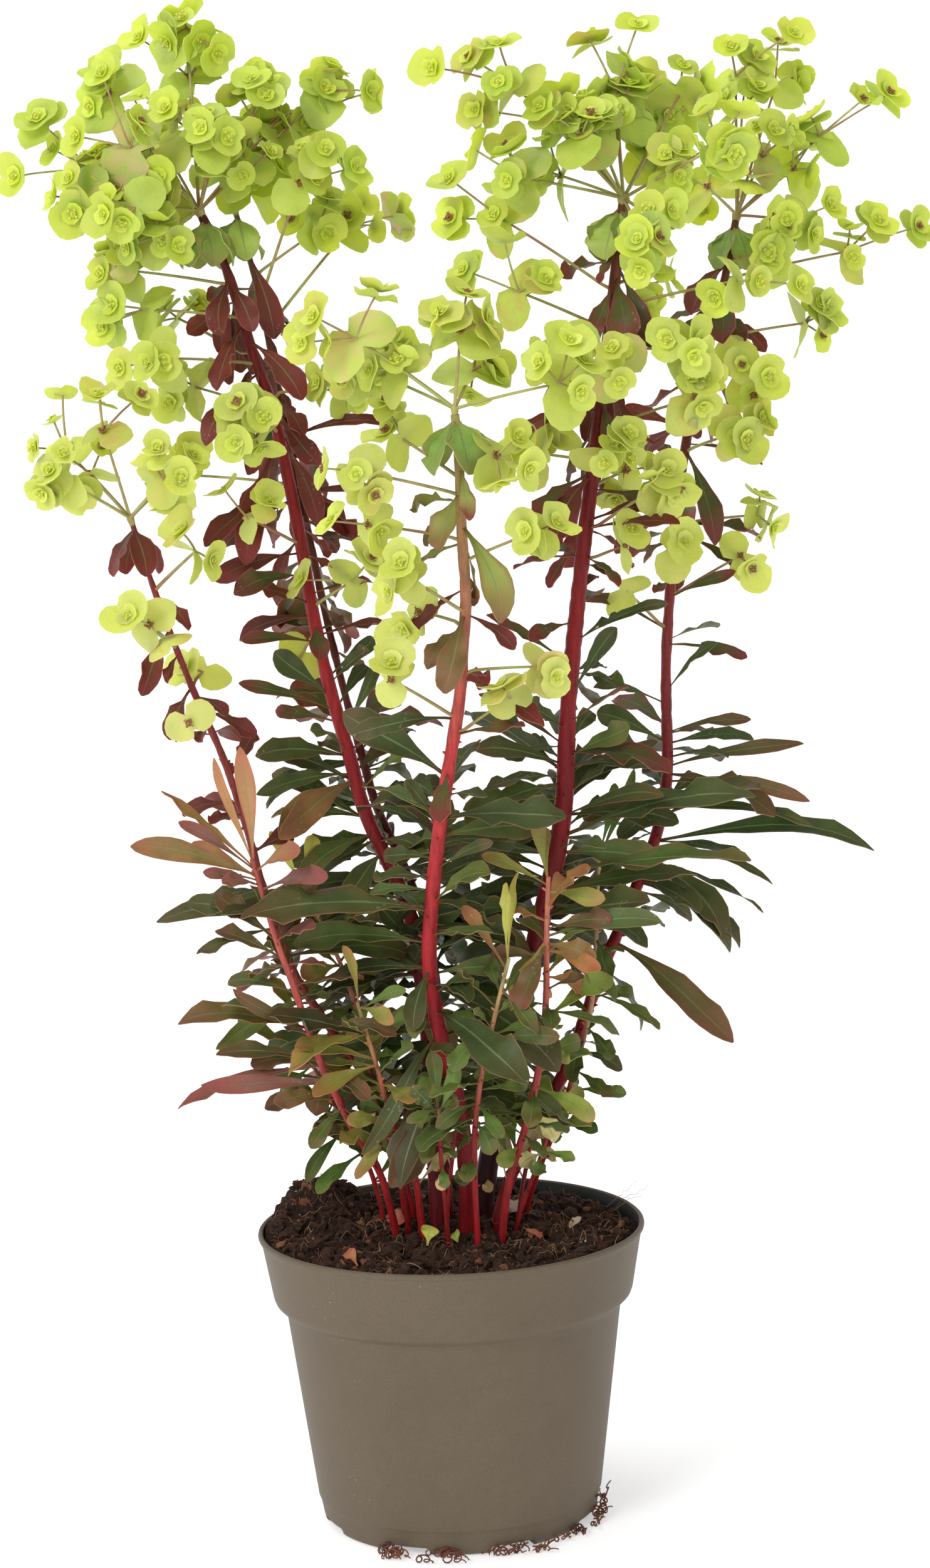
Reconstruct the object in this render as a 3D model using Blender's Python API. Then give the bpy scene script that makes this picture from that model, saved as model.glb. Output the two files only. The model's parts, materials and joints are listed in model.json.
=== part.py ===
# Potted spurge: a nursery pot filled with potting soil, from which six flowering
# stems and a thicket of young shoots grow.
#
# Lengths are millimetres in the tables and metres in the finished meshes. The pot's
# axis is Z, its foot stands on Z = 0 and the photograph looks along +Y.

import math
import random

import bpy
import bmesh
from mathutils import Vector
from mathutils.bvhtree import BVHTree

MM = 0.001
SEED = 41
FLATNESS = math.radians(6.0)

# Driving sizes
# Pot
POT_HEIGHT = 145.0
RIM_RADIUS = 95.0
LIP_THICKNESS = 2.4
COLLAR_HEIGHT = 33.0
COLLAR_FOOT_RADIUS = 88.5
SHOULDER_RADIUS = 82.5
SHOULDER_DROP = 5.0
FOOT_RADIUS = 68.0
FOOT_BAND_HEIGHT = 12.0
FOOT_BAND_RADIUS = 69.5
WALL = 1.8
FLOOR = 2.2
POT_SIDES = 24
BAY_COUNT = 8
BAY_HEIGHT = 4.0
BAY_WIDTH = 26.0
BAY_INNER_RADIUS = 56.0
DRAIN_RADIUS = 4.0
DRAIN_INSET = 4.6
DRAIN_SIDES = 6

# Soil
SOIL_TOP = 139.0
SOIL_GAP = 0.4
SOIL_RINGS = (84.0, 62.0, 34.0)
HOLE_DEPTH = 26.0
HOLE_PLAY = 0.35
HOLE_SIDES = 5

# Plant
SEAT_GAP = 0.3
LEAF_THICKNESS = 1.1
CUP_THICKNESS = 1.3
RAY_RADIUS = 0.75
TWIG_RADIUS = 0.6
CLEARANCE = 0.35
ROOT_SUNK = 1.6
BRACT_HALF_WIDTH = 14.0
CUP_HALF_WIDTH = 10.0
DEPTH_OF_SPRAYS = 1.9
DEPTH_OF_LEAVES = 1.8
STEM_TOLERANCE = 1.0
STEM_GUARD = 158.0
LEAF_RISE = 0.10
LEAF_ARCH = 0.05
LEAF_WAVE = 0.05
LONG_LEAF = 76.0
SHORT_LEAF = 42.0
HUB_HEIGHT = 5.0
HUB_CLEAR = 9.0
BRACT_ASPECT = 0.72
CUP_ASPECT = 0.94
TWIST_STEP = 0.055
TWISTS = (0, 1, -1, 2, -2, 3, -3, 4, -4, 5, -5, 6, -6, 7, -7)
SHIFTS = (0, 3, -3, 6, -6, 9, -9, 12, -12, 16, -16, 20, -20)

# Where the photograph was taken
# A point of the plant is found from its column and row in the picture and from its
# depth: how far it lies behind the pot's axis, in mm.
CAMERA_DISTANCE = 1472.5
CAMERA_HEIGHT = 529.2
CAMERA_ACROSS = 21.95
CAMERA_PITCH = 0.1130
CAMERA_ROLL = 0.0339
CAMERA_YAW = -0.0053
FOCAL_LENGTH = 4882.8
PICTURE_COLUMNS = 1484
PICTURE_ROWS = 2503

FORWARD = Vector((math.sin(CAMERA_YAW) * math.cos(CAMERA_PITCH),
                  math.cos(CAMERA_YAW) * math.cos(CAMERA_PITCH),
                  -math.sin(CAMERA_PITCH)))
RIGHTWARD = Vector((math.cos(CAMERA_YAW), -math.sin(CAMERA_YAW), 0.0))
UPWARD = RIGHTWARD.cross(FORWARD)
TO_VIEWER = Vector((0.0, -1.0, 0.12)).normalized()
UP = Vector((0.0, 0.0, 1.0))


def place(column, row, depth):
    """The real point seen at a column and row of the picture, at a given depth."""
    across = column - PICTURE_COLUMNS / 2
    down = row - PICTURE_ROWS / 2
    level_across = math.cos(CAMERA_ROLL) * across - math.sin(CAMERA_ROLL) * down
    level_down = math.sin(CAMERA_ROLL) * across + math.cos(CAMERA_ROLL) * down
    ray = (FORWARD + RIGHTWARD * (level_across / FOCAL_LENGTH)
           - UPWARD * (level_down / FOCAL_LENGTH))
    eye = Vector((CAMERA_ACROSS, -CAMERA_DISTANCE, CAMERA_HEIGHT))
    return eye + ray * ((depth + CAMERA_DISTANCE) / ray.y)


# The stems
# Each flowering stem from the soil up: (column, row, depth) of points on it, its
# radius at the foot and just under the head.
FLOWERING_STEMS = {
    "left": (3.0, 2.1, (
        (652, 1962, 8), (640, 1880, 4), (600, 1740, -4), (540, 1660, -10),
        (470, 1560, -18), (420, 1420, -26), (392, 1314, -30), (356, 1207, -34),
        (307, 1100, -38), (275, 1020, -41), (245, 940, -43), (211, 836, -45))),
    "tall_left": (4.3, 3.2, (
        (700, 1962, 2), (694, 1880, 4), (688, 1760, 6), (682, 1640, 8),
        (664, 1500, 11), (646, 1430, 13), (615, 1368, 15), (579, 1292, 17),
        (557, 1203, 19), (526, 1100, 21), (500, 985, 24), (472, 820, 27),
        (434, 645, 31), (401, 560, 33), (378, 477, 34), (352, 405, 35),
        (322, 345, 35))),
    "twin": (3.4, 2.4, (
        (718, 1958, 24), (712, 1860, 26), (706, 1740, 28), (700, 1600, 30),
        (684, 1480, 32), (640, 1370, 35), (600, 1290, 37), (576, 1200, 39),
        (548, 1100, 41), (520, 985, 43), (492, 850, 45), (464, 720, 47),
        (440, 600, 49), (414, 470, 51), (392, 390, 52), (376, 340, 52))),
    "middle": (3.3, 1.9, (
        (744, 1966, -14), (746, 1880, -18), (736, 1780, -22), (713, 1694, -26),
        (693, 1613, -30), (683, 1524, -34), (691, 1412, -39), (704, 1301, -45),
        (722, 1189, -52), (736, 1100, -58), (738, 1035, -62), (745, 960, -66),
        (737, 860, -72), (733, 740, -80), (726, 662, -84))),
    "tall_right": (6.6, 3.3, (
        (768, 1968, 14), (778, 1860, 14), (800, 1740, 13), (826, 1620, 12),
        (860, 1480, 10), (888, 1370, 8), (900, 1290, 7), (904, 1190, 6),
        (907, 1110, 5), (916, 1020, 4), (926, 920, 2), (936, 830, 1),
        (952, 700, -1), (966, 580, -3), (982, 440, -5), (994, 326, -6))),
    "right": (3.6, 2.6, (
        (792, 1974, -2), (812, 1880, 2), (868, 1780, 8), (910, 1690, 14),
        (945, 1590, 20), (985, 1490, 27), (1022, 1400, 34), (1050, 1330, 40),
        (1066, 1240, 46), (1064, 1160, 50), (1062, 1060, 54), (1068, 960, 57),
        (1074, 860, 61), (1088, 750, 66), (1104, 650, 70), (1140, 520, 75),
        (1160, 430, 79), (1174, 352, 82))),
}

# Leaves that the photograph shows on each flowering stem: row of the root, column
# and row of the tip, mm that the tip stands in front of the root, mm of width.
SEEN_LEAVES = {
    "left": (
        (952, 305, 1000, 7, 7), (1008, 232, 1110, 9, 11), (1045, 262, 1085, 8, 5),
        (1112, 360, 1142, 9, 9), (1160, 318, 1180, 10, 7), (1240, 403, 1166, -6, 9),
        (1300, 335, 1310, 10, 9), (1360, 470, 1330, -8, 10), (1420, 330, 1440, -6, 11),
        (1480, 315, 1525, 8, 7), (1540, 375, 1580, -6, 9), (1590, 345, 1675, 8, 9)),
    "tall_left": (
        (448, 345, 528, 14, 14), (456, 402, 522, 14, 11), (522, 343, 622, 12, 11),
        (548, 484, 630, 16, 14), (596, 322, 702, 15, 11), (640, 486, 690, 12, 10),
        (664, 400, 755, 10, 10), (672, 506, 738, 18, 11), (704, 614, 662, 8, 7),
        (776, 328, 874, 12, 12), (792, 606, 776, -6, 8), (882, 345, 925, 10, 11),
        (918, 380, 942, 16, 12), (948, 596, 923, 6, 6), (962, 415, 936, 10, 8),
        (1000, 510, 1052, 14, 10), (1014, 636, 998, 4, 9), (1024, 388, 1018, 8, 7),
        (1090, 586, 1036, 6, 9), (1106, 440, 1042, 8, 12), (1130, 386, 1086, 8, 7),
        (1150, 436, 1132, -4, 8), (1166, 598, 1062, -6, 6), (1196, 505, 1156, 12, 9),
        (1204, 412, 1203, 10, 13), (1234, 417, 1266, 14, 9), (1246, 450, 1330, 26, 14),
        (1262, 660, 1192, 12, 8), (1286, 692, 1330, 6, 14), (1300, 432, 1302, -10, 11),
        (1330, 480, 1402, 24, 12), (1344, 668, 1352, 22, 9), (1362, 545, 1440, 26, 12),
        (1400, 590, 1470, -12, 12), (1442, 355, 1458, 34, 19), (1462, 250, 1472, 4, 12),
        (1480, 420, 1508, 18, 13), (1512, 585, 1424, 24, 11), (1540, 484, 1470, -6, 19),
        (1552, 490, 1602, 20, 8), (1600, 560, 1560, -12, 14)),
    "twin": (
        (412, 442, 545, 4, 13), (500, 470, 560, -8, 10), (640, 520, 800, -4, 10),
        (830, 545, 880, -8, 10), (1040, 600, 1100, -10, 11), (1150, 640, 1120, -8, 9),
        (1230, 664, 1236, -14, 10), (1300, 690, 1260, -18, 12),
        (1370, 760, 1330, -22, 14), (1440, 560, 1400, -26, 13)),
    "middle": (
        (787, 694, 872, 12, 15), (744, 752, 830, 4, 8), (838, 808, 984, 16, 15),
        (868, 656, 906, -6, 9), (978, 706, 1102, 14, 14), (1000, 680, 1068, -4, 10),
        (1080, 870, 1156, 8, 11), (1147, 564, 1166, 8, 10), (1172, 838, 1160, 14, 8),
        (1232, 700, 1310, 16, 11), (1268, 774, 1272, 16, 8), (1316, 648, 1246, 10, 7),
        (1344, 830, 1340, -8, 12), (1386, 782, 1345, 12, 6), (1404, 600, 1392, 14, 11),
        (1440, 768, 1380, 16, 14), (1492, 786, 1488, 22, 8), (1546, 500, 1560, -8, 12),
        (1560, 660, 1652, 18, 10), (1572, 750, 1588, 20, 11), (1556, 812, 1540, -6, 11),
        (1612, 840, 1722, 26, 20), (1648, 584, 1846, 12, 9), (1742, 630, 1896, 16, 18)),
    "tall_right": (
        (402, 955, 452, 6, 6), (444, 995, 556, 14, 16), (462, 944, 532, 10, 9),
        (596, 904, 664, 10, 12), (640, 973, 716, 12, 8), (655, 820, 702, 6, 8),
        (690, 1044, 702, 6, 6), (760, 884, 852, 14, 17), (782, 862, 806, -4, 7),
        (828, 1050, 802, 2, 9), (842, 1104, 856, 12, 9), (888, 820, 910, 8, 6),
        (900, 975, 912, 8, 5), (1018, 1060, 962, 14, 6), (1056, 776, 982, 4, 7),
        (1100, 984, 1002, 10, 9), (1086, 872, 1092, 14, 7), (1150, 1002, 1094, 16, 6),
        (1160, 840, 1128, 10, 12), (1186, 764, 1108, -8, 7), (1218, 760, 1192, 10, 12),
        (1206, 1000, 1160, 12, 12), (1240, 776, 1250, 16, 9), (1262, 1050, 1186, -10, 10),
        (1276, 740, 1290, 14, 11), (1296, 1060, 1270, 22, 9), (1312, 820, 1306, 22, 8),
        (1330, 1196, 1250, 26, 17), (1352, 960, 1340, 24, 10), (1366, 720, 1350, 6, 12),
        (1392, 1198, 1372, 30, 15), (1420, 760, 1470, -8, 14), (1440, 1040, 1500, 6, 16),
        (1470, 940, 1520, -8, 12), (1510, 760, 1560, -14, 13)),
    "right": (
        (424, 1096, 492, 12, 13), (468, 1152, 545, 14, 13), (500, 1186, 540, 10, 9),
        (492, 1054, 516, -6, 8), (556, 1166, 578, 6, 5), (690, 1002, 650, 6, 7),
        (722, 1150, 862, 16, 12), (736, 1052, 706, 12, 7), (848, 1222, 926, 10, 8),
        (930, 1044, 946, 10, 6), (952, 1170, 915, 8, 6), (1004, 936, 950, 10, 7),
        (1028, 1192, 1050, 12, 8), (1100, 1136, 1022, 10, 6), (1122, 952, 1090, 12, 5),
        (1168, 1192, 1146, 10, 6), (1186, 1206, 1172, -4, 8), (1208, 1162, 1206, 14, 9),
        (1222, 1282, 1184, 6, 8), (1238, 990, 1200, 16, 11), (1246, 1290, 1278, 12, 8),
        (1290, 1302, 1307, 8, 7), (1300, 990, 1330, 18, 11), (1340, 1400, 1328, 6, 12),
        (1352, 1236, 1398, 16, 5), (1378, 1226, 1442, 10, 6), (1392, 1178, 1505, 18, 15),
        (1420, 1112, 1466, -6, 8), (1504, 1176, 1655, 16, 16)),
}

# Whorl of leaves under each head: how many, their length and width in mm.
WHORLS = {
    "left": (4, 25, 11), "tall_left": (6, 26, 15), "twin": (5, 24, 13),
    "middle": (4, 28, 18), "tall_right": (5, 27, 19), "right": (5, 25, 14),
}

# Leaves on the far side, which the photograph hides, follow the stem's own spiral:
# rows of the first and last, and how many.
HIDDEN_LEAVES = {
    "left": (980, 1560, 5), "tall_left": (480, 1560, 6), "twin": (460, 1540, 7),
    "middle": (800, 1640, 5), "tall_right": (420, 1560, 7), "right": (400, 1480, 7),
}

# Heads at the stem tops. Each ray: column and row of its pair of bracts, mm in front
# of the stem's tip, and column and row of each cup above that pair.
HEADS = {
    "left": (
        (165, 690, 10, ((158, 632), (224, 632))),
        (108, 722, -6, ((100, 630),)),
        (98, 766, 16, ((80, 752),)),
        (146, 758, 2, ((126, 796),)),
        (262, 766, 18, ((287, 764), (240, 738))),
        (262, 775, -14, ((306, 728), (262, 810)))),
    "tall_left": (
        (208, 236, 16, ((163, 118), (124, 218))),
        (150, 272, -2, ((60, 190), (87, 240), (25, 282))),
        (132, 318, 12, ((118, 340),)),
        (215, 332, 22, ((168, 340),)),
        (252, 376, 16, ((282, 392),)),
        (340, 228, 14, ((265, 174), (330, 183))),
        (302, 124, -10, ((224, 62), (290, 30), (333, 84))),
        (250, 218, -22, ((215, 160),))),
    "twin": (
        (392, 278, 10, ((386, 214),)),
        (455, 205, -4, ((521, 142), (586, 148))),
        (424, 258, -16, ((417, 193),)),
        (402, 190, 4, ((402, 128), (430, 130)))),
    "middle": (
        (568, 541, 8, ((502, 506), (482, 548), (604, 464))),
        (590, 592, -6, ((641, 556), (548, 606))),
        (735, 530, 6, ((704, 500), (776, 512))),
        (756, 590, -8, ((750, 628), (786, 576))),
        (892, 612, 10, ((862, 580), (908, 545)))),
    "tall_right": (
        (982, 148, -4, ((940, 62), (1017, 42))),
        (928, 216, 12, ((862, 172), (945, 174))),
        (832, 284, 8, ((760, 240), (808, 234))),
        (1084, 152, -12, ((1035, 130), (1122, 135))),
        (1040, 246, -20, ((1024, 182),)),
        (1142, 236, 14, ((1128, 178), (1180, 178), (1172, 248))),
        (1030, 392, 24, ((1014, 384), (1048, 380)))),
    "right": (
        (1174, 122, -6, ((1166, 76), (1208, 92), (1264, 54))),
        (1308, 218, 2, ((1376, 160), (1418, 150))),
        (1216, 250, 10, ((1236, 210), (1190, 288))),
        (1262, 352, 14, ((1240, 350), (1324, 328))),
        (1236, 142, -18, ((1268, 138),)),
        (1130, 300, -12, ((1122, 335),))),
}

# Side sprays in the leaf axils: row where the spray leaves its stem, column and row
# of its pair of bracts, mm in front of the stem, and each cup above that pair.
SIDE_SPRAYS = {
    "left": (
        (942, 312, 880, 6, ((290, 850), (336, 895))),
        (1032, 240, 998, 18, ((206, 984), (262, 1022))),
        (1098, 322, 1072, -6, ((296, 1066),)),
        (1128, 303, 1152, 10, ())),
    "tall_left": (
        (452, 206, 432, 8, ((196, 404),)),
        (506, 236, 494, 6, ((182, 488), (164, 522))),
        (562, 284, 508, -12, ((320, 484),)),
        (580, 258, 572, 16, ((236, 578), (192, 588))),
        (652, 312, 618, -2, ((272, 642),)),
        (690, 395, 668, 26, ((376, 706), (414, 714))),
        (640, 548, 622, 8, ((598, 604), (508, 612))),
        (772, 286, 758, -6, ((304, 726),)),
        (866, 396, 828, 12, ((428, 800), (360, 784))),
        (968, 562, 928, 6, ((590, 892), (482, 926))),
        (1022, 478, 1050, -10, ())),
    "twin": (
        (466, 478, 294, 12, ((518, 240), (565, 268))),
        (440, 502, 372, -2, ((468, 350),)),
        (520, 560, 362, -14, ((637, 344),))),
    "middle": (
        (762, 644, 702, -8, ((618, 690),)),
        (736, 790, 728, 6, ((798, 768),)),
        (790, 566, 752, 12, ((522, 748), (596, 788))),
        (862, 590, 838, 8, ((532, 832), (604, 848))),
        (896, 862, 846, 4, ((840, 848), (887, 836))),
        (976, 656, 926, 12, ((640, 900), (622, 944))),
        (1002, 670, 976, -6, ((644, 1004),)),
        (1144, 626, 1086, 12, ((624, 1060),)),
        (1076, 860, 1064, 0, ((886, 1080),)),
        (1166, 815, 1114, 12, ((800, 1096),))),
    "tall_right": (
        (462, 805, 352, -6, ((718, 286), (720, 350))),
        (528, 828, 466, 8, ((806, 388), (740, 432), (868, 446))),
        (452, 1030, 456, -4, ((1026, 490),)),
        (492, 1176, 448, 12, ((1274, 456), (1142, 476))),
        (562, 1086, 558, 14, ((1064, 543), (1114, 546))),
        (604, 916, 568, 16, ((928, 550), (868, 580))),
        (592, 986, 586, 18, ((980, 562),)),
        (682, 1104, 638, 12, ((1122, 608), (1120, 652))),
        (742, 858, 724, 4, ((830, 712), (884, 700))),
        (730, 976, 726, 16, ((986, 710),)),
        (776, 996, 752, -8, ((1014, 736), (984, 796))),
        (842, 1056, 774, 12, ((1064, 752), (1076, 792))),
        (892, 995, 872, 4, ())),
    "right": (
        (444, 1350, 402, 2, ((1400, 352), (1464, 362))),
        (420, 1236, 404, 16, ((1236, 408),)),
        (540, 1282, 516, 4, ((1326, 494),)),
        (584, 1186, 596, 8, ((1226, 602),)),
        (720, 1164, 694, 10, ((1190, 702), (1222, 668))),
        (838, 1208, 822, 2, ((1212, 792), (1232, 842))),
        (884, 1078, 880, 18, ((1092, 866),)),
        (948, 1180, 888, 4, ((1198, 906),)),
        (1002, 1000, 944, 8, ())),
}

# Young shoots without flowers: radius at foot and tip, points from the soil up, and
# leaves as (row of the root, column and row of the tip, mm in front, mm wide).
YOUNG_SHOOTS = {
    "1": (2.7, 1.7, (
        (800, 1968, -24), (812, 1880, -26), (836, 1812, -28), (862, 1700, -32),
        (872, 1600, -36), (872, 1500, -40), (875, 1400, -43)),
        ((1402, 856, 1300, 2, 7), (1408, 868, 1318, -8, 7), (1412, 770, 1364, 4, 7),
         (1424, 960, 1436, 10, 9), (1494, 1050, 1466, 14, 11), (1508, 826, 1614, 12, 13),
         (1516, 958, 1548, 14, 8), (1560, 934, 1580, -8, 12), (1602, 880, 1640, 12, 9),
         (1626, 978, 1560, -10, 12), (1690, 930, 1660, -8, 9), (1740, 848, 1796, 12, 10),
         (1812, 868, 1846, 12, 8))),
    "2": (2.1, 1.4, (
        (762, 1966, -34), (757, 1880, -38), (757, 1800, -42), (768, 1710, -47),
        (790, 1620, -52), (812, 1530, -56)),
        ((1532, 806, 1410, 4, 5), (1536, 822, 1390, -4, 6), (1545, 728, 1420, 6, 7),
         (1580, 858, 1650, 8, 9), (1640, 720, 1710, 10, 10), (1660, 890, 1656, 10, 9),
         (1760, 700, 1800, 10, 8), (1800, 800, 1806, 8, 7), (1850, 742, 1884, 10, 9))),
    "3": (2.1, 1.3, (
        (676, 1964, -20), (664, 1870, -26), (625, 1790, -34), (602, 1703, -40),
        (588, 1658, -43), (570, 1600, -46)),
        ((1604, 552, 1512, 3, 5), (1608, 626, 1632, 10, 8), (1612, 648, 1580, 4, 6),
         (1650, 452, 1704, 12, 13), (1700, 500, 1750, 8, 10), (1730, 660, 1760, 12, 10),
         (1790, 556, 1790, 8, 8), (1800, 566, 1880, 8, 7))),
    "4": (2.6, 1.8, (
        (634, 1962, -12), (608, 1870, -22), (556, 1790, -32), (504, 1680, -42),
        (468, 1573, -48), (441, 1502, -52), (414, 1412, -56), (402, 1372, -58)),
        ((1374, 377, 1198, 2, 9), (1378, 335, 1212, -6, 5), (1382, 262, 1258, 4, 6),
         (1386, 285, 1312, 8, 6), (1390, 470, 1356, 12, 10), (1396, 208, 1350, 6, 11),
         (1400, 296, 1342, -10, 9), (1404, 328, 1392, 10, 6), (1412, 360, 1406, 12, 7),
         (1420, 520, 1400, 10, 9), (1500, 500, 1480, 10, 10), (1540, 400, 1560, -6, 9),
         (1640, 286, 1615, 8, 13), (1650, 380, 1590, 10, 7), (1690, 345, 1676, 4, 9),
         (1740, 440, 1760, 10, 9), (1770, 496, 1832, 10, 8))),
    "5": (1.8, 1.3, (
        (664, 1958, 20), (640, 1850, 15), (596, 1730, 9), (570, 1610, 1),
        (540, 1528, -7), (484, 1414, -16)),
        ((1416, 430, 1326, 4, 6), (1420, 500, 1330, -4, 8), (1424, 520, 1350, 6, 7),
         (1470, 600, 1470, 10, 9), (1540, 470, 1556, 12, 12), (1600, 520, 1640, 12, 9),
         (1690, 520, 1710, 12, 11), (1790, 500, 1790, 12, 8))),
    "6": (1.9, 1.3, (
        (838, 1962, 20), (862, 1860, 12), (896, 1780, 4), (934, 1650, 5),
        (949, 1580, 7), (952, 1480, 9), (956, 1360, 11)),
        ((1364, 980, 1250, -4, 6), (1370, 1012, 1228, -8, 5), (1380, 1030, 1370, 6, 8),
         (1460, 1000, 1440, -8, 9), (1586, 1056, 1638, 6, 7), (1500, 974, 1562, 12, 10),
         (1640, 976, 1690, 8, 9), (1660, 912, 1726, 10, 10), (1790, 954, 1806, 6, 7),
         (1740, 1000, 1742, 2, 7))),
    "7": (1.7, 1.2, (
        (614, 1946, 14), (590, 1860, 12), (548, 1790, 8), (505, 1712, 4),
        (478, 1660, 2)),
        ((1664, 432, 1560, 2, 7), (1668, 380, 1640, 4, 9), (1672, 500, 1600, 6, 9),
         (1700, 444, 1762, 8, 8), (1720, 410, 1712, 2, 9), (1760, 508, 1832, 12, 8),
         (1800, 490, 1886, 12, 7), (1840, 506, 1904, 14, 9))),
    "8": (1.7, 1.2, (
        (820, 1968, -6), (842, 1900, -6), (866, 1840, -6), (880, 1790, -7)),
        ((1794, 872, 1716, 2, 8), (1798, 930, 1736, -4, 8), (1804, 888, 1818, 8, 8),
         (1838, 918, 1850, 2, 6), (1850, 856, 1872, 8, 9), (1870, 800, 1842, 10, 8))),
    "9": (1.6, 1.1, (
        (716, 1968, -32), (708, 1900, -40), (702, 1830, -46), (700, 1770, -50)),
        ((1774, 690, 1680, 2, 8), (1778, 728, 1700, 4, 8), (1782, 660, 1740, 6, 9),
         (1812, 676, 1856, 8, 7), (1830, 726, 1846, 8, 6), (1860, 712, 1896, 6, 6))),
}


# Small geometry
def square_to(direction, hint):
    """A unit vector square to direction, as near to hint as it can be."""
    side = hint - direction * hint.dot(direction)
    if side.length < 1e-4:
        side = direction.orthogonal()
    return side.normalized()


def tube(points, radii, sides):
    """A closed tube of flat sides along a run of points."""
    verts = []
    faces = []
    side = square_to((points[1] - points[0]).normalized(), Vector((1.0, 0.0, 0.0)))
    last = len(points) - 1
    for index, point in enumerate(points):
        ahead = (points[min(index + 1, last)] - points[max(index - 1, 0)]).normalized()
        side = square_to(ahead, side)
        up = ahead.cross(side)
        for step in range(sides):
            turn = math.tau * step / sides
            spoke = side * math.cos(turn) + up * math.sin(turn)
            verts.append(point + spoke * radii[index])
    for ring in range(last):
        for step in range(sides):
            a = ring * sides + step
            b = ring * sides + (step + 1) % sides
            faces.append((a, b, b + sides))
            faces.append((a, b + sides, a + sides))
    faces.append(tuple(reversed(range(sides))))
    faces.append(tuple(range(last * sides, (last + 1) * sides)))
    return verts, faces


def blade(root, tip, sag, wide, face, swell=0.0):
    """A leaf from root to tip: three-cornered sections with a keel, then a point."""
    bend = (root + tip) / 2 + sag
    half = wide / 2 + swell
    thick = LEAF_THICKNESS + swell
    long = (tip - root).length
    if long > LONG_LEAF:
        stations = ((0.0, 0.13), (0.34, 0.62), (0.66, 1.0), (0.9, 0.66))
    elif long > SHORT_LEAF:
        stations = ((0.0, 0.16), (0.44, 0.84), (0.82, 0.86))
    else:
        stations = ((0.0, 0.2), (0.64, 1.0))
    verts = []
    faces = []
    for number, (part, width) in enumerate(stations):
        point = root * (1 - part) ** 2 + bend * (2 * part * (1 - part)) + tip * part ** 2
        ahead = ((bend - root) * (1 - part) + (tip - bend) * part).normalized()
        normal = square_to(ahead, face)
        across = ahead.cross(normal)
        ripple = LEAF_WAVE * wide * (1 if number % 2 else -1) if number else 0.0
        verts.append(point - across * (half * width) + normal * (swell + ripple))
        verts.append(point + across * (half * width) + normal * (swell - ripple))
        verts.append(point - normal * thick)
    verts.append(tip + (tip - bend).normalized() * swell)
    for ring in range(len(stations) - 1):
        near = ring * 3
        for step in range(3):
            a = near + step
            b = near + (step + 1) % 3
            faces.append((a, b, b + 3))
            faces.append((a, b + 3, a + 3))
    near = (len(stations) - 1) * 3
    for step in range(3):
        faces.append((near + step, near + (step + 1) % 3, near + 3))
    faces.append((2, 1, 0))
    return verts, faces


# Rim of a pair of bracts and of a cup: (turn in degrees, part of the radius, lift).
BRACT_RIM = ((24, 1.0, 0.06), (90, 0.62, 0.0), (156, 1.0, 0.02), (204, 0.96, 0.05),
             (246, 0.74, 0.02), (294, 0.74, 0.05), (336, 0.96, 0.02))
CUP_RIM = ((0, 0.94, 0.18), (62, 1.0, 0.26), (122, 0.96, 0.2), (180, 1.0, 0.28),
           (242, 0.94, 0.2), (302, 1.0, 0.24))


class Chain:
    """One solid grown from a stalk: three-cornered stalks and the discs along them."""

    def __init__(self, start, ahead, hint, radius):
        self.verts = []
        self.faces = []
        self.spoke = square_to(ahead, hint)
        self.ring = self.corners(start, ahead, radius)
        self.faces.append((2, 1, 0))

    def corners(self, point, ahead, radius):
        self.spoke = square_to(ahead, self.spoke)
        up = ahead.cross(self.spoke)
        first = len(self.verts)
        for k in range(3):
            turn = math.tau * k / 3
            self.verts.append(point + (self.spoke * math.cos(turn)
                                       + up * math.sin(turn)) * radius)
        return [first, first + 1, first + 2]

    def stalk(self, point, ahead, radius):
        """Carry the stalk on to a point."""
        ring = self.corners(point, ahead, radius)
        for k in range(3):
            later = (k + 1) % 3
            self.faces.append((self.ring[k], self.ring[later], ring[later]))
            self.faces.append((self.ring[k], ring[later], ring[k]))
        self.ring = ring

    def disc(self, centre, face, rim, size, flat, rough, radius, swell, goes_on):
        """Open the stalk into a thin dished disc; close it, or leave a stalk on top."""
        self.stalk(centre - face * (CUP_THICKNESS / 2 + swell), face, radius)
        across = self.spoke.copy()
        lengthwise = face.cross(across)
        edge = len(self.verts)
        total = len(rim)
        for number, (turn, part, lift) in enumerate(rim):
            angle = math.radians(turn)
            reach = size * part * (1 + rough[number % len(rough)] * 0.09) + swell
            rise = lift * size * (1 + rough[(number + 3) % len(rough)] * 0.5)
            self.verts.append(centre + across * (math.cos(angle) * reach)
                              + lengthwise * (math.sin(angle) * reach * flat) + face * rise)
        owners = [int(round((rim[k][0] + rim[k + 1][0]) / 240.0)) % 3
                  for k in range(total - 1)]
        owners.append(int(round((rim[-1][0] + rim[0][0] + 360) / 240.0)) % 3)
        under = self.ring
        if goes_on:
            over = self.corners(centre + face * (CUP_THICKNESS / 2 + swell), face, radius)
        else:
            over = [len(self.verts)] * 3
            self.verts.append(centre + face * (CUP_THICKNESS / 2 + swell))
        for number in range(total):
            a = edge + number
            b = edge + (number + 1) % total
            owner = owners[number]
            later = owners[(number + 1) % total]
            self.faces.append((b, a, under[owner]))
            self.faces.append((a, b, over[owner]))
            if owner != later:
                self.faces.append((b, under[owner], under[later]))
                if goes_on:
                    self.faces.append((b, over[later], over[owner]))
        self.ring = over

    def shape(self):
        return self.verts, self.faces


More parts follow.
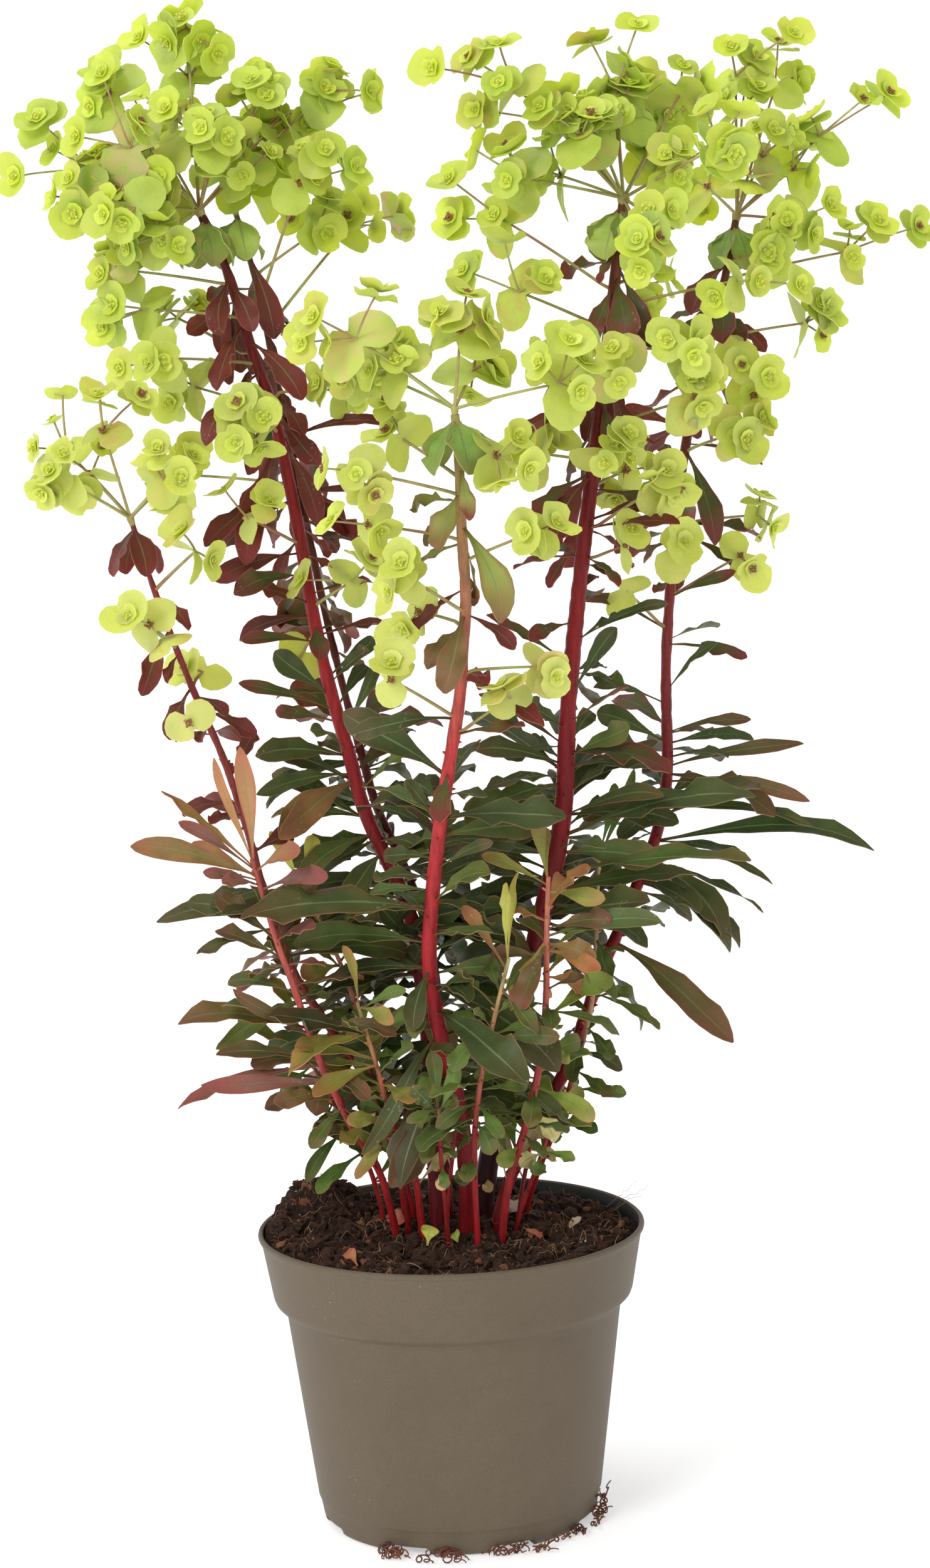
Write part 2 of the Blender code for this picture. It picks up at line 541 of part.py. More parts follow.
def hub(base, axis, radius, height):
    """The small swelling at a stem's top from which the rays of a head spread."""
    side = square_to(axis, Vector((1.0, 0.0, 0.0)))
    up = axis.cross(side)
    verts = []
    faces = []
    for level, reach in ((0.0, radius * 0.8), (0.45, radius * 1.15), (1.0, radius * 0.6)):
        for step in range(6):
            turn = math.tau * step / 6
            spoke = side * math.cos(turn) + up * math.sin(turn)
            verts.append(base + axis * (height * level) + spoke * reach)
    for ring in range(2):
        for step in range(6):
            a = ring * 6 + step
            b = ring * 6 + (step + 1) % 6
            faces.append((a, b, b + 6, a + 6))
    faces.append((5, 4, 3, 2, 1, 0))
    faces.append((12, 13, 14, 15, 16, 17))
    return verts, faces


# Keeping the parts apart
class Thicket:
    """Everything placed so far, so that a new leaf can be bent clear of it."""

    def __init__(self):
        self.pieces = []

    def add(self, shape, group, kind):
        verts, faces = shape
        low = [min(v[i] for v in verts) for i in range(3)]
        high = [max(v[i] for v in verts) for i in range(3)]
        tree = BVHTree.FromPolygons(verts, faces, all_triangles=False)
        self.pieces.append((low, high, tree, group, kind))

    def clear(self, shape, skip):
        verts, faces = shape
        low = [min(v[i] for v in verts) for i in range(3)]
        high = [max(v[i] for v in verts) for i in range(3)]
        if low[2] < POT_HEIGHT + 1.0:
            for v in verts:
                if v.z < soil_height(v.x, v.y) + 1.0 and math.hypot(v.x, v.y) < RIM_RADIUS + 2:
                    return False
                if v.z < POT_HEIGHT + 1.0 and 84.0 < math.hypot(v.x, v.y) < RIM_RADIUS + 2:
                    return False
        tree = None
        for other_low, other_high, other, group, kind in self.pieces:
            if skip(group, kind):
                continue
            if any(low[i] > other_high[i] or high[i] < other_low[i] for i in range(3)):
                continue
            if tree is None:
                tree = BVHTree.FromPolygons(verts, faces, all_triangles=False)
            if tree.overlap(other):
                return False
        return True


def soil_height(x, y):
    """Height of the soil's top: lumpy, with a bank at the back left."""
    bank = 17.0 * math.exp(-(((x + 70.0) / 26.0) ** 2 + ((y - 34.0) / 26.0) ** 2))
    crown = 3.0 * math.exp(-((x - 5.0) ** 2 + y * y) / 1400.0)
    lumps = (1.3 * math.sin(x * 0.13 + 0.7) * math.cos(y * 0.11)
             + 0.8 * math.sin(x * 0.29 - y * 0.23 + 1.9))
    return SOIL_TOP + bank + crown + lumps


def bends(points):
    """Only the points of a run that it needs to keep its bends."""
    if len(points) < 3:
        return points
    start, end = points[0], points[-1]
    ahead = (end - start).normalized()
    far = 0.0
    where = 0
    for index in range(1, len(points) - 1):
        offset = points[index] - start
        stray = (offset - ahead * offset.dot(ahead)).length
        if stray > far:
            far = stray
            where = index
    if far < STEM_TOLERANCE:
        return [start, end]
    return bends(points[:where + 1])[:-1] + bends(points[where:])


def stem_points(route):
    return [place(column, row, depth) for column, row, depth in route]


def at_row(route, row):
    """Point, direction and part of the length where a stem crosses a picture row."""
    for (c0, r0, d0), (c1, r1, d1) in zip(route, route[1:]):
        if r1 <= row <= r0:
            part = (r0 - row) / (r0 - r1)
            point = place(c0 + (c1 - c0) * part, row, d0 + (d1 - d0) * part)
            ahead = place(c1, r1, d1) - place(c0, r0, d0)
            return point, ahead.normalized(), d0 + (d1 - d0) * part
    low = route[0] if row > route[0][1] else route[-1]
    ahead = place(*route[-1]) - place(*route[-2])
    return place(*low), ahead.normalized(), low[2]


def radius_at(stem, height):
    foot, top, route = stem[0], stem[1], stem[2]
    low = place(*route[0]).z
    high = place(*route[-1]).z
    part = min(1.0, max(0.0, (height - low) / (high - low)))
    return foot + (top - foot) * part ** 0.7


class Plan:
    """Every piece of the plant: what it is fused into and its shape."""

    def __init__(self):
        self.dice = random.Random(SEED)
        self.thicket = Thicket()
        self.nodes = {}
        self.lost = []
        self.stems = {}

    def keep(self, node, shape, kind):
        self.nodes.setdefault(node, []).append(shape)
        self.thicket.add(shape, node, kind)

    def raise_stem(self, node, stem):
        route = stem[2]
        points = stem_points(route)
        foot = points[0].copy()
        soil = soil_height(foot.x, foot.y)
        deep = Vector((foot.x, foot.y, soil - HOLE_DEPTH + SEAT_GAP))
        level = Vector((foot.x, foot.y, soil + 2.0))
        run = [deep, level] + bends([p for p in points[1:] if p.z > soil + 6.0])
        radii = [radius_at(stem, p.z) for p in run]
        thick = max(radii)
        sides = 6 if thick > 3.5 else 5
        self.stems[node] = (run, radii, sides)
        self.keep(node, tube(run, radii, sides), "stem")

    def grow_leaf(self, node, stem, row, tip, wide, turn_to_viewer=0.7):
        point, ahead, depth = at_row(stem[2], row)
        radius = radius_at(stem, point.z)
        out = square_to(ahead, tip - point)
        root = point + out * max(radius - ROOT_SUNK, radius * 0.3)
        span = tip - root
        long = span.length
        for attempt, twist in enumerate(TWISTS):
            shrink = 1.0 if attempt < 9 else 0.86
            moved = root + span * shrink + TO_VIEWER * (twist * long * TWIST_STEP)
            moved += UP * (twist * twist * 0.10) * (1 if attempt % 2 else -1)
            heading = (moved - root).normalized()
            rise = UP * (LEAF_RISE * long) + out * (LEAF_ARCH * long)
            sway = Vector((self.dice.uniform(-0.3, 0.3), 0.0, self.dice.uniform(-0.2, 0.3)))
            face = square_to(heading, UP * 0.6 + TO_VIEWER * turn_to_viewer + out * 0.2 + sway)
            shape = blade(root, moved, rise, wide, face)
            fat = blade(root + (moved - root) * 0.16, moved, rise * 0.8, wide, face, CLEARANCE)
            own_stem = lambda group, kind: group == node and kind == "stem"
            own_node = lambda group, kind: group == node
            if self.thicket.clear(fat, own_stem) and self.thicket.clear(shape, own_node):
                self.keep(node, shape, "leaf")
                return True
        self.lost.append((node, "leaf", row))
        return False

    def spray_shapes(self, start, first, centre, cups, look, swell):
        """A ray with its pair of bracts and its cups; the first cup is in one with it."""
        size, rough, sizes, spin = look
        ray = (centre - first).normalized()
        face = (ray * 0.7 + TO_VIEWER * 0.62 + UP * 0.12
                + Vector((spin[0] * 0.2, 0.0, spin[1] * 0.2))).normalized()
        hint = Vector((0.4 + spin[2], 0.0, 1.0 if spin[1] > 0 else 0.35))
        ahead = (first - start).normalized() if first is not start else ray
        chain = Chain(start, ahead, hint, RAY_RADIUS + swell)
        if first is not start:
            chain.stalk(first, ray, RAY_RADIUS + swell)
        chain.disc(centre, face, BRACT_RIM, size, BRACT_ASPECT, rough, RAY_RADIUS + swell, swell,
                   bool(cups) and not swell)
        shapes = [chain]
        for number, (cup, wide) in enumerate(zip(cups, sizes)):
            away = cup - centre
            cup_face = (away.normalized() * 0.55 + TO_VIEWER * 0.85 + UP * 0.12
                        + Vector((spin[1] * 0.12, 0.0, spin[2] * 0.12))).normalized()
            if swell:
                chain = Chain(centre + away * 0.4, away.normalized(), hint, TWIG_RADIUS + swell)
                shapes.append(chain)
            elif number:
                aside = square_to(face, away) * (2.2 if away.length > 4 else 1.0)
                chain = Chain(centre + aside, away.normalized(), hint, TWIG_RADIUS * 0.7)
                shapes.append(chain)
            chain.disc(cup, cup_face, CUP_RIM, wide, CUP_ASPECT, rough[::-1],
                       TWIG_RADIUS + swell, swell, False)
        return [chain.shape() for chain in shapes]

    def grow_spray(self, node, start, first, bracts, cups, small=False):
        """Place a ray with its bracts and cups, moved in depth until it is clear."""
        dice = self.dice
        rough = [dice.uniform(-1.0, 1.0) for _ in range(10)]
        sizes = [CUP_HALF_WIDTH * dice.uniform(0.82, 1.12) for _ in cups]
        spin = [dice.uniform(-1.0, 1.0) for _ in range(3)]
        size = BRACT_HALF_WIDTH * (0.9 if small else 1.0) * (1 + rough[0] * 0.08)
        look = (size, rough, sizes, spin)
        for shift in SHIFTS:
            move = FORWARD * -shift
            centre = bracts + move
            tops = [cup + move for cup in cups]
            ray = (centre - first).normalized()
            beyond = first + ray * (1.0 if small else HUB_CLEAR)
            fat = self.spray_shapes(beyond, beyond, centre, tops, look, CLEARANCE)
            real = self.spray_shapes(start, first, centre, tops, look, 0.0)
            if (all(self.thicket.clear(shape, lambda group, kind: kind == "hub") for shape in fat)
                    and all(self.thicket.clear(shape, lambda group, kind: group == node)
                            for shape in real)):
                for shape in real:
                    self.keep(node, shape, "flower")
                return True
        self.lost.append((node, "spray"))
        return False


def cup_places(cups, depth, ahead):
    """Cups stand in front of their bracts, or behind them on the plant's far side."""
    steps = (7.0, 1.0, 12.0, -5.0) if ahead > -8 else (-6.0, 4.0, -12.0, 0.0)
    return [place(column, row, depth - step) for (column, row), step in zip(cups, steps)]


def lay_out():
    plan = Plan()
    for name, stem in FLOWERING_STEMS.items():
        plan.raise_stem("flowering_stem_" + name, stem)
    for name, stem in YOUNG_SHOOTS.items():
        plan.raise_stem("young_shoot_" + name, stem)
    for name, stem in FLOWERING_STEMS.items():
        run, radii, sides = plan.stems["flowering_stem_" + name]
        axis = (run[-1] - run[-2]).normalized()
        base = run[-1] + axis * SEAT_GAP
        node = "flower_head_" + name
        plan.keep(node, hub(base, axis, radii[-1], HUB_HEIGHT), "hub")
        heart = base + axis * (HUB_HEIGHT / 2)
        depth = stem[2][-1][2]
        for number, (column, row, ahead, cups) in enumerate(HEADS[name]):
            back = depth - ahead * DEPTH_OF_SPRAYS
            bracts = place(column, row, back)
            start = heart + (bracts - heart).normalized() * (0.17 * number)
            plan.grow_spray(node, start, start, bracts, cup_places(cups, back, ahead))
    for name, stem in FLOWERING_STEMS.items():
        node = "flowering_stem_" + name
        for row, column, bract_row, ahead, cups in SIDE_SPRAYS[name]:
            point, heading, depth = at_row(stem[2], row)
            back = depth - ahead * DEPTH_OF_SPRAYS
            bracts = place(column, bract_row, back)
            out = square_to(heading, bracts - point)
            root = point + out * (radius_at(stem, point.z) * 0.4)
            first = point + out * (radius_at(stem, point.z) + 3.0) + heading * 2.0
            plan.grow_spray(node, root, first, bracts, cup_places(cups, back, ahead),
                            small=True)
    for name, stem in FLOWERING_STEMS.items():
        node = "flowering_stem_" + name
        count, long, wide = WHORLS[name]
        point, heading, depth = at_row(stem[2], stem[2][-1][1] + 8)
        for step in range(count):
            turn = math.tau * (step + 0.35) / count
            spoke = Vector((math.sin(turn), -math.cos(turn), 0.0))
            reach = spoke * (long * 0.72) - UP * (long * 0.68)
            plan.grow_leaf(node, stem, stem[2][-1][1] + 10 + 3 * (step % 3),
                           point + reach, wide, 0.4)
        for row, column, tip_row, ahead, wide in SEEN_LEAVES[name]:
            point, heading, depth = at_row(stem[2], row)
            tip = place(column, tip_row, depth - ahead * DEPTH_OF_LEAVES)
            plan.grow_leaf(node, stem, row, tip, wide)
    for name, stem in YOUNG_SHOOTS.items():
        node = "young_shoot_" + name
        for row, column, tip_row, ahead, wide in stem[3]:
            point, heading, depth = at_row(stem[2], row)
            tip = place(column, tip_row, depth - ahead * DEPTH_OF_LEAVES)
            plan.grow_leaf(node, stem, row, tip, wide)
    for name, stem in FLOWERING_STEMS.items():
        node = "flowering_stem_" + name
        first, last, count = HIDDEN_LEAVES[name]
        for step in range(count):
            part = step / (count - 1)
            row = first + (last - first) * part ** 0.8
            point, heading, depth = at_row(stem[2], row)
            turn = math.radians(-62 + 124 * ((step * 0.618) % 1.0))
            long = 34 + 24 * part + plan.dice.uniform(-4, 4)
            spoke = Vector((math.sin(turn), math.cos(turn), 0.0))
            droop = plan.dice.uniform(-0.55, 0.1) + 0.35 * part
            tip = point + spoke * long * 0.9 + UP * (long * droop)
            plan.grow_leaf(node, stem, row, tip, 11 + 3 * part, 0.0)
    return plan


# Solids from shapes
def solid(name, shape):
    """An object from one shape, given in mm."""
    verts, faces = shape
    mesh = bpy.data.meshes.new(name)
    mesh.from_pydata([v * MM for v in verts], [], faces)
    mesh.validate()
    thing = bpy.data.objects.new(name, mesh)
    bpy.context.scene.collection.objects.link(thing)
    return thing


def apply_modifiers(thing):
    bpy.context.view_layer.update()
    graph = bpy.context.evaluated_depsgraph_get()
    mesh = bpy.data.meshes.new_from_object(thing.evaluated_get(graph))
    old = thing.data
    thing.modifiers.clear()
    thing.data = mesh
    bpy.data.meshes.remove(old)


def combine(thing, operation, shapes):
    """Join shapes to an object, or cut them out of it, in one step."""
    tools = bpy.data.collections.new(thing.name + "_pieces")
    bpy.context.scene.collection.children.link(tools)
    for number, shape in enumerate(shapes):
        piece = solid(f"{thing.name}_piece_{number}", shape)
        bpy.context.scene.collection.objects.unlink(piece)
        tools.objects.link(piece)
    step = thing.modifiers.new("combine", "BOOLEAN")
    step.operation = operation
    step.operand_type = "COLLECTION"
    step.collection = tools
    step.solver = "MANIFOLD"
    apply_modifiers(thing)
    for piece in list(tools.objects):
        bpy.data.objects.remove(piece, do_unlink=True)
    bpy.data.collections.remove(tools)


def in_order(mesh):
    """The same mesh with its corners and faces sorted, so that each run is alike."""
    order = sorted(range(len(mesh.vertices)), key=lambda index: tuple(mesh.vertices[index].co))
    rank = {index: number for number, index in enumerate(order)}
    faces = []
    for face in mesh.polygons:
        corners = [rank[index] for index in face.vertices]
        start = corners.index(min(corners))
        faces.append(corners[start:] + corners[:start])
    tidy = bpy.data.meshes.new(mesh.name)
    tidy.from_pydata([mesh.vertices[index].co for index in order], [], sorted(faces))
    return tidy


def keep_largest(thing, flatten_above):
    """Drop loose scraps and sealed hollows of a join, and nearly flat edges up high."""
    joined = thing.data
    thing.data = in_order(joined)
    bpy.data.meshes.remove(joined)
    mesh = bmesh.new()
    mesh.from_mesh(thing.data)
    mesh.verts.ensure_lookup_table()
    left = set(range(len(mesh.verts)))
    islands = []
    while left:
        first = min(left)
        left.discard(first)
        island = [first]
        for index in island:
            for link in mesh.verts[index].link_edges:
                other = link.other_vert(mesh.verts[index]).index
                if other in left:
                    left.discard(other)
                    island.append(other)
        islands.append(island)
    islands.sort(key=len, reverse=True)
    spare = [mesh.verts[index] for island in islands[1:] for index in island]
    if spare:
        bmesh.ops.delete(mesh, geom=spare, context="VERTS")
    high = [vert for vert in mesh.verts if vert.co.z > flatten_above * MM]
    edges = [edge for edge in mesh.edges if all(v.co.z > flatten_above * MM for v in edge.verts)]
    bmesh.ops.dissolve_limit(mesh, angle_limit=FLATNESS, use_dissolve_boundaries=False,
                             verts=high, edges=edges)
    bmesh.ops.triangulate(mesh, faces=mesh.faces[:])
    mesh.to_mesh(thing.data)
    mesh.free()
    return len(islands)


def lathe(profile, sides, centre_top, centre_foot):
    """A closed body turned about Z from (radius, height) pairs."""
    verts = []
    faces = []
    for radius, height in profile:
        for step in range(sides):
            turn = math.tau * step / sides
            verts.append(Vector((radius * math.cos(turn), radius * math.sin(turn), height)))
    for ring in range(len(profile) - 1):
        for step in range(sides):
            a = ring * sides + step
            b = ring * sides + (step + 1) % sides
            faces.append((a, b, b + sides, a + sides))
    low = len(verts)
    verts.append(Vector((0.0, 0.0, centre_foot)))
    verts.append(Vector((0.0, 0.0, centre_top)))
    rim = (len(profile) - 1) * sides
    for step in range(sides):
        faces.append((low, (step + 1) % sides, step))
        faces.append((low + 1, rim + step, rim + (step + 1) % sides))
    return verts, faces


def make_pot():
    outer = (
        (FOOT_RADIUS - 3.0, 0.0), (FOOT_RADIUS, 3.6),
        (FOOT_BAND_RADIUS, FOOT_BAND_HEIGHT),
        (SHOULDER_RADIUS, POT_HEIGHT - COLLAR_HEIGHT - SHOULDER_DROP),
        (SHOULDER_RADIUS + 3.4, POT_HEIGHT - COLLAR_HEIGHT - SHOULDER_DROP + 2.2),
        (COLLAR_FOOT_RADIUS, POT_HEIGHT - COLLAR_HEIGHT + 1.0),
        (RIM_RADIUS - 1.4, POT_HEIGHT - 3.4), (RIM_RADIUS, POT_HEIGHT - 1.6),
        (RIM_RADIUS - 0.9, POT_HEIGHT), (RIM_RADIUS - LIP_THICKNESS, POT_HEIGHT - 0.4))
    inner = (
        (COLLAR_FOOT_RADIUS - WALL, POT_HEIGHT - COLLAR_HEIGHT + 0.6),
        (SHOULDER_RADIUS - WALL, POT_HEIGHT - COLLAR_HEIGHT - SHOULDER_DROP - 0.4),
        (FOOT_RADIUS - WALL - 1.0, BAY_HEIGHT + FLOOR))
    pot = solid("pot", lathe(outer + inner, POT_SIDES, BAY_HEIGHT + FLOOR, 0.0))
    cuts = []
    for number in range(BAY_COUNT):
        turn = math.tau * (number + 0.5) / BAY_COUNT - math.pi / 2
        out = Vector((math.cos(turn), math.sin(turn), 0.0))
        side = Vector((-out.y, out.x, 0.0))
        corners = []
        for height in (-2.0, BAY_HEIGHT):
            for reach, half in ((BAY_INNER_RADIUS, BAY_WIDTH * 0.38),
                                (FOOT_RADIUS + 6.0, BAY_WIDTH * 0.52)):
                for sign in (-1, 1):
                    corners.append(out * reach + side * (half * sign) + UP * height)
        cuts.append((corners, ((0, 1, 3, 2), (4, 6, 7, 5), (0, 4, 5, 1), (2, 3, 7, 6),
                               (0, 2, 6, 4), (1, 5, 7, 3))))
        if number % 2:
            continue
        hole = out * (BAY_INNER_RADIUS + DRAIN_INSET)
        cuts.append(tube([hole - UP * 2.0, hole + UP * 8.0], [DRAIN_RADIUS] * 2, DRAIN_SIDES))
    combine(pot, "DIFFERENCE", cuts)
    keep_largest(pot, POT_HEIGHT)
    return pot


def make_soil(plan):
    wall = WALL + SOIL_GAP
    profile = [(FOOT_RADIUS - wall - 1.0, BAY_HEIGHT + FLOOR + SOIL_GAP),
               (SHOULDER_RADIUS - wall, POT_HEIGHT - COLLAR_HEIGHT - SHOULDER_DROP - 0.4),
               (COLLAR_FOOT_RADIUS - wall - 0.2, POT_HEIGHT - COLLAR_HEIGHT + 0.6),
               (COLLAR_FOOT_RADIUS + 2.2 - wall, SOIL_TOP - 3.0)]
    profile += [(radius, SOIL_TOP) for radius in SOIL_RINGS]
    verts, faces = lathe(profile, POT_SIDES, soil_height(0, 0), BAY_HEIGHT + FLOOR + SOIL_GAP)
    top_first = (len(profile) - len(SOIL_RINGS)) * POT_SIDES
    for vert in verts[top_first:len(profile) * POT_SIDES]:
        vert.z = soil_height(vert.x, vert.y)
    soil = solid("potting_soil", (verts, faces))
    holes = []
    for run, radii, sides in plan.stems.values():
        wide = (radii[0] + HOLE_PLAY) / math.cos(math.pi / HOLE_SIDES)
        foot = run[0] - UP * SEAT_GAP
        top = run[1] + UP * 12.0
        holes.append(tube([foot, Vector((foot.x, foot.y, top.z))], [wide, wide], HOLE_SIDES))
    combine(soil, "DIFFERENCE", holes)
    keep_largest(soil, POT_HEIGHT * 2)
    return soil


# Colour and roughness of each sub-part's finish.
FINISHES = {
    "pot": ((0.18, 0.15, 0.11), 0.62),
    "potting_soil": ((0.035, 0.022, 0.014), 0.95),
    "flowering_stem_left": ((0.22, 0.07, 0.06), 0.5),
    "flowering_stem_tall_left": ((0.20, 0.035, 0.04), 0.5),
    "flowering_stem_twin": ((0.16, 0.05, 0.05), 0.5),
    "flowering_stem_middle": ((0.26, 0.12, 0.09), 0.5),
    "flowering_stem_tall_right": ((0.19, 0.03, 0.035), 0.5),
    "flowering_stem_right": ((0.17, 0.03, 0.035), 0.5),
    "young_shoot_1": ((0.30, 0.17, 0.07), 0.5),
    "young_shoot_2": ((0.24, 0.22, 0.08), 0.5),
    "young_shoot_3": ((0.24, 0.22, 0.07), 0.5),
    "young_shoot_4": ((0.32, 0.10, 0.06), 0.5),
    "young_shoot_5": ((0.26, 0.17, 0.06), 0.5),
    "young_shoot_6": ((0.24, 0.24, 0.12), 0.5),
    "young_shoot_7": ((0.14, 0.20, 0.06), 0.5),
    "young_shoot_8": ((0.17, 0.23, 0.06), 0.5),
    "young_shoot_9": ((0.13, 0.19, 0.05), 0.5),
}
HEAD_FINISH = ((0.45, 0.56, 0.06), 0.55)
SMOOTH_BELOW = math.radians(32.0)


def finish(thing):
    """Give a sub-part its own material and round shading."""
    colour, roughness = FINISHES.get(thing.name, HEAD_FINISH)
    material = bpy.data.materials.new(thing.name + "_finish")
    material.use_nodes = True
    material.diffuse_color = (*colour, 1.0)
    shader = material.node_tree.nodes["Principled BSDF"]
    shader.inputs["Base Color"].default_value = (*colour, 1.0)
    shader.inputs["Roughness"].default_value = roughness
    shader.inputs["Metallic"].default_value = 0.0
    thing.data.materials.append(material)
    thing.data.shade_smooth()
    thing.data.set_sharp_from_angle(angle=SMOOTH_BELOW)


def main():
    for thing in list(bpy.data.objects):
        bpy.data.objects.remove(thing, do_unlink=True)
    plan = lay_out()
    finish(make_pot())
    finish(make_soil(plan))
    for node, shapes in plan.nodes.items():
        thing = solid(node, shapes[0])
        combine(thing, "UNION", shapes[1:])
        bodies = keep_largest(thing, STEM_GUARD)
        finish(thing)
        print(node, "pieces", len(shapes), "bodies", bodies, "triangles",
              len(thing.data.polygons))
    print("no clear place for:", plan.lost)
    print("triangles in all:", sum(len(thing.data.polygons) for thing in bpy.data.objects))


main()
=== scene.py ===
# %% [markdown]
# # A spurge in flower, in its nursery pot
#
# The real plant is a garden spurge, sold in a round plastic pot of 3 litres. Six red stems
# carry domes of lime-green flowers, nine young shoots stand between them, and all of them
# grow from one tuft in dark potting soil.
#
# The measured model gives the place of every stem, leaf and flower. This lesson puts a
# finer piece where each measured one is: smooth stems, thin leaves with ribs, dished
# flowers with small cups in them, crumbly soil and a moulded pot.

# %% Load the measured model
import json
import math
import random

import bmesh
import bpy
import numpy as np
from mathutils import Matrix, Vector, noise
from mathutils.bvhtree import BVHTree

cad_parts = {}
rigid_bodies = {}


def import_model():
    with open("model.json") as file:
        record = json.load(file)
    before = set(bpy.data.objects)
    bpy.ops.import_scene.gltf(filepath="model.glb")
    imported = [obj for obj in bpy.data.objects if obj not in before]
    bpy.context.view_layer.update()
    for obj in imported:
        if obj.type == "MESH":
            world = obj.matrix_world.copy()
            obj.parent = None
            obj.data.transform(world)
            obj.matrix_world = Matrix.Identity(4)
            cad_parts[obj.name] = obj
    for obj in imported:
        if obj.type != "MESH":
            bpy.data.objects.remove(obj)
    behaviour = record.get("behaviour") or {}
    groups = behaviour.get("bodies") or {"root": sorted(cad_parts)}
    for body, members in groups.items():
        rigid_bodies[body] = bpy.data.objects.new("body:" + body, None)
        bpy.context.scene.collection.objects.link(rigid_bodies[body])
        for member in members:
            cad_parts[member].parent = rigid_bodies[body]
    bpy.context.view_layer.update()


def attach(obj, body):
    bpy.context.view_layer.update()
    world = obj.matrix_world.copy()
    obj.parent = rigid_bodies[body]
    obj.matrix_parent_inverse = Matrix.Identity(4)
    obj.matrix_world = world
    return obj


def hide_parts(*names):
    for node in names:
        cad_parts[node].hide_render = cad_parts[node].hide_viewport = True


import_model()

MM = 0.001

# %% [markdown]
# ## The camera
#
# The photograph was taken about a metre and a half in front of the plant and a little above
# the middle of it, with a long lens that was tipped down and rolled by some two degrees.
# A camera could be placed by trying, but its place follows from the ellipse of the pot's
# rim, so it is given by numbers. The same numbers turn any column and row of the picture
# into a real point, once the depth of that point is chosen.

# %% Where the photograph was taken
CAMERA_DISTANCE = 1472.5
CAMERA_HEIGHT = 529.2
CAMERA_ACROSS = 21.95
CAMERA_PITCH = 0.1130
CAMERA_ROLL = 0.0339
CAMERA_YAW = -0.0053
FOCAL_LENGTH = 4882.8
PICTURE_COLUMNS = 1484
PICTURE_ROWS = 2503

FORWARD = Vector((math.sin(CAMERA_YAW) * math.cos(CAMERA_PITCH),
                  math.cos(CAMERA_YAW) * math.cos(CAMERA_PITCH),
                  -math.sin(CAMERA_PITCH)))
RIGHTWARD = Vector((math.cos(CAMERA_YAW), -math.sin(CAMERA_YAW), 0.0))
UPWARD = RIGHTWARD.cross(FORWARD)
TO_VIEWER = Vector((0.0, -1.0, 0.12)).normalized()
UP = Vector((0.0, 0.0, 1.0))
SENSOR = 36.0


def place(column, row, depth):
    """The real point seen at a column and row of the picture, at a given depth."""
    across = column - PICTURE_COLUMNS / 2
    down = row - PICTURE_ROWS / 2
    level_across = math.cos(CAMERA_ROLL) * across - math.sin(CAMERA_ROLL) * down
    level_down = math.sin(CAMERA_ROLL) * across + math.cos(CAMERA_ROLL) * down
    ray = (FORWARD + RIGHTWARD * (level_across / FOCAL_LENGTH)
           - UPWARD * (level_down / FOCAL_LENGTH))
    eye = Vector((CAMERA_ACROSS, -CAMERA_DISTANCE, CAMERA_HEIGHT))
    return eye + ray * ((depth + CAMERA_DISTANCE) / ray.y)


bpy.ops.object.select_all(action="DESELECT")
bpy.ops.object.camera_add()
camera = bpy.context.active_object
camera.name = "camera"
camera.data.sensor_width = SENSOR
camera.data.lens = FOCAL_LENGTH * SENSOR / PICTURE_ROWS
camera.data.clip_start = 0.05
camera.data.clip_end = 40.0
picture_right = RIGHTWARD * math.cos(CAMERA_ROLL) - UPWARD * math.sin(CAMERA_ROLL)
picture_up = RIGHTWARD * math.sin(CAMERA_ROLL) + UPWARD * math.cos(CAMERA_ROLL)
turned = Matrix((picture_right, picture_up, -FORWARD)).transposed().to_4x4()
stand = Vector((CAMERA_ACROSS, -CAMERA_DISTANCE, CAMERA_HEIGHT)) * MM
camera.matrix_world = Matrix.Translation(stand) @ turned
bpy.context.scene.camera = camera
print("lens", round(camera.data.lens, 2), "mm, camera at", [round(n, 3) for n in stand])

# %% [markdown]
# ## Working by hand, in code
#
# Each operator acts on what is selected, so a few small helpers keep the selection honest:
# one picks a single object, one picks corners in edit mode by their place, and one adds a
# modifier and applies it at once.

# %% Small helpers
def pick(thing):
    """Select one object only and make it the active one."""
    bpy.ops.object.select_all(action="DESELECT")
    thing.select_set(True)
    bpy.context.view_layer.objects.active = thing


def fresh(name):
    """Name the object that an operator has just added."""
    thing = bpy.context.active_object
    thing.name = name
    thing.data.name = name
    return thing


def added(name, primitive, **settings):
    """Add a primitive with nothing else selected, and name it."""
    bpy.ops.object.select_all(action="DESELECT")
    primitive(**settings)
    return fresh(name)


def edit(thing):
    pick(thing)
    bpy.ops.object.mode_set(mode="EDIT")
    bpy.ops.mesh.select_mode(type="VERT")


def leave_edit():
    bpy.ops.object.mode_set(mode="OBJECT")


def pick_points(thing, wanted):
    """In edit mode, select the corners whose place passes a test."""
    mesh = bmesh.from_edit_mesh(thing.data)
    for vert in mesh.verts:
        vert.select_set(False)
    mesh.select_flush(False)
    for vert in mesh.verts:
        vert.select_set(bool(wanted(vert.co)))
    mesh.select_flush_mode()
    bmesh.update_edit_mesh(thing.data)


def finish_with(thing, kind, **settings):
    """Add a modifier and apply it at once."""
    pick(thing)
    bpy.ops.object.modifier_add(type=kind)
    step = thing.modifiers[-1]
    for key, value in settings.items():
        setattr(step, key, value)
    bpy.ops.object.modifier_apply(modifier=step.name)


def settle(thing):
    """Put the place, turn and size of an object into its mesh."""
    pick(thing)
    bpy.ops.object.transform_apply(location=True, rotation=True, scale=True)


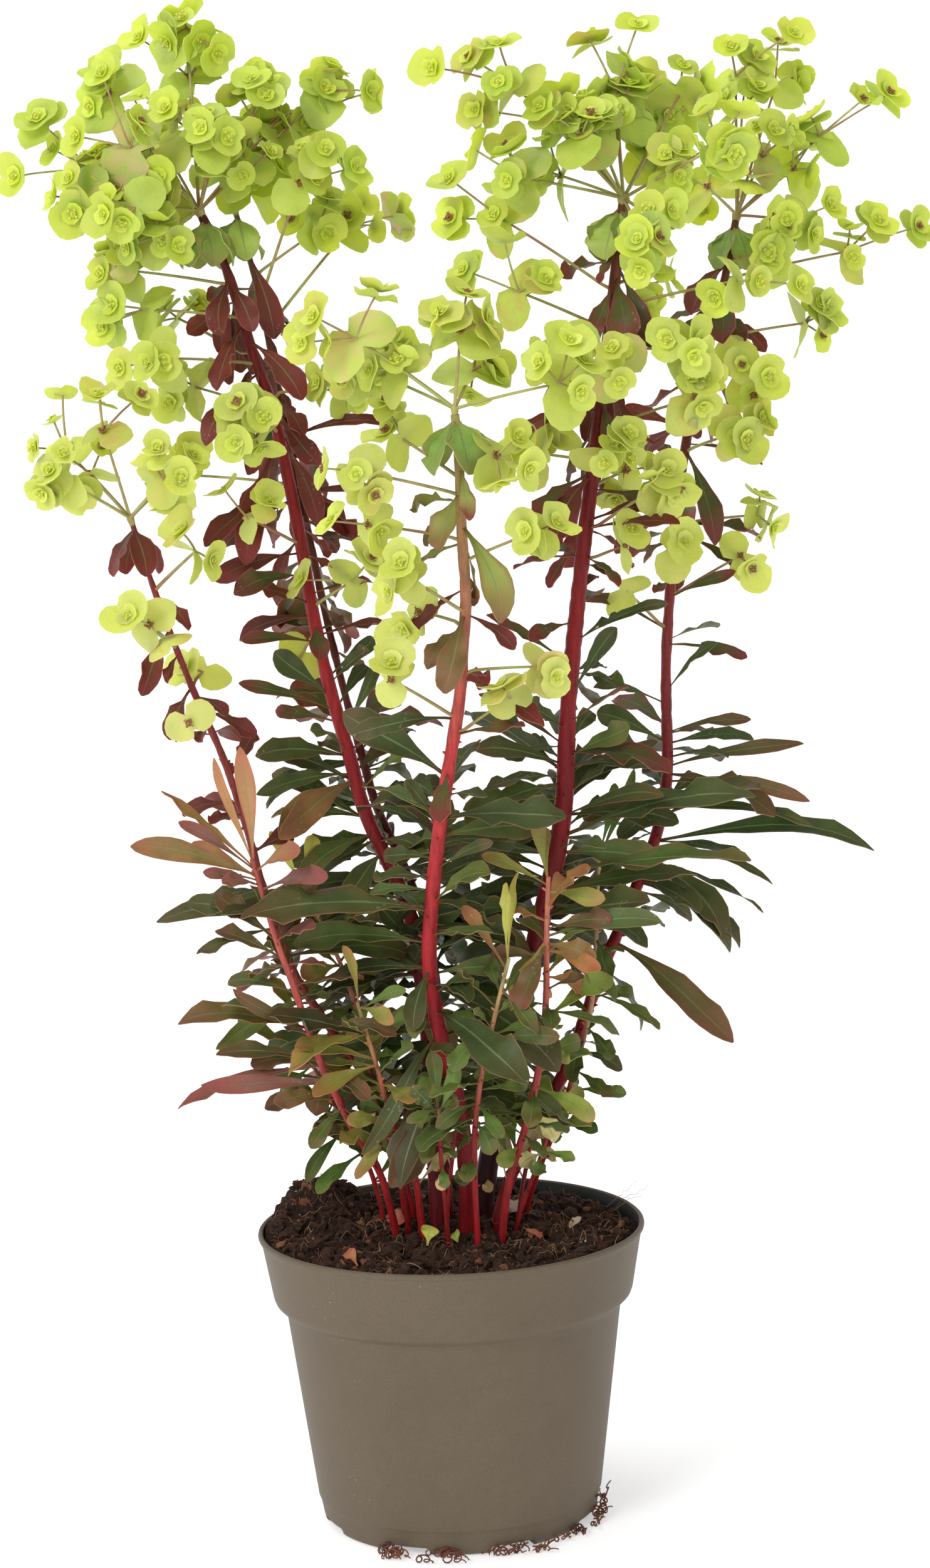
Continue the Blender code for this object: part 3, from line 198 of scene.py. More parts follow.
def smooth(thing, degrees=40.0):
    pick(thing)
    bpy.ops.object.shade_smooth_by_angle(angle=math.radians(degrees))


def corners_of(thing):
    """The corners of an object's mesh as rows of three numbers."""
    places = np.empty(len(thing.data.vertices) * 3)
    thing.data.vertices.foreach_get("co", places)
    return places.reshape(-1, 3)


def move_corners(thing, places):
    thing.data.vertices.foreach_set("co", np.asarray(places, dtype=np.float32).ravel())
    thing.data.update()


def paint(thing, name, colour):
    """Give every corner of an object one colour, which its material reads by name."""
    layer = thing.data.attributes.get(name)
    if layer is None:
        layer = thing.data.attributes.new(name, "FLOAT_COLOR", "POINT")
    layer.data.foreach_set("color", np.tile(np.float32(colour), len(thing.data.vertices)))


def shaped_copy(pattern, name, places):
    """A copy of a pattern with a mesh of its own, its corners moved to places in mm."""
    thing = pattern.copy()
    thing.data = pattern.data.copy()
    thing.name = name
    bpy.context.scene.collection.objects.link(thing)
    move_corners(thing, places * MM)
    return thing


def gather(name, things):
    """Join many pieces into one."""
    bpy.ops.object.select_all(action="DESELECT")
    for thing in things:
        thing.select_set(True)
    bpy.context.view_layer.objects.active = things[0]
    if len(things) > 1:
        bpy.ops.object.join()
    return fresh(name)


def short_name(node):
    return node.replace("flowering_stem_", "").replace("young_shoot_", "")


def measured(node):
    """The solid that a piece belongs with: the sprouts go with the smallest shoot."""
    return "young_shoot_8" if node.startswith("sprout") else node


def stand_for(thing, slot, *nodes):
    """The piece rides on the pot's body and stands for measured nodes. Its slot is not used."""
    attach(thing, "root")
    if nodes:
        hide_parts(*nodes)
    print(thing.name, len(thing.data.polygons), "faces")

# %% [markdown]
# ## The studio
#
# The plant stands on a plain white ground that runs up into a white wall without a seam, as
# a paper roll does in a studio. A flat plane would show its far edge above the pot, so the
# ground is a wide round dish whose rim curves up on every side: it looks the same from all
# round. Two large soft lamps in front, one above and a pale sky give hardly any shadow, as
# in the photograph.

# %% The ground
DISH_FLAT = 2.6
DISH_STEPS = ((3.4, 0.10), (4.1, 0.42), (4.7, 1.0), (5.1, 1.8), (5.3, 2.8))

ground = added("studio_ground", bpy.ops.mesh.primitive_circle_add, vertices=96,
               radius=DISH_FLAT, fill_type="NGON")
edit(ground)
bpy.ops.mesh.select_all(action="SELECT")
bpy.ops.mesh.inset(thickness=DISH_FLAT * 0.5)
reach, height = DISH_FLAT, 0.0
pick_points(ground, lambda co: math.hypot(co.x, co.y) > DISH_FLAT - 0.01)
for wide, high in DISH_STEPS:
    bpy.ops.mesh.extrude_edges_move()
    bpy.ops.transform.translate(value=(0.0, 0.0, high - height))
    bpy.ops.transform.resize(value=(wide / reach, wide / reach, 1.0))
    reach, height = wide, high
leave_edit()
smooth(ground, 60.0)
ground.location.z = -0.0002

# %% The lamps and the sky
LAMPS = (
    # name, place, width, power
    ("lamp_front_left", (-1.6, -2.2, 2.1), 1.2, 41.0),
    ("lamp_front_right", (1.9, -2.0, 1.6), 1.2, 0.8),
    ("lamp_above", (-0.5, 0.2, 2.9), 1.6, 22.0),
)
LOOK_AT = Vector((0.0, 0.0, 0.38))
SKY_STRENGTH = 0.385

for name, where, width, power in LAMPS:
    bpy.ops.object.light_add(type="AREA", location=where)
    lamp = fresh(name)
    lamp.data.shape = "DISK"
    lamp.data.size = width
    lamp.data.energy = power
    lamp.rotation_euler = (LOOK_AT - Vector(where)).to_track_quat("-Z", "Y").to_euler()

sky = bpy.data.worlds.new("pale_sky")
bpy.context.scene.world = sky
sky.use_nodes = True
sky.node_tree.nodes["Background"].inputs["Color"].default_value = (1.0, 1.0, 1.0, 1.0)
sky.node_tree.nodes["Background"].inputs["Strength"].default_value = SKY_STRENGTH
bpy.context.scene.view_settings.view_transform = "Standard"
print("lamps:", len(LAMPS))

# %% [markdown]
# ## Effects that several finishes share
#
# Nothing on a plant is one flat colour: every surface is mottled, leaves have ribs, and
# water leaves pale spots. Each of these is built once as a node group with named inputs and
# outputs, and each material places it with its own values.

# %% A helper for node groups and materials
def new_group(name, inputs, outputs):
    """A node group with named sockets; gives the tree and its two end nodes."""
    tree = bpy.data.node_groups.new(name, "ShaderNodeTree")
    for label, kind, value in inputs:
        socket = tree.interface.new_socket(name=label, in_out="INPUT", socket_type=kind)
        if value is not None:
            socket.default_value = value
    for label, kind in outputs:
        tree.interface.new_socket(name=label, in_out="OUTPUT", socket_type=kind)
    return tree, tree.nodes.new("NodeGroupInput"), tree.nodes.new("NodeGroupOutput")


def put(tree, kind, settings=(), values=()):
    """A node with its settings; a value is a number or a socket to link from."""
    node = tree.nodes.new(kind)
    for key, value in dict(settings).items():
        setattr(node, key, value)
    for key, value in dict(values).items():
        if isinstance(value, bpy.types.NodeSocket):
            tree.links.new(value, node.inputs[key])
        else:
            node.inputs[key].default_value = value
    return node


def sum_of(tree, operation, *values):
    node = put(tree, "ShaderNodeMath", {"operation": operation},
               {number: value for number, value in enumerate(values)})
    return node.outputs[0]


def times(tree, *values):
    return sum_of(tree, "MULTIPLY", *values)


def blend_of(tree, factor, first, second):
    """Mix two colours; a colour is three numbers or a socket."""
    first, second = (colour if isinstance(colour, bpy.types.NodeSocket) else (*colour, 1.0)
                     for colour in (first, second))
    node = put(tree, "ShaderNodeMix", {"data_type": "RGBA"}, {0: factor, 6: first, 7: second})
    return node.outputs[2]


def ramp_of(tree, value, low, high, start=0.0, end=1.0):
    """Bring a value from one range to another, held at its ends."""
    node = put(tree, "ShaderNodeMapRange", {"clamp": True},
               {"Value": value, "From Min": low, "From Max": high, "To Min": start,
                "To Max": end})
    return node.outputs["Result"]


def shaded(tree, colour, shade):
    """A colour made darker or lighter by a factor."""
    node = put(tree, "ShaderNodeVectorMath", {"operation": "SCALE"}, {0: colour, "Scale": shade})
    return node.outputs["Vector"]


def effect(tree, group, vector, **values):
    """Place a shared effect in a finish, with its own values."""
    node = put(tree, "ShaderNodeGroup", {"node_tree": group}, {"Vector": vector, **values})
    return node.outputs


def give(tree, out, **masks):
    for name, mask in masks.items():
        tree.links.new(mask, out.inputs[name])


def new_finish(name):
    """A material, its tree, its Principled shader and its texture coordinates."""
    material = bpy.data.materials.new(name)
    material.use_nodes = True
    tree = material.node_tree
    return material, tree, tree.nodes["Principled BSDF"], put(tree, "ShaderNodeTexCoord").outputs


def painted(tree):
    """The two colours that a leaf or a disc carries, and the amount of the second."""
    blade, blush = (put(tree, "ShaderNodeAttribute", {"attribute_name": name}).outputs
                    for name in ("blade", "blush"))
    return blade["Color"], blush["Color"], blush["Alpha"]


def set_shader(shader, **values):
    for key, value in values.items():
        shader.inputs[key.replace("_", " ")].default_value = value


def skin_of(tree, shader, colour, height, rough, bumps, strength, deep):
    """Link the colour, a roughness that follows a height, and fine bumps, deep in metres."""
    bump = put(tree, "ShaderNodeBump", values={
        "Height": bumps, "Strength": strength, "Distance": deep})
    give(tree, shader, **{"Base Color": colour, "Normal": bump.outputs["Normal"],
                          "Roughness": ramp_of(tree, height, 0.3, 0.7, *rough)})

# %% [markdown]
# ### Mottling and pale specks
#
# Mottling is two sizes of soft noise; it gives a mask that a finish uses between two
# colours, and a height for fine bumps. Specks are the few round spots of dried water, lime
# or dust: small cells, kept only where a wider noise allows them.

# %% Mottling
mottle, ends, out = new_group("mottling", (
    ("Vector", "NodeSocketVector", None), ("Scale", "NodeSocketFloat", 60.0),
    ("Low", "NodeSocketFloat", 0.35), ("High", "NodeSocketFloat", 0.65)),
    (("Mask", "NodeSocketFloat"), ("Height", "NodeSocketFloat")))
wide_noise = put(mottle, "ShaderNodeTexNoise", values={
    "Vector": ends.outputs["Vector"], "Scale": ends.outputs["Scale"], "Detail": 5.0,
    "Roughness": 0.6})
fine_noise = put(mottle, "ShaderNodeTexNoise", values={
    "Vector": ends.outputs["Vector"], "Scale": times(mottle, ends.outputs["Scale"], 9.0),
    "Detail": 3.0})
mixed = sum_of(mottle, "MULTIPLY_ADD", fine_noise.outputs["Fac"], 0.25,
               times(mottle, wide_noise.outputs["Fac"], 0.75))
give(mottle, out, Height=mixed,
     Mask=ramp_of(mottle, mixed, ends.outputs["Low"], ends.outputs["High"]))

# %% Specks
specks, ends, out = new_group("specks", (
    ("Vector", "NodeSocketVector", None), ("Scale", "NodeSocketFloat", 300.0),
    ("Size", "NodeSocketFloat", 0.2), ("Amount", "NodeSocketFloat", 0.5)),
    (("Mask", "NodeSocketFloat"),))
cells = put(specks, "ShaderNodeTexVoronoi", {"feature": "F1"}, {
    "Vector": ends.outputs["Vector"], "Scale": ends.outputs["Scale"]})
dot = ramp_of(specks, cells.outputs["Distance"], ends.outputs["Size"], 0.0)
region = put(specks, "ShaderNodeTexNoise", values={
    "Vector": ends.outputs["Vector"],
    "Scale": times(specks, ends.outputs["Scale"], 0.12), "Detail": 2.0})
limit = sum_of(specks, "SUBTRACT", 1.0, ends.outputs["Amount"])
allowed = ramp_of(specks, region.outputs["Fac"], limit,
                  sum_of(specks, "ADD", limit, 0.06))
give(specks, out, Mask=times(specks, dot, allowed))
print("groups:", mottle.name, specks.name)

# %% The studio's paper
PAPER_GLOW = 0.42
paper, tree, shader, where = new_finish("studio_paper")
cloud = effect(tree, mottle, where["Object"], Scale=3.0)
tree.links.new(blend_of(tree, cloud["Mask"], (0.93, 0.93, 0.93), (0.96, 0.96, 0.955)),
               shader.inputs["Base Color"])
set_shader(shader, Roughness=0.9, Emission_Color=(1.0, 1.0, 1.0, 1.0),
           Emission_Strength=PAPER_GLOW)
ground.data.materials.append(paper)

# %% [markdown]
# ### The ribs of a leaf
#
# A leaf's pattern lies in its own UV map: across it from edge to edge, and along it from
# the stalk to the tip. The group draws the pale rib down the middle, the faint side veins
# that leave it at an angle, and soft masks of the margin, the tip and the stalk.

# %% Leaf ribs
ribs, ends, out = new_group("leaf_ribs", (("Vector", "NodeSocketVector", None),), (
    ("Rib", "NodeSocketFloat"), ("Veins", "NodeSocketFloat"), ("Margin", "NodeSocketFloat"),
    ("Tip", "NodeSocketFloat"), ("Stalk", "NodeSocketFloat"), ("Edge", "NodeSocketFloat")))
parts = put(ribs, "ShaderNodeSeparateXYZ", values={"Vector": ends.outputs["Vector"]})
across = sum_of(ribs, "ABSOLUTE", sum_of(ribs, "SUBTRACT", parts.outputs["X"], 0.5))
along = parts.outputs["Y"]
rib_width = ramp_of(ribs, along, 0.1, 0.95, 0.075, 0.018)
rib = ramp_of(ribs, sum_of(ribs, "DIVIDE", across, rib_width), 1.0, 0.35)
slant = sum_of(ribs, "MULTIPLY_ADD", across, -1.1, along)
row = sum_of(ribs, "PINGPONG", times(ribs, slant, 15.0), 0.5)
give(ribs, out, Rib=rib,
     Veins=times(ribs, ramp_of(ribs, row, 0.09, 0.0), ramp_of(ribs, across, 0.47, 0.2)),
     Margin=ramp_of(ribs, across, 0.30, 0.5), Tip=ramp_of(ribs, along, 0.60, 1.0),
     Stalk=ramp_of(ribs, along, 0.20, 0.04), Edge=ramp_of(ribs, across, 0.455, 0.495))
print("leaf ribs:", [socket.name for socket in out.inputs if socket.name])

# %% [markdown]
# ### The veins of a bract
#
# A flower's disc is two leaves grown together. Its UV map is laid flat over the disc, so
# the group works out how far from the middle a point is and at what angle: fine veins fan
# out from the middle, and the middle and the rim get masks of their own.

# %% Bract veins
fan, ends, out = new_group("bract_fan", (("Vector", "NodeSocketVector", None),), (
    ("Veins", "NodeSocketFloat"), ("Middle", "NodeSocketFloat"), ("Rim", "NodeSocketFloat")))
centred = put(fan, "ShaderNodeVectorMath", {"operation": "SUBTRACT"},
              {0: ends.outputs["Vector"], 1: (0.5, 0.5, 0.0)})
parts = put(fan, "ShaderNodeSeparateXYZ", values={"Vector": centred.outputs["Vector"]})
far = put(fan, "ShaderNodeVectorMath", {"operation": "LENGTH"},
          {0: centred.outputs["Vector"]}).outputs["Value"]
angle = sum_of(fan, "ARCTAN2", parts.outputs["Y"], parts.outputs["X"])
row = sum_of(fan, "PINGPONG", times(fan, angle, 4.46), 0.5)
give(fan, out, Middle=ramp_of(fan, far, 0.30, 0.04), Rim=ramp_of(fan, far, 0.36, 0.5),
     Veins=times(fan, ramp_of(fan, row, 0.10, 0.0), ramp_of(fan, far, 0.48, 0.30)))
print("bract fan:", [socket.name for socket in out.inputs if socket.name])

# %% [markdown]
# ## The finishes
#
# ### Leaves
#
# Old leaves are dark grey-green, those near the flowers burgundy, and the youngest orange
# and olive. One finish serves them all: every leaf carries two painted colours, of its
# blade and of its blush, and the amount of blush. The finish lays the blush over the tip,
# the margin and the stalk, draws the ribs, and adds mottling and dried water spots. The
# underside is paler and duller, so it is a second finish on the same leaf.

# %% Leaf finishes
def leaf_finish(name, lighter, rib_colour, rib_part, spots):
    material, tree, shader, where = new_finish(name)
    pattern = effect(tree, ribs, where["UV"])
    cloud = effect(tree, mottle, where["Object"], Scale=130.0, Low=0.36, High=0.64)
    blade, blush, amount = painted(tree)
    reach = sum_of(tree, "MAXIMUM", pattern["Tip"], times(tree, pattern["Margin"], 0.8))
    reach = sum_of(tree, "MULTIPLY_ADD", cloud["Mask"], 0.45,
                   sum_of(tree, "SUBTRACT", reach, 0.15))
    reach = times(tree, reach, times(tree, amount, 1.5))
    reach = put(tree, "ShaderNodeMath", {"operation": "MAXIMUM", "use_clamp": True}, {
        0: reach, 1: times(tree, pattern["Stalk"], 0.8)})
    colour = blend_of(tree, reach.outputs[0], blade, blush)
    shade = ramp_of(tree, cloud["Height"], 0.3, 0.7, 0.78 * lighter, 1.22 * lighter)
    colour = blend_of(tree, times(tree, pattern["Veins"], 0.16), shaded(tree, colour, shade),
                      rib_colour)
    rib = times(tree, times(tree, pattern["Rib"], rib_part),
                ramp_of(tree, amount, 0.95, 0.4, 0.22, 1.0))
    colour = blend_of(tree, rib, colour, rib_colour)
    colour = blend_of(tree, times(tree, pattern["Edge"], 0.26), colour, (0.42, 0.24, 0.15))
    water = effect(tree, specks, where["Object"], Scale=420.0, Size=0.34, Amount=spots)
    colour = blend_of(tree, times(tree, water["Mask"], 0.35), colour, (0.5, 0.5, 0.46))
    raised = sum_of(tree, "SUBTRACT", times(tree, cloud["Height"], 0.6),
                    sum_of(tree, "ADD", pattern["Rib"], times(tree, pattern["Veins"], 0.5)))
    skin_of(tree, shader, colour, cloud["Height"], (0.42, 0.60), raised, 0.35, 0.0006)
    set_shader(shader, Subsurface_Weight=0.12, Subsurface_Scale=0.002,
               Subsurface_Radius=(0.6, 1.0, 0.25), Specular_IOR_Level=0.32)
    return material


LEAF_TOP = leaf_finish("leaf_top", 1.0, (0.22, 0.26, 0.11), 0.62, 0.40)
LEAF_UNDER = leaf_finish("leaf_under", 1.25, (0.30, 0.26, 0.14), 0.5, 0.0)

# %% [markdown]
# ### Flowers
#
# The discs are thin and lime-yellow, and light shines through them a little. They too carry
# two painted colours: lime, and a pink or brown blush near the middle of some. The middle of
# every disc is also painted a little darker, as painted shade.

# %% Bract finishes
def bract_finish(name, lighter, blush_gain, vein_colour):
    material, tree, shader, where = new_finish(name)
    pattern = effect(tree, fan, where["UV"])
    cloud = effect(tree, mottle, where["Object"], Scale=110.0, Low=0.42, High=0.62)
    blade, blush, amount = painted(tree)
    reach = times(tree, cloud["Mask"],
                  sum_of(tree, "MULTIPLY_ADD", pattern["Rim"], 0.5,
                         sum_of(tree, "ADD", pattern["Middle"], 0.2)))
    reach = put(tree, "ShaderNodeMath", {"operation": "MULTIPLY", "use_clamp": True}, {
        0: reach, 1: times(tree, amount, blush_gain)})
    colour = blend_of(tree, reach.outputs[0], blade, blush)
    # The mottle varies the tone at random; the middle of the disc is painted darker, down to 0.86 of
    # its colour, as painted shade.
    shade = times(tree, ramp_of(tree, cloud["Height"], 0.3, 0.7, 0.84 * lighter, 1.14 * lighter),
                  ramp_of(tree, pattern["Middle"], 0.0, 1.0, 1.0, 0.86))
    colour = blend_of(tree, times(tree, pattern["Veins"], 0.22), shaded(tree, colour, shade),
                      vein_colour)
    raised = sum_of(tree, "SUBTRACT", cloud["Height"], times(tree, pattern["Veins"], 0.6))
    skin_of(tree, shader, colour, cloud["Height"], (0.48, 0.62), raised, 0.22, 0.0005)
    set_shader(shader, Subsurface_Weight=0.45, Subsurface_Scale=0.004,
               Subsurface_Radius=(0.9, 1.0, 0.2))
    return material


BRACT_TOP = bract_finish("bract_top", 1.0, 1.0, (0.30, 0.40, 0.06))
BRACT_UNDER = bract_finish("bract_under", 1.08, 1.3, (0.44, 0.34, 0.12))

# %% Finish of the small cups, their glands and the flower stalks
def mottled_finish(name, dark, light, scale, rough, bumpy, low=0.35, high=0.65):
    """Two colours in soft patches, with fine bumps."""
    material, tree, shader, where = new_finish(name)
    cloud = effect(tree, mottle, where["Object"], Scale=scale, Low=low, High=high)
    skin_of(tree, shader, blend_of(tree, cloud["Mask"], dark, light), cloud["Height"],
            (rough - 0.08, rough + 0.08), cloud["Height"], bumpy, 0.0008)
    return material


CUP_BODY = mottled_finish("flower_cup", (0.50, 0.60, 0.05), (0.66, 0.70, 0.09), 900.0, 0.5, 0.2)
GLANDS = mottled_finish("flower_glands", (0.46, 0.24, 0.05), (0.68, 0.66, 0.09), 160.0, 0.35,
                        0.1, 0.30, 0.46)
DRIED = mottled_finish("dried_flowers", (0.16, 0.05, 0.02), (0.46, 0.24, 0.08), 500.0, 0.6, 0.3)
RAYS = mottled_finish("flower_stalks", (0.34, 0.14, 0.07), (0.40, 0.42, 0.12), 28.0, 0.5, 0.1,
                      0.38, 0.60)

# %% [markdown]
# ### Stems
#
# Each stem changes colour on its way up: dark and purple at the foot, crimson in the
# middle, and on some green or pink near the flowers. The finish reads the height of a point
# and runs through the stem's own colours, then adds streaks along it and small pale warts.
# The thin sprouts at the foot share one set of colours.

# %% Stem finish
def stem_finish(name, stops):
    """stops: (height in mm, colour) from the foot up."""
    material, tree, shader, where = new_finish(name)
    parts = put(tree, "ShaderNodeSeparateXYZ", values={"Vector": where["Object"]})
    cloud = effect(tree, mottle, where["Object"], Scale=70.0, Low=0.36, High=0.64)
    low, high = stops[0][0], stops[-1][0]
    height = ramp_of(tree, parts.outputs["Z"], low * MM, high * MM)
    wander = times(tree, sum_of(tree, "SUBTRACT", cloud["Height"], 0.5), 0.16)
    ladder = put(tree, "ShaderNodeValToRGB", values={
        "Fac": sum_of(tree, "ADD", height, wander)})
    steps = ladder.color_ramp.elements
    while len(steps) < len(stops):
        steps.new(0.5)
    for step, (level, colour) in zip(steps, stops):
        step.position = (level - low) / (high - low)
        step.color = (*colour, 1.0)
    stretched = put(tree, "ShaderNodeMapping", values={
        "Vector": where["Object"], "Scale": (1.0, 1.0, 0.08)})
    streaks = effect(tree, mottle, stretched.outputs["Vector"], Scale=420.0, Low=0.40,
                     High=0.62)
    shade = ramp_of(tree, streaks["Mask"], 0.0, 1.0, 0.66, 1.16)
    warts = effect(tree, specks, where["Object"], Scale=900.0, Size=0.30, Amount=0.55)
    colour = blend_of(tree, times(tree, warts["Mask"], 0.14),
                      shaded(tree, ladder.outputs["Color"], shade), (0.62, 0.30, 0.20))
    raised = sum_of(tree, "ADD", streaks["Height"], times(tree, warts["Mask"], 0.5))
    skin_of(tree, shader, colour, streaks["Height"], (0.30, 0.50), raised, 0.30, 0.0006)
    set_shader(shader, Subsurface_Weight=0.06, Subsurface_Scale=0.002,
               Subsurface_Radius=(1.0, 0.3, 0.2), Specular_IOR_Level=0.22)
    return material


PURPLE = (0.035, 0.006, 0.008)
CRIMSON = (0.31, 0.008, 0.012)
DEEP_RED = (0.19, 0.008, 0.010)
ROSE = (0.50, 0.085, 0.070)
PALE_GREEN = (0.40, 0.38, 0.12)
SALMON = (0.56, 0.20, 0.12)
STRAW = (0.58, 0.44, 0.24)
CHERRY = (0.34, 0.030, 0.028)
STEM_COLOURS = {
    "left": ((140, CRIMSON), (300, (0.24, 0.05, 0.03)), (440, (0.25, 0.03, 0.03)),
             (520, (0.20, 0.04, 0.03)), (560, (0.26, 0.16, 0.06))),
    "tall_left": ((140, DEEP_RED), (330, (0.22, 0.009, 0.012)), (430, (0.36, 0.018, 0.020)),
                  (560, (0.19, 0.014, 0.012)), (640, (0.10, 0.014, 0.010))),
    "twin": ((140, DEEP_RED), (360, (0.14, 0.02, 0.016)), (560, (0.14, 0.05, 0.02)),
             (650, (0.2, 0.14, 0.04))),
    "middle": ((140, (0.20, 0.006, 0.009)), (270, (0.36, 0.014, 0.020)),
               (385, (0.52, 0.048, 0.048)), (430, (0.42, 0.12, 0.085)),
               (484, (0.40, 0.21, 0.09)), (522, (0.36, 0.29, 0.08)), (560, PALE_GREEN)),
    "tall_right": ((140, PURPLE), (230, (0.05, 0.007, 0.009)), (300, DEEP_RED),
                   (420, (0.26, 0.012, 0.014)), (560, (0.14, 0.012, 0.011)),
                   (640, (0.20, 0.07, 0.03))),
    "right": ((140, CRIMSON), (300, DEEP_RED), (420, (0.24, 0.03, 0.028)),
              (520, (0.16, 0.03, 0.02)), (620, (0.14, 0.05, 0.02))),
    # the young shoots, by number
    "1": ((140, CRIMSON), (200, CHERRY), (250, ROSE), (310, SALMON)),
    "2": ((140, CRIMSON), (200, CHERRY), (235, (0.40, 0.14, 0.08)), (290, (0.42, 0.36, 0.14))),
    "3": ((140, CRIMSON), (205, CHERRY), (235, (0.42, 0.16, 0.07)), (275, (0.40, 0.34, 0.12))),
    "4": ((140, CRIMSON), (200, CHERRY), (260, ROSE), (330, (0.40, 0.09, 0.07))),
    "5": ((140, CRIMSON), (205, CHERRY), (260, SALMON), (330, (0.52, 0.26, 0.12))),
    "6": ((140, CRIMSON), (200, CHERRY), (245, (0.42, 0.24, 0.12)), (320, STRAW)),
    "7": ((140, CRIMSON), (200, CHERRY), (225, (0.40, 0.16, 0.08)), (260, (0.40, 0.34, 0.12))),
    "8": ((140, CRIMSON), (190, CHERRY), (215, (0.42, 0.30, 0.12))),
    "9": ((140, DEEP_RED), (195, CHERRY), (230, (0.34, 0.34, 0.10))),
}
SPROUT_COLOURS = ((140, CRIMSON), (195, CHERRY), (230, (0.36, 0.26, 0.09)))
print("stems with colours of their own:", len(STEM_COLOURS))

# %% [markdown]
# ## The plan of the plant
#
# Where everything grows is read from the photograph, as a column and a row of the picture
# and a depth. The same tables gave the measured solids, so the fine pieces fall exactly
# into their places. The sizes are in millimetres, and the seed fixes every random draw.

# %% Sizes of the pot and the soil
POT_HEIGHT = 145.0
RIM_RADIUS = 95.0
LIP_THICKNESS = 2.4
COLLAR_HEIGHT = 33.0
COLLAR_FOOT_RADIUS = 88.5
SHOULDER_RADIUS = 82.5
SHOULDER_DROP = 5.0
FOOT_RADIUS = 68.0
FOOT_BAND_HEIGHT = 12.0
FOOT_BAND_RADIUS = 69.5
WALL = 1.8
FLOOR = 2.2
BAY_COUNT = 8
BAY_HEIGHT = 4.0
BAY_WIDTH = 26.0
BAY_INNER_RADIUS = 56.0
DRAIN_RADIUS = 4.0
DRAIN_INSET = 4.6
SOIL_TOP = 139.0
# The bank at the back left: height, middle and spread; the crown round the stems.
BANK_HEIGHT, BANK_X, BANK_Y, BANK_SPREAD = 17.0, -70.0, 34.0, 26.0
CROWN_HEIGHT, CROWN_X, CROWN_SPREAD = 3.0, 5.0, 1400.0
HOLE_DEPTH = 26.0
SEAT_GAP = 0.3
LEVEL_ABOVE_SOIL = 2.0
FREE_ABOVE_SOIL = 6.0

# %% Sizes of the stems, leaves and flowers
SEED = 41
LEAF_THICKNESS = 1.1
CUP_THICKNESS = 1.3
RAY_RADIUS = 0.75
TWIG_RADIUS = 0.6
CLEARANCE = 0.35
ROOT_SUNK = 1.6
BRACT_HALF_WIDTH = 14.0
CUP_HALF_WIDTH = 10.0
DEPTH_OF_SPRAYS = 1.9
DEPTH_OF_LEAVES = 1.8
STEM_TOLERANCE = 1.0
LEAF_RISE = 0.10
LEAF_ARCH = 0.05
LEAF_WAVE = 0.05
LONG_LEAF = 76.0
SHORT_LEAF = 42.0
HUB_HEIGHT = 5.0
HUB_CLEAR = 9.0
BRACT_ASPECT = 0.72
CUP_ASPECT = 0.94
TWIST_STEP = 0.055
TWISTS = (0, 1, -1, 2, -2, 3, -3, 4, -4, 5, -5, 6, -6, 7, -7)
SHIFTS = (0, 3, -3, 6, -6, 9, -9, 12, -12, 16, -16, 20, -20)
FULL_LENGTH_TRIES = 9
SHORTENED = 0.86
TWIST_LIFT = 0.10

# %% [markdown]
# ### Stems
#
# A stem is given by a few points from the soil up. The rows of the picture count from its
# top, so they get smaller on the way up the stem.

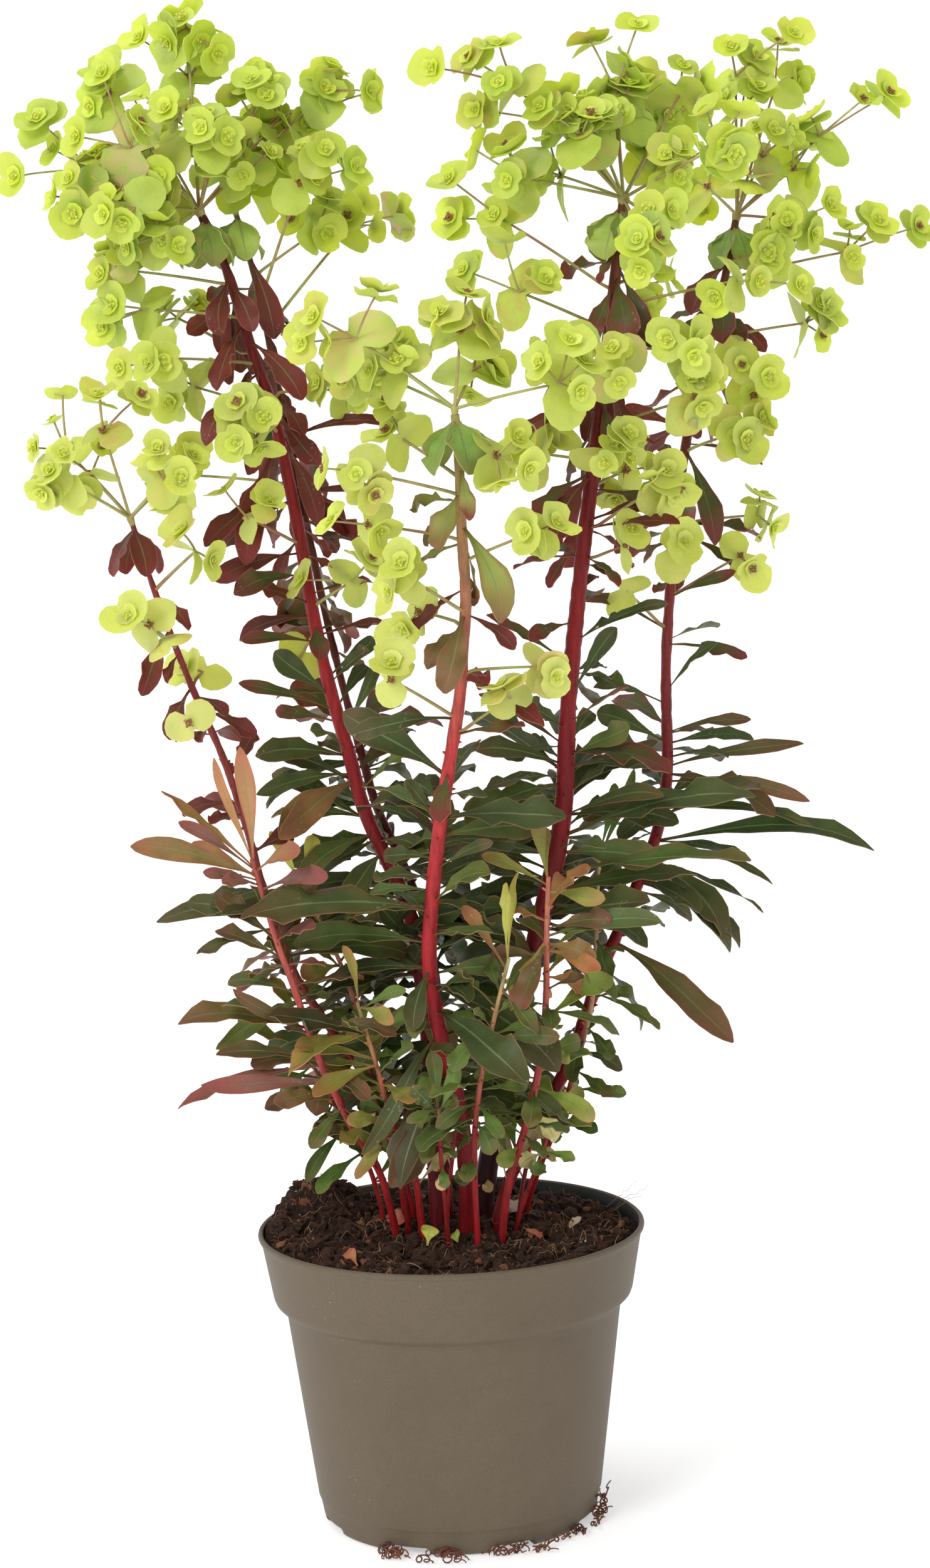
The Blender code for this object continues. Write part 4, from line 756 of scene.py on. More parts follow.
# %% The six flowering stems
# Each flowering stem from the soil up: (column, row, depth) of points on it, its
# radius at the foot and just under the head.
FLOWERING_STEMS = {
    "left": (3.0, 2.1, (
        (652, 1962, 8), (640, 1880, 4), (600, 1740, -4), (540, 1660, -10),
        (470, 1560, -18), (420, 1420, -26), (392, 1314, -30), (356, 1207, -34),
        (307, 1100, -38), (275, 1020, -41), (245, 940, -43), (211, 836, -45))),
    "tall_left": (4.3, 3.2, (
        (700, 1962, 2), (694, 1880, 4), (688, 1760, 6), (682, 1640, 8),
        (664, 1500, 11), (646, 1430, 13), (615, 1368, 15), (579, 1292, 17),
        (557, 1203, 19), (526, 1100, 21), (500, 985, 24), (472, 820, 27),
        (434, 645, 31), (401, 560, 33), (378, 477, 34), (352, 405, 35),
        (322, 345, 35))),
    "twin": (3.4, 2.4, (
        (718, 1958, 24), (712, 1860, 26), (706, 1740, 28), (700, 1600, 30),
        (684, 1480, 32), (640, 1370, 35), (600, 1290, 37), (576, 1200, 39),
        (548, 1100, 41), (520, 985, 43), (492, 850, 45), (464, 720, 47),
        (440, 600, 49), (414, 470, 51), (392, 390, 52), (376, 340, 52))),
    "middle": (3.3, 1.9, (
        (744, 1966, -14), (746, 1880, -18), (736, 1780, -22), (713, 1694, -26),
        (693, 1613, -30), (683, 1524, -34), (691, 1412, -39), (704, 1301, -45),
        (722, 1189, -52), (736, 1100, -58), (738, 1035, -62), (745, 960, -66),
        (737, 860, -72), (733, 740, -80), (726, 662, -84))),
    "tall_right": (6.6, 3.3, (
        (768, 1968, 14), (778, 1860, 14), (800, 1740, 13), (826, 1620, 12),
        (860, 1480, 10), (888, 1370, 8), (900, 1290, 7), (904, 1190, 6),
        (907, 1110, 5), (916, 1020, 4), (926, 920, 2), (936, 830, 1),
        (952, 700, -1), (966, 580, -3), (982, 440, -5), (994, 326, -6))),
    "right": (3.6, 2.6, (
        (792, 1974, -2), (812, 1880, 2), (868, 1780, 8), (910, 1690, 14),
        (945, 1590, 20), (985, 1490, 27), (1022, 1400, 34), (1050, 1330, 40),
        (1066, 1240, 46), (1064, 1160, 50), (1062, 1060, 54), (1068, 960, 57),
        (1074, 860, 61), (1088, 750, 66), (1104, 650, 70), (1140, 520, 75),
        (1160, 430, 79), (1174, 352, 82))),
}

# %% [markdown]
# ### Leaves
#
# Every leaf that the photograph shows is listed with its root, its tip, how far the tip
# stands in front, and its width. Under each head sits a whorl of broader leaves, and the far
# side, which the photograph hides, follows the stem's own spiral.

# %% Leaves of the flowering stems
# Leaves that the photograph shows on each flowering stem: row of the root, column
# and row of the tip, mm that the tip stands in front of the root, mm of width.
SEEN_LEAVES = {
    "left": (
        (952, 305, 1000, 7, 7), (1008, 232, 1110, 9, 11), (1045, 262, 1085, 8, 5),
        (1112, 360, 1142, 9, 9), (1160, 318, 1180, 10, 7), (1240, 403, 1166, -6, 9),
        (1300, 335, 1310, 10, 9), (1360, 470, 1330, -8, 10), (1420, 330, 1440, -6, 11),
        (1480, 315, 1525, 8, 7), (1540, 375, 1580, -6, 9), (1590, 345, 1675, 8, 9)),
    "tall_left": (
        (448, 345, 528, 14, 14), (456, 402, 522, 14, 11), (522, 343, 622, 12, 11),
        (548, 484, 630, 16, 14), (596, 322, 702, 15, 11), (640, 486, 690, 12, 10),
        (664, 400, 755, 10, 10), (672, 506, 738, 18, 11), (704, 614, 662, 8, 7),
        (776, 328, 874, 12, 12), (792, 606, 776, -6, 8), (882, 345, 925, 10, 11),
        (918, 380, 942, 16, 12), (948, 596, 923, 6, 6), (962, 415, 936, 10, 8),
        (1000, 510, 1052, 14, 10), (1014, 636, 998, 4, 9), (1024, 388, 1018, 8, 7),
        (1090, 586, 1036, 6, 9), (1106, 440, 1042, 8, 12), (1130, 386, 1086, 8, 7),
        (1150, 436, 1132, -4, 8), (1166, 598, 1062, -6, 6), (1196, 505, 1156, 12, 9),
        (1204, 412, 1203, 10, 13), (1234, 417, 1266, 14, 9), (1246, 450, 1330, 26, 14),
        (1262, 660, 1192, 12, 8), (1286, 692, 1330, 6, 14), (1300, 432, 1302, -10, 11),
        (1330, 480, 1402, 24, 12), (1344, 668, 1352, 22, 9), (1362, 545, 1440, 26, 12),
        (1400, 590, 1470, -12, 12), (1442, 355, 1458, 34, 19), (1462, 250, 1472, 4, 12),
        (1480, 420, 1508, 18, 13), (1512, 585, 1424, 24, 11), (1540, 484, 1470, -6, 19),
        (1552, 490, 1602, 20, 8), (1600, 560, 1560, -12, 14)),
    "twin": (
        (412, 442, 545, 4, 13), (500, 470, 560, -8, 10), (640, 520, 800, -4, 10),
        (830, 545, 880, -8, 10), (1040, 600, 1100, -10, 11), (1150, 640, 1120, -8, 9),
        (1230, 664, 1236, -14, 10), (1300, 690, 1260, -18, 12),
        (1370, 760, 1330, -22, 14), (1440, 560, 1400, -26, 13)),
    "middle": (
        (787, 694, 872, 12, 15), (744, 752, 830, 4, 8), (838, 808, 984, 16, 15),
        (868, 656, 906, -6, 9), (978, 706, 1102, 14, 14), (1000, 680, 1068, -4, 10),
        (1080, 870, 1156, 8, 11), (1147, 564, 1166, 8, 10), (1172, 838, 1160, 14, 8),
        (1232, 700, 1310, 16, 11), (1268, 774, 1272, 16, 8), (1316, 648, 1246, 10, 7),
        (1344, 830, 1340, -8, 12), (1386, 782, 1345, 12, 6), (1404, 600, 1392, 14, 11),
        (1440, 768, 1380, 16, 14), (1492, 786, 1488, 22, 8), (1546, 500, 1560, -8, 12),
        (1560, 660, 1652, 18, 10), (1572, 750, 1588, 20, 11), (1556, 812, 1540, -6, 11),
        (1612, 840, 1722, 26, 20), (1648, 584, 1846, 12, 9), (1742, 630, 1896, 16, 18)),
    "tall_right": (
        (402, 955, 452, 6, 6), (444, 995, 556, 14, 16), (462, 944, 532, 10, 9),
        (596, 904, 664, 10, 12), (640, 973, 716, 12, 8), (655, 820, 702, 6, 8),
        (690, 1044, 702, 6, 6), (760, 884, 852, 14, 17), (782, 862, 806, -4, 7),
        (828, 1050, 802, 2, 9), (842, 1104, 856, 12, 9), (888, 820, 910, 8, 6),
        (900, 975, 912, 8, 5), (1018, 1060, 962, 14, 6), (1056, 776, 982, 4, 7),
        (1100, 984, 1002, 10, 9), (1086, 872, 1092, 14, 7), (1150, 1002, 1094, 16, 6),
        (1160, 840, 1128, 10, 12), (1186, 764, 1108, -8, 7), (1218, 760, 1192, 10, 12),
        (1206, 1000, 1160, 12, 12), (1240, 776, 1250, 16, 9), (1262, 1050, 1186, -10, 10),
        (1276, 740, 1290, 14, 11), (1296, 1060, 1270, 22, 9), (1312, 820, 1306, 22, 8),
        (1330, 1196, 1250, 26, 17), (1352, 960, 1340, 24, 10), (1366, 720, 1350, 6, 12),
        (1392, 1198, 1372, 30, 15), (1420, 760, 1470, -8, 14), (1440, 1040, 1500, 6, 16),
        (1470, 940, 1520, -8, 12), (1510, 760, 1560, -14, 13)),
    "right": (
        (424, 1096, 492, 12, 13), (468, 1152, 545, 14, 13), (500, 1186, 540, 10, 9),
        (492, 1054, 516, -6, 8), (556, 1166, 578, 6, 5), (690, 1002, 650, 6, 7),
        (722, 1150, 862, 16, 12), (736, 1052, 706, 12, 7), (848, 1222, 926, 10, 8),
        (930, 1044, 946, 10, 6), (952, 1170, 915, 8, 6), (1004, 936, 950, 10, 7),
        (1028, 1192, 1050, 12, 8), (1100, 1136, 1022, 10, 6), (1122, 952, 1090, 12, 5),
        (1168, 1192, 1146, 10, 6), (1186, 1206, 1172, -4, 8), (1208, 1162, 1206, 14, 9),
        (1222, 1282, 1184, 6, 8), (1238, 990, 1200, 16, 11), (1246, 1290, 1278, 12, 8),
        (1290, 1302, 1307, 8, 7), (1300, 990, 1330, 18, 11), (1340, 1400, 1328, 6, 12),
        (1352, 1236, 1398, 16, 5), (1378, 1226, 1442, 10, 6), (1392, 1178, 1505, 18, 15),
        (1420, 1112, 1466, -6, 8), (1504, 1176, 1655, 16, 16)),
}

# Whorl of leaves under each head: how many, their length and width in mm.
WHORLS = {
    "left": (4, 25, 11), "tall_left": (6, 26, 15), "twin": (5, 24, 13),
    "middle": (4, 28, 18), "tall_right": (5, 27, 19), "right": (5, 25, 14),
}

# Leaves on the far side, which the photograph hides, follow the stem's own spiral:
# rows of the first and last, and how many.
HIDDEN_LEAVES = {
    "left": (980, 1560, 5), "tall_left": (480, 1560, 6), "twin": (460, 1540, 7),
    "middle": (800, 1640, 5), "tall_right": (420, 1560, 7), "right": (400, 1480, 7),
}

# %% [markdown]
# ### Flowers
#
# A head is a bundle of rays from the stem's top. Each ray ends in a pair of bracts, grown
# together into one disc, and from that disc short twigs carry smaller discs, each with a
# flower cup in it. Lower on the stem, single rays come out of the leaf axils.

# %% Heads and side sprays
# Heads at the stem tops. Each ray: column and row of its pair of bracts, mm in front
# of the stem's tip, and column and row of each cup above that pair.
HEADS = {
    "left": (
        (165, 690, 10, ((158, 632), (224, 632))),
        (108, 722, -6, ((100, 630),)),
        (98, 766, 16, ((80, 752),)),
        (146, 758, 2, ((126, 796),)),
        (262, 766, 18, ((287, 764), (240, 738))),
        (262, 775, -14, ((306, 728), (262, 810)))),
    "tall_left": (
        (208, 236, 16, ((163, 118), (124, 218))),
        (150, 272, -2, ((60, 190), (87, 240), (25, 282))),
        (132, 318, 12, ((118, 340),)),
        (215, 332, 22, ((168, 340),)),
        (252, 376, 16, ((282, 392),)),
        (340, 228, 14, ((265, 174), (330, 183))),
        (302, 124, -10, ((224, 62), (290, 30), (333, 84))),
        (250, 218, -22, ((215, 160),))),
    "twin": (
        (392, 278, 10, ((386, 214),)),
        (455, 205, -4, ((521, 142), (586, 148))),
        (424, 258, -16, ((417, 193),)),
        (402, 190, 4, ((402, 128), (430, 130)))),
    "middle": (
        (568, 541, 8, ((502, 506), (482, 548), (604, 464))),
        (590, 592, -6, ((641, 556), (548, 606))),
        (735, 530, 6, ((704, 500), (776, 512))),
        (756, 590, -8, ((750, 628), (786, 576))),
        (892, 612, 10, ((862, 580), (908, 545)))),
    "tall_right": (
        (982, 148, -4, ((940, 62), (1017, 42))),
        (928, 216, 12, ((862, 172), (945, 174))),
        (832, 284, 8, ((760, 240), (808, 234))),
        (1084, 152, -12, ((1035, 130), (1122, 135))),
        (1040, 246, -20, ((1024, 182),)),
        (1142, 236, 14, ((1128, 178), (1180, 178), (1172, 248))),
        (1030, 392, 24, ((1014, 384), (1048, 380)))),
    "right": (
        (1174, 122, -6, ((1166, 76), (1208, 92), (1264, 54))),
        (1308, 218, 2, ((1376, 160), (1418, 150))),
        (1216, 250, 10, ((1236, 210), (1190, 288))),
        (1262, 352, 14, ((1240, 350), (1324, 328))),
        (1236, 142, -18, ((1268, 138),)),
        (1130, 300, -12, ((1122, 335),))),
}

# Side sprays in the leaf axils: row where the spray leaves its stem, column and row
# of its pair of bracts, mm in front of the stem, and each cup above that pair.
SIDE_SPRAYS = {
    "left": (
        (942, 312, 880, 6, ((290, 850), (336, 895))),
        (1032, 240, 998, 18, ((206, 984), (262, 1022))),
        (1098, 322, 1072, -6, ((296, 1066),)),
        (1128, 303, 1152, 10, ())),
    "tall_left": (
        (452, 206, 432, 8, ((196, 404),)),
        (506, 236, 494, 6, ((182, 488), (164, 522))),
        (562, 284, 508, -12, ((320, 484),)),
        (580, 258, 572, 16, ((236, 578), (192, 588))),
        (652, 312, 618, -2, ((272, 642),)),
        (690, 395, 668, 26, ((376, 706), (414, 714))),
        (640, 548, 622, 8, ((598, 604), (508, 612))),
        (772, 286, 758, -6, ((304, 726),)),
        (866, 396, 828, 12, ((428, 800), (360, 784))),
        (968, 562, 928, 6, ((590, 892), (482, 926))),
        (1022, 478, 1050, -10, ())),
    "twin": (
        (466, 478, 294, 12, ((518, 240), (565, 268))),
        (440, 502, 372, -2, ((468, 350),)),
        (520, 560, 362, -14, ((637, 344),))),
    "middle": (
        (762, 644, 702, -8, ((618, 690),)),
        (736, 790, 728, 6, ((798, 768),)),
        (790, 566, 752, 12, ((522, 748), (596, 788))),
        (862, 590, 838, 8, ((532, 832), (604, 848))),
        (896, 862, 846, 4, ((840, 848), (887, 836))),
        (976, 656, 926, 12, ((640, 900), (622, 944))),
        (1002, 670, 976, -6, ((644, 1004),)),
        (1144, 626, 1086, 12, ((624, 1060),)),
        (1076, 860, 1064, 0, ((886, 1080),)),
        (1166, 815, 1114, 12, ((800, 1096),))),
    "tall_right": (
        (462, 805, 352, -6, ((718, 286), (720, 350))),
        (528, 828, 466, 8, ((806, 388), (740, 432), (868, 446))),
        (452, 1030, 456, -4, ((1026, 490),)),
        (492, 1176, 448, 12, ((1274, 456), (1142, 476))),
        (562, 1086, 558, 14, ((1064, 543), (1114, 546))),
        (604, 916, 568, 16, ((928, 550), (868, 580))),
        (592, 986, 586, 18, ((980, 562),)),
        (682, 1104, 638, 12, ((1122, 608), (1120, 652))),
        (742, 858, 724, 4, ((830, 712), (884, 700))),
        (730, 976, 726, 16, ((986, 710),)),
        (776, 996, 752, -8, ((1014, 736), (984, 796))),
        (842, 1056, 774, 12, ((1064, 752), (1076, 792))),
        (892, 995, 872, 4, ())),
    "right": (
        (444, 1350, 402, 2, ((1400, 352), (1464, 362))),
        (420, 1236, 404, 16, ((1236, 408),)),
        (540, 1282, 516, 4, ((1326, 494),)),
        (584, 1186, 596, 8, ((1226, 602),)),
        (720, 1164, 694, 10, ((1190, 702), (1222, 668))),
        (838, 1208, 822, 2, ((1212, 792), (1232, 842))),
        (884, 1078, 880, 18, ((1092, 866),)),
        (948, 1180, 888, 4, ((1198, 906),)),
        (1002, 1000, 944, 8, ())),
}

# %% [markdown]
# ### Young shoots
#
# Nine shoots of this year stand between the old stems, with a tuft of coloured young leaves
# at the tip.

# %% Young shoots
# Young shoots without flowers: radius at foot and tip, points from the soil up, and
# leaves as (row of the root, column and row of the tip, mm in front, mm wide).
YOUNG_SHOOTS = {
    "1": (2.7, 1.7, (
        (800, 1968, -24), (812, 1880, -26), (836, 1812, -28), (862, 1700, -32),
        (872, 1600, -36), (872, 1500, -40), (875, 1400, -43)),
        ((1402, 856, 1300, 2, 7), (1408, 868, 1318, -8, 7), (1412, 770, 1364, 4, 7),
         (1424, 960, 1436, 10, 9), (1494, 1050, 1466, 14, 11), (1508, 826, 1614, 12, 13),
         (1516, 958, 1548, 14, 8), (1560, 934, 1580, -8, 12), (1602, 880, 1640, 12, 9),
         (1626, 978, 1560, -10, 12), (1690, 930, 1660, -8, 9), (1740, 848, 1796, 12, 10),
         (1812, 868, 1846, 12, 8))),
    "2": (2.1, 1.4, (
        (762, 1966, -34), (757, 1880, -38), (757, 1800, -42), (768, 1710, -47),
        (790, 1620, -52), (812, 1530, -56)),
        ((1532, 806, 1410, 4, 5), (1536, 822, 1390, -4, 6), (1545, 728, 1420, 6, 7),
         (1580, 858, 1650, 8, 9), (1640, 720, 1710, 10, 10), (1660, 890, 1656, 10, 9),
         (1760, 700, 1800, 10, 8), (1800, 800, 1806, 8, 7), (1850, 742, 1884, 10, 9))),
    "3": (2.1, 1.3, (
        (676, 1964, -20), (664, 1870, -26), (625, 1790, -34), (602, 1703, -40),
        (588, 1658, -43), (570, 1600, -46)),
        ((1604, 552, 1512, 3, 5), (1608, 626, 1632, 10, 8), (1612, 648, 1580, 4, 6),
         (1650, 452, 1704, 12, 13), (1700, 500, 1750, 8, 10), (1730, 660, 1760, 12, 10),
         (1790, 556, 1790, 8, 8), (1800, 566, 1880, 8, 7))),
    "4": (2.6, 1.8, (
        (634, 1962, -12), (608, 1870, -22), (556, 1790, -32), (504, 1680, -42),
        (468, 1573, -48), (441, 1502, -52), (414, 1412, -56), (402, 1372, -58)),
        ((1374, 377, 1198, 2, 9), (1378, 335, 1212, -6, 5), (1382, 262, 1258, 4, 6),
         (1386, 285, 1312, 8, 6), (1390, 470, 1356, 12, 10), (1396, 208, 1350, 6, 11),
         (1400, 296, 1342, -10, 9), (1404, 328, 1392, 10, 6), (1412, 360, 1406, 12, 7),
         (1420, 520, 1400, 10, 9), (1500, 500, 1480, 10, 10), (1540, 400, 1560, -6, 9),
         (1640, 286, 1615, 8, 13), (1650, 380, 1590, 10, 7), (1690, 345, 1676, 4, 9),
         (1740, 440, 1760, 10, 9), (1770, 496, 1832, 10, 8))),
    "5": (1.8, 1.3, (
        (664, 1958, 20), (640, 1850, 15), (596, 1730, 9), (570, 1610, 1),
        (540, 1528, -7), (484, 1414, -16)),
        ((1416, 430, 1326, 4, 6), (1420, 500, 1330, -4, 8), (1424, 520, 1350, 6, 7),
         (1470, 600, 1470, 10, 9), (1540, 470, 1556, 12, 12), (1600, 520, 1640, 12, 9),
         (1690, 520, 1710, 12, 11), (1790, 500, 1790, 12, 8))),
    "6": (1.9, 1.3, (
        (838, 1962, 20), (862, 1860, 12), (896, 1780, 4), (934, 1650, 5),
        (949, 1580, 7), (952, 1480, 9), (956, 1360, 11)),
        ((1364, 980, 1250, -4, 6), (1370, 1012, 1228, -8, 5), (1380, 1030, 1370, 6, 8),
         (1460, 1000, 1440, -8, 9), (1586, 1056, 1638, 6, 7), (1500, 974, 1562, 12, 10),
         (1640, 976, 1690, 8, 9), (1660, 912, 1726, 10, 10), (1790, 954, 1806, 6, 7),
         (1740, 1000, 1742, 2, 7))),
    "7": (1.7, 1.2, (
        (614, 1946, 14), (590, 1860, 12), (548, 1790, 8), (505, 1712, 4),
        (478, 1660, 2)),
        ((1664, 432, 1560, 2, 7), (1668, 380, 1640, 4, 9), (1672, 500, 1600, 6, 9),
         (1700, 444, 1762, 8, 8), (1720, 410, 1712, 2, 9), (1760, 508, 1832, 12, 8),
         (1800, 490, 1886, 12, 7), (1840, 506, 1904, 14, 9))),
    "8": (1.7, 1.2, (
        (820, 1968, -6), (842, 1900, -6), (866, 1840, -6), (880, 1790, -7)),
        ((1794, 872, 1716, 2, 8), (1798, 930, 1736, -4, 8), (1804, 888, 1818, 8, 8),
         (1838, 918, 1850, 2, 6), (1850, 856, 1872, 8, 9), (1870, 800, 1842, 10, 8))),
    "9": (1.6, 1.1, (
        (716, 1968, -32), (708, 1900, -40), (702, 1830, -46), (700, 1770, -50)),
        ((1774, 690, 1680, 2, 8), (1778, 728, 1700, 4, 8), (1782, 660, 1740, 6, 9),
         (1812, 676, 1856, 8, 7), (1830, 726, 1846, 8, 6), (1860, 712, 1896, 6, 6))),
}

# %% [markdown]
# ## Growing the plan
#
# The leaves must not cut through each other, so each is tried in its place and bent a
# little to the front or back until it is clear of all that grew before it. The same trials
# with the same dice gave the measured solids, so they are repeated here with plain stand-in
# shapes, and the final place of each leaf and flower is noted for the fine pieces.

# %% Stand-in shapes
def square_to(direction, hint):
    """A unit vector square to direction, as near to hint as it can be."""
    side = hint - direction * hint.dot(direction)
    if side.length < 1e-4:
        side = direction.orthogonal()
    return side.normalized()


def level_spoke(turn):
    return Vector((math.cos(turn), math.sin(turn), 0.0))


def tube(points, radii, sides):
    """A closed tube of flat sides along a run of points."""
    verts = []
    faces = []
    side = square_to((points[1] - points[0]).normalized(), Vector((1.0, 0.0, 0.0)))
    last = len(points) - 1
    for index, point in enumerate(points):
        ahead = (points[min(index + 1, last)] - points[max(index - 1, 0)]).normalized()
        side = square_to(ahead, side)
        up = ahead.cross(side)
        for step in range(sides):
            turn = math.tau * step / sides
            spoke = side * math.cos(turn) + up * math.sin(turn)
            verts.append(point + spoke * radii[index])
    for ring in range(last):
        for step in range(sides):
            a = ring * sides + step
            b = ring * sides + (step + 1) % sides
            faces.append((a, b, b + sides))
            faces.append((a, b + sides, a + sides))
    faces.append(tuple(reversed(range(sides))))
    faces.append(tuple(range(last * sides, (last + 1) * sides)))
    return verts, faces


def blade(root, tip, sag, wide, face, swell=0.0):
    """A leaf from root to tip: three-cornered sections with a keel, then a point."""
    bend = (root + tip) / 2 + sag
    half = wide / 2 + swell
    thick = LEAF_THICKNESS + swell
    long = (tip - root).length
    if long > LONG_LEAF:
        stations = ((0.0, 0.13), (0.34, 0.62), (0.66, 1.0), (0.9, 0.66))
    elif long > SHORT_LEAF:
        stations = ((0.0, 0.16), (0.44, 0.84), (0.82, 0.86))
    else:
        stations = ((0.0, 0.2), (0.64, 1.0))
    verts = []
    faces = []
    for number, (part, width) in enumerate(stations):
        point = root * (1 - part) ** 2 + bend * (2 * part * (1 - part)) + tip * part ** 2
        ahead = ((bend - root) * (1 - part) + (tip - bend) * part).normalized()
        normal = square_to(ahead, face)
        across = ahead.cross(normal)
        ripple = LEAF_WAVE * wide * (1 if number % 2 else -1) if number else 0.0
        verts.append(point - across * (half * width) + normal * (swell + ripple))
        verts.append(point + across * (half * width) + normal * (swell - ripple))
        verts.append(point - normal * thick)
    verts.append(tip + (tip - bend).normalized() * swell)
    for ring in range(len(stations) - 1):
        near = ring * 3
        for step in range(3):
            a = near + step
            b = near + (step + 1) % 3
            faces.append((a, b, b + 3))
            faces.append((a, b + 3, a + 3))
    near = (len(stations) - 1) * 3
    for step in range(3):
        faces.append((near + step, near + (step + 1) % 3, near + 3))
    faces.append((2, 1, 0))
    return verts, faces


# Rim of a pair of bracts and of a cup: (turn in degrees, part of the radius, lift).
BRACT_RIM = ((24, 1.0, 0.06), (90, 0.62, 0.0), (156, 1.0, 0.02), (204, 0.96, 0.05),
             (246, 0.74, 0.02), (294, 0.74, 0.05), (336, 0.96, 0.02))
CUP_RIM = ((0, 0.94, 0.18), (62, 1.0, 0.26), (122, 0.96, 0.2), (180, 1.0, 0.28),
           (242, 0.94, 0.2), (302, 1.0, 0.24))

# %% A stalk that opens into discs
class Chain:
    """One solid grown from a stalk: three-cornered stalks and the discs along them."""

    def __init__(self, start, ahead, hint, radius):
        self.verts = []
        self.faces = []
        self.discs = []
        self.spoke = square_to(ahead, hint)
        self.ring = self.corners(start, ahead, radius)
        self.faces.append((2, 1, 0))

    def corners(self, point, ahead, radius):
        self.spoke = square_to(ahead, self.spoke)
        up = ahead.cross(self.spoke)
        first = len(self.verts)
        for k in range(3):
            turn = math.tau * k / 3
            self.verts.append(point + (self.spoke * math.cos(turn)
                                       + up * math.sin(turn)) * radius)
        return [first, first + 1, first + 2]

    def stalk(self, point, ahead, radius):
        """Carry the stalk on to a point."""
        ring = self.corners(point, ahead, radius)
        for k in range(3):
            later = (k + 1) % 3
            self.faces.append((self.ring[k], self.ring[later], ring[later]))
            self.faces.append((self.ring[k], ring[later], ring[k]))
        self.ring = ring

    def disc(self, centre, face, rim, size, flat, rough, radius, swell, goes_on):
        """Open the stalk into a thin dished disc; close it, or leave a stalk on top."""
        self.stalk(centre - face * (CUP_THICKNESS / 2 + swell), face, radius)
        across = self.spoke.copy()
        lengthwise = face.cross(across)
        self.discs.append({"centre": centre, "across": across, "lengthwise": lengthwise,
                           "face": face, "size": size, "flat": flat})
        edge = len(self.verts)
        total = len(rim)
        for number, (turn, part, lift) in enumerate(rim):
            angle = math.radians(turn)
            reach = size * part * (1 + rough[number % len(rough)] * 0.09) + swell
            rise = lift * size * (1 + rough[(number + 3) % len(rough)] * 0.5)
            self.verts.append(centre + across * (math.cos(angle) * reach)
                              + lengthwise * (math.sin(angle) * reach * flat) + face * rise)
        owners = [int(round((rim[k][0] + rim[k + 1][0]) / 240.0)) % 3
                  for k in range(total - 1)]
        owners.append(int(round((rim[-1][0] + rim[0][0] + 360) / 240.0)) % 3)
        under = self.ring
        if goes_on:
            over = self.corners(centre + face * (CUP_THICKNESS / 2 + swell), face, radius)
        else:
            over = [len(self.verts)] * 3
            self.verts.append(centre + face * (CUP_THICKNESS / 2 + swell))
        for number in range(total):
            a = edge + number
            b = edge + (number + 1) % total
            owner = owners[number]
            later = owners[(number + 1) % total]
            self.faces.append((b, a, under[owner]))
            self.faces.append((a, b, over[owner]))
            if owner != later:
                self.faces.append((b, under[owner], under[later]))
                if goes_on:
                    self.faces.append((b, over[later], over[owner]))
        self.ring = over

    def shape(self):
        return self.verts, self.faces

# %% The swelling under a head
def hub(base, axis, radius, height):
    """The small swelling at a stem's top from which the rays of a head spread."""
    return tube([base, base + axis * (height * 0.45), base + axis * height],
                [radius * 0.8, radius * 1.15, radius * 0.6], 6)

# %% Testing for free space
KEPT_CLEAR = 1.0
INSIDE_WALL = 84.0


def box_of(verts):
    """The lowest and the highest corner of a shape's box."""
    return ([min(v[i] for v in verts) for i in range(3)],
            [max(v[i] for v in verts) for i in range(3)])


class Thicket:
    """Everything placed so far, so that a new leaf can be bent clear of it."""

    def __init__(self):
        self.pieces = []

    def add(self, shape, group, kind):
        tree = BVHTree.FromPolygons(*shape, all_triangles=False)
        self.pieces.append((*box_of(shape[0]), tree, group, kind))

    def clear(self, shape, skip):
        """Whether a shape touches neither the pot, the soil nor what stands there already."""
        low, high = box_of(shape[0])
        if low[2] < POT_HEIGHT + KEPT_CLEAR:
            for v in shape[0]:
                far = math.hypot(v.x, v.y)
                if far >= RIM_RADIUS + 2 * KEPT_CLEAR:
                    continue
                if v.z < soil_height(v.x, v.y) + KEPT_CLEAR:
                    return False
                if v.z < POT_HEIGHT + KEPT_CLEAR and far > INSIDE_WALL:
                    return False
        tree = None
        for other_low, other_high, other, group, kind in self.pieces:
            if skip(group, kind):
                continue
            if any(low[i] > other_high[i] or high[i] < other_low[i] for i in range(3)):
                continue
            if tree is None:
                tree = BVHTree.FromPolygons(*shape, all_triangles=False)
            if tree.overlap(other):
                return False
        return True

# %% Where a stem stands
def soil_height(x, y):
    """Height of the soil's top: lumpy, with a bank at the back left."""
    bank = BANK_HEIGHT * math.exp(-(((x - BANK_X) / BANK_SPREAD) ** 2
                                    + ((y - BANK_Y) / BANK_SPREAD) ** 2))
    crown = CROWN_HEIGHT * math.exp(-((x - CROWN_X) ** 2 + y * y) / CROWN_SPREAD)
    lumps = (1.3 * math.sin(x * 0.13 + 0.7) * math.cos(y * 0.11)
             + 0.8 * math.sin(x * 0.29 - y * 0.23 + 1.9))
    return SOIL_TOP + bank + crown + lumps


def bends(points):
    """Only the points of a run that it needs to keep its bends."""
    if len(points) < 3:
        return points
    start, end = points[0], points[-1]
    ahead = (end - start).normalized()
    far = 0.0
    where = 0
    for index in range(1, len(points) - 1):
        offset = points[index] - start
        stray = (offset - ahead * offset.dot(ahead)).length
        if stray > far:
            far = stray
            where = index
    if far < STEM_TOLERANCE:
        return [start, end]
    return bends(points[:where + 1])[:-1] + bends(points[where:])


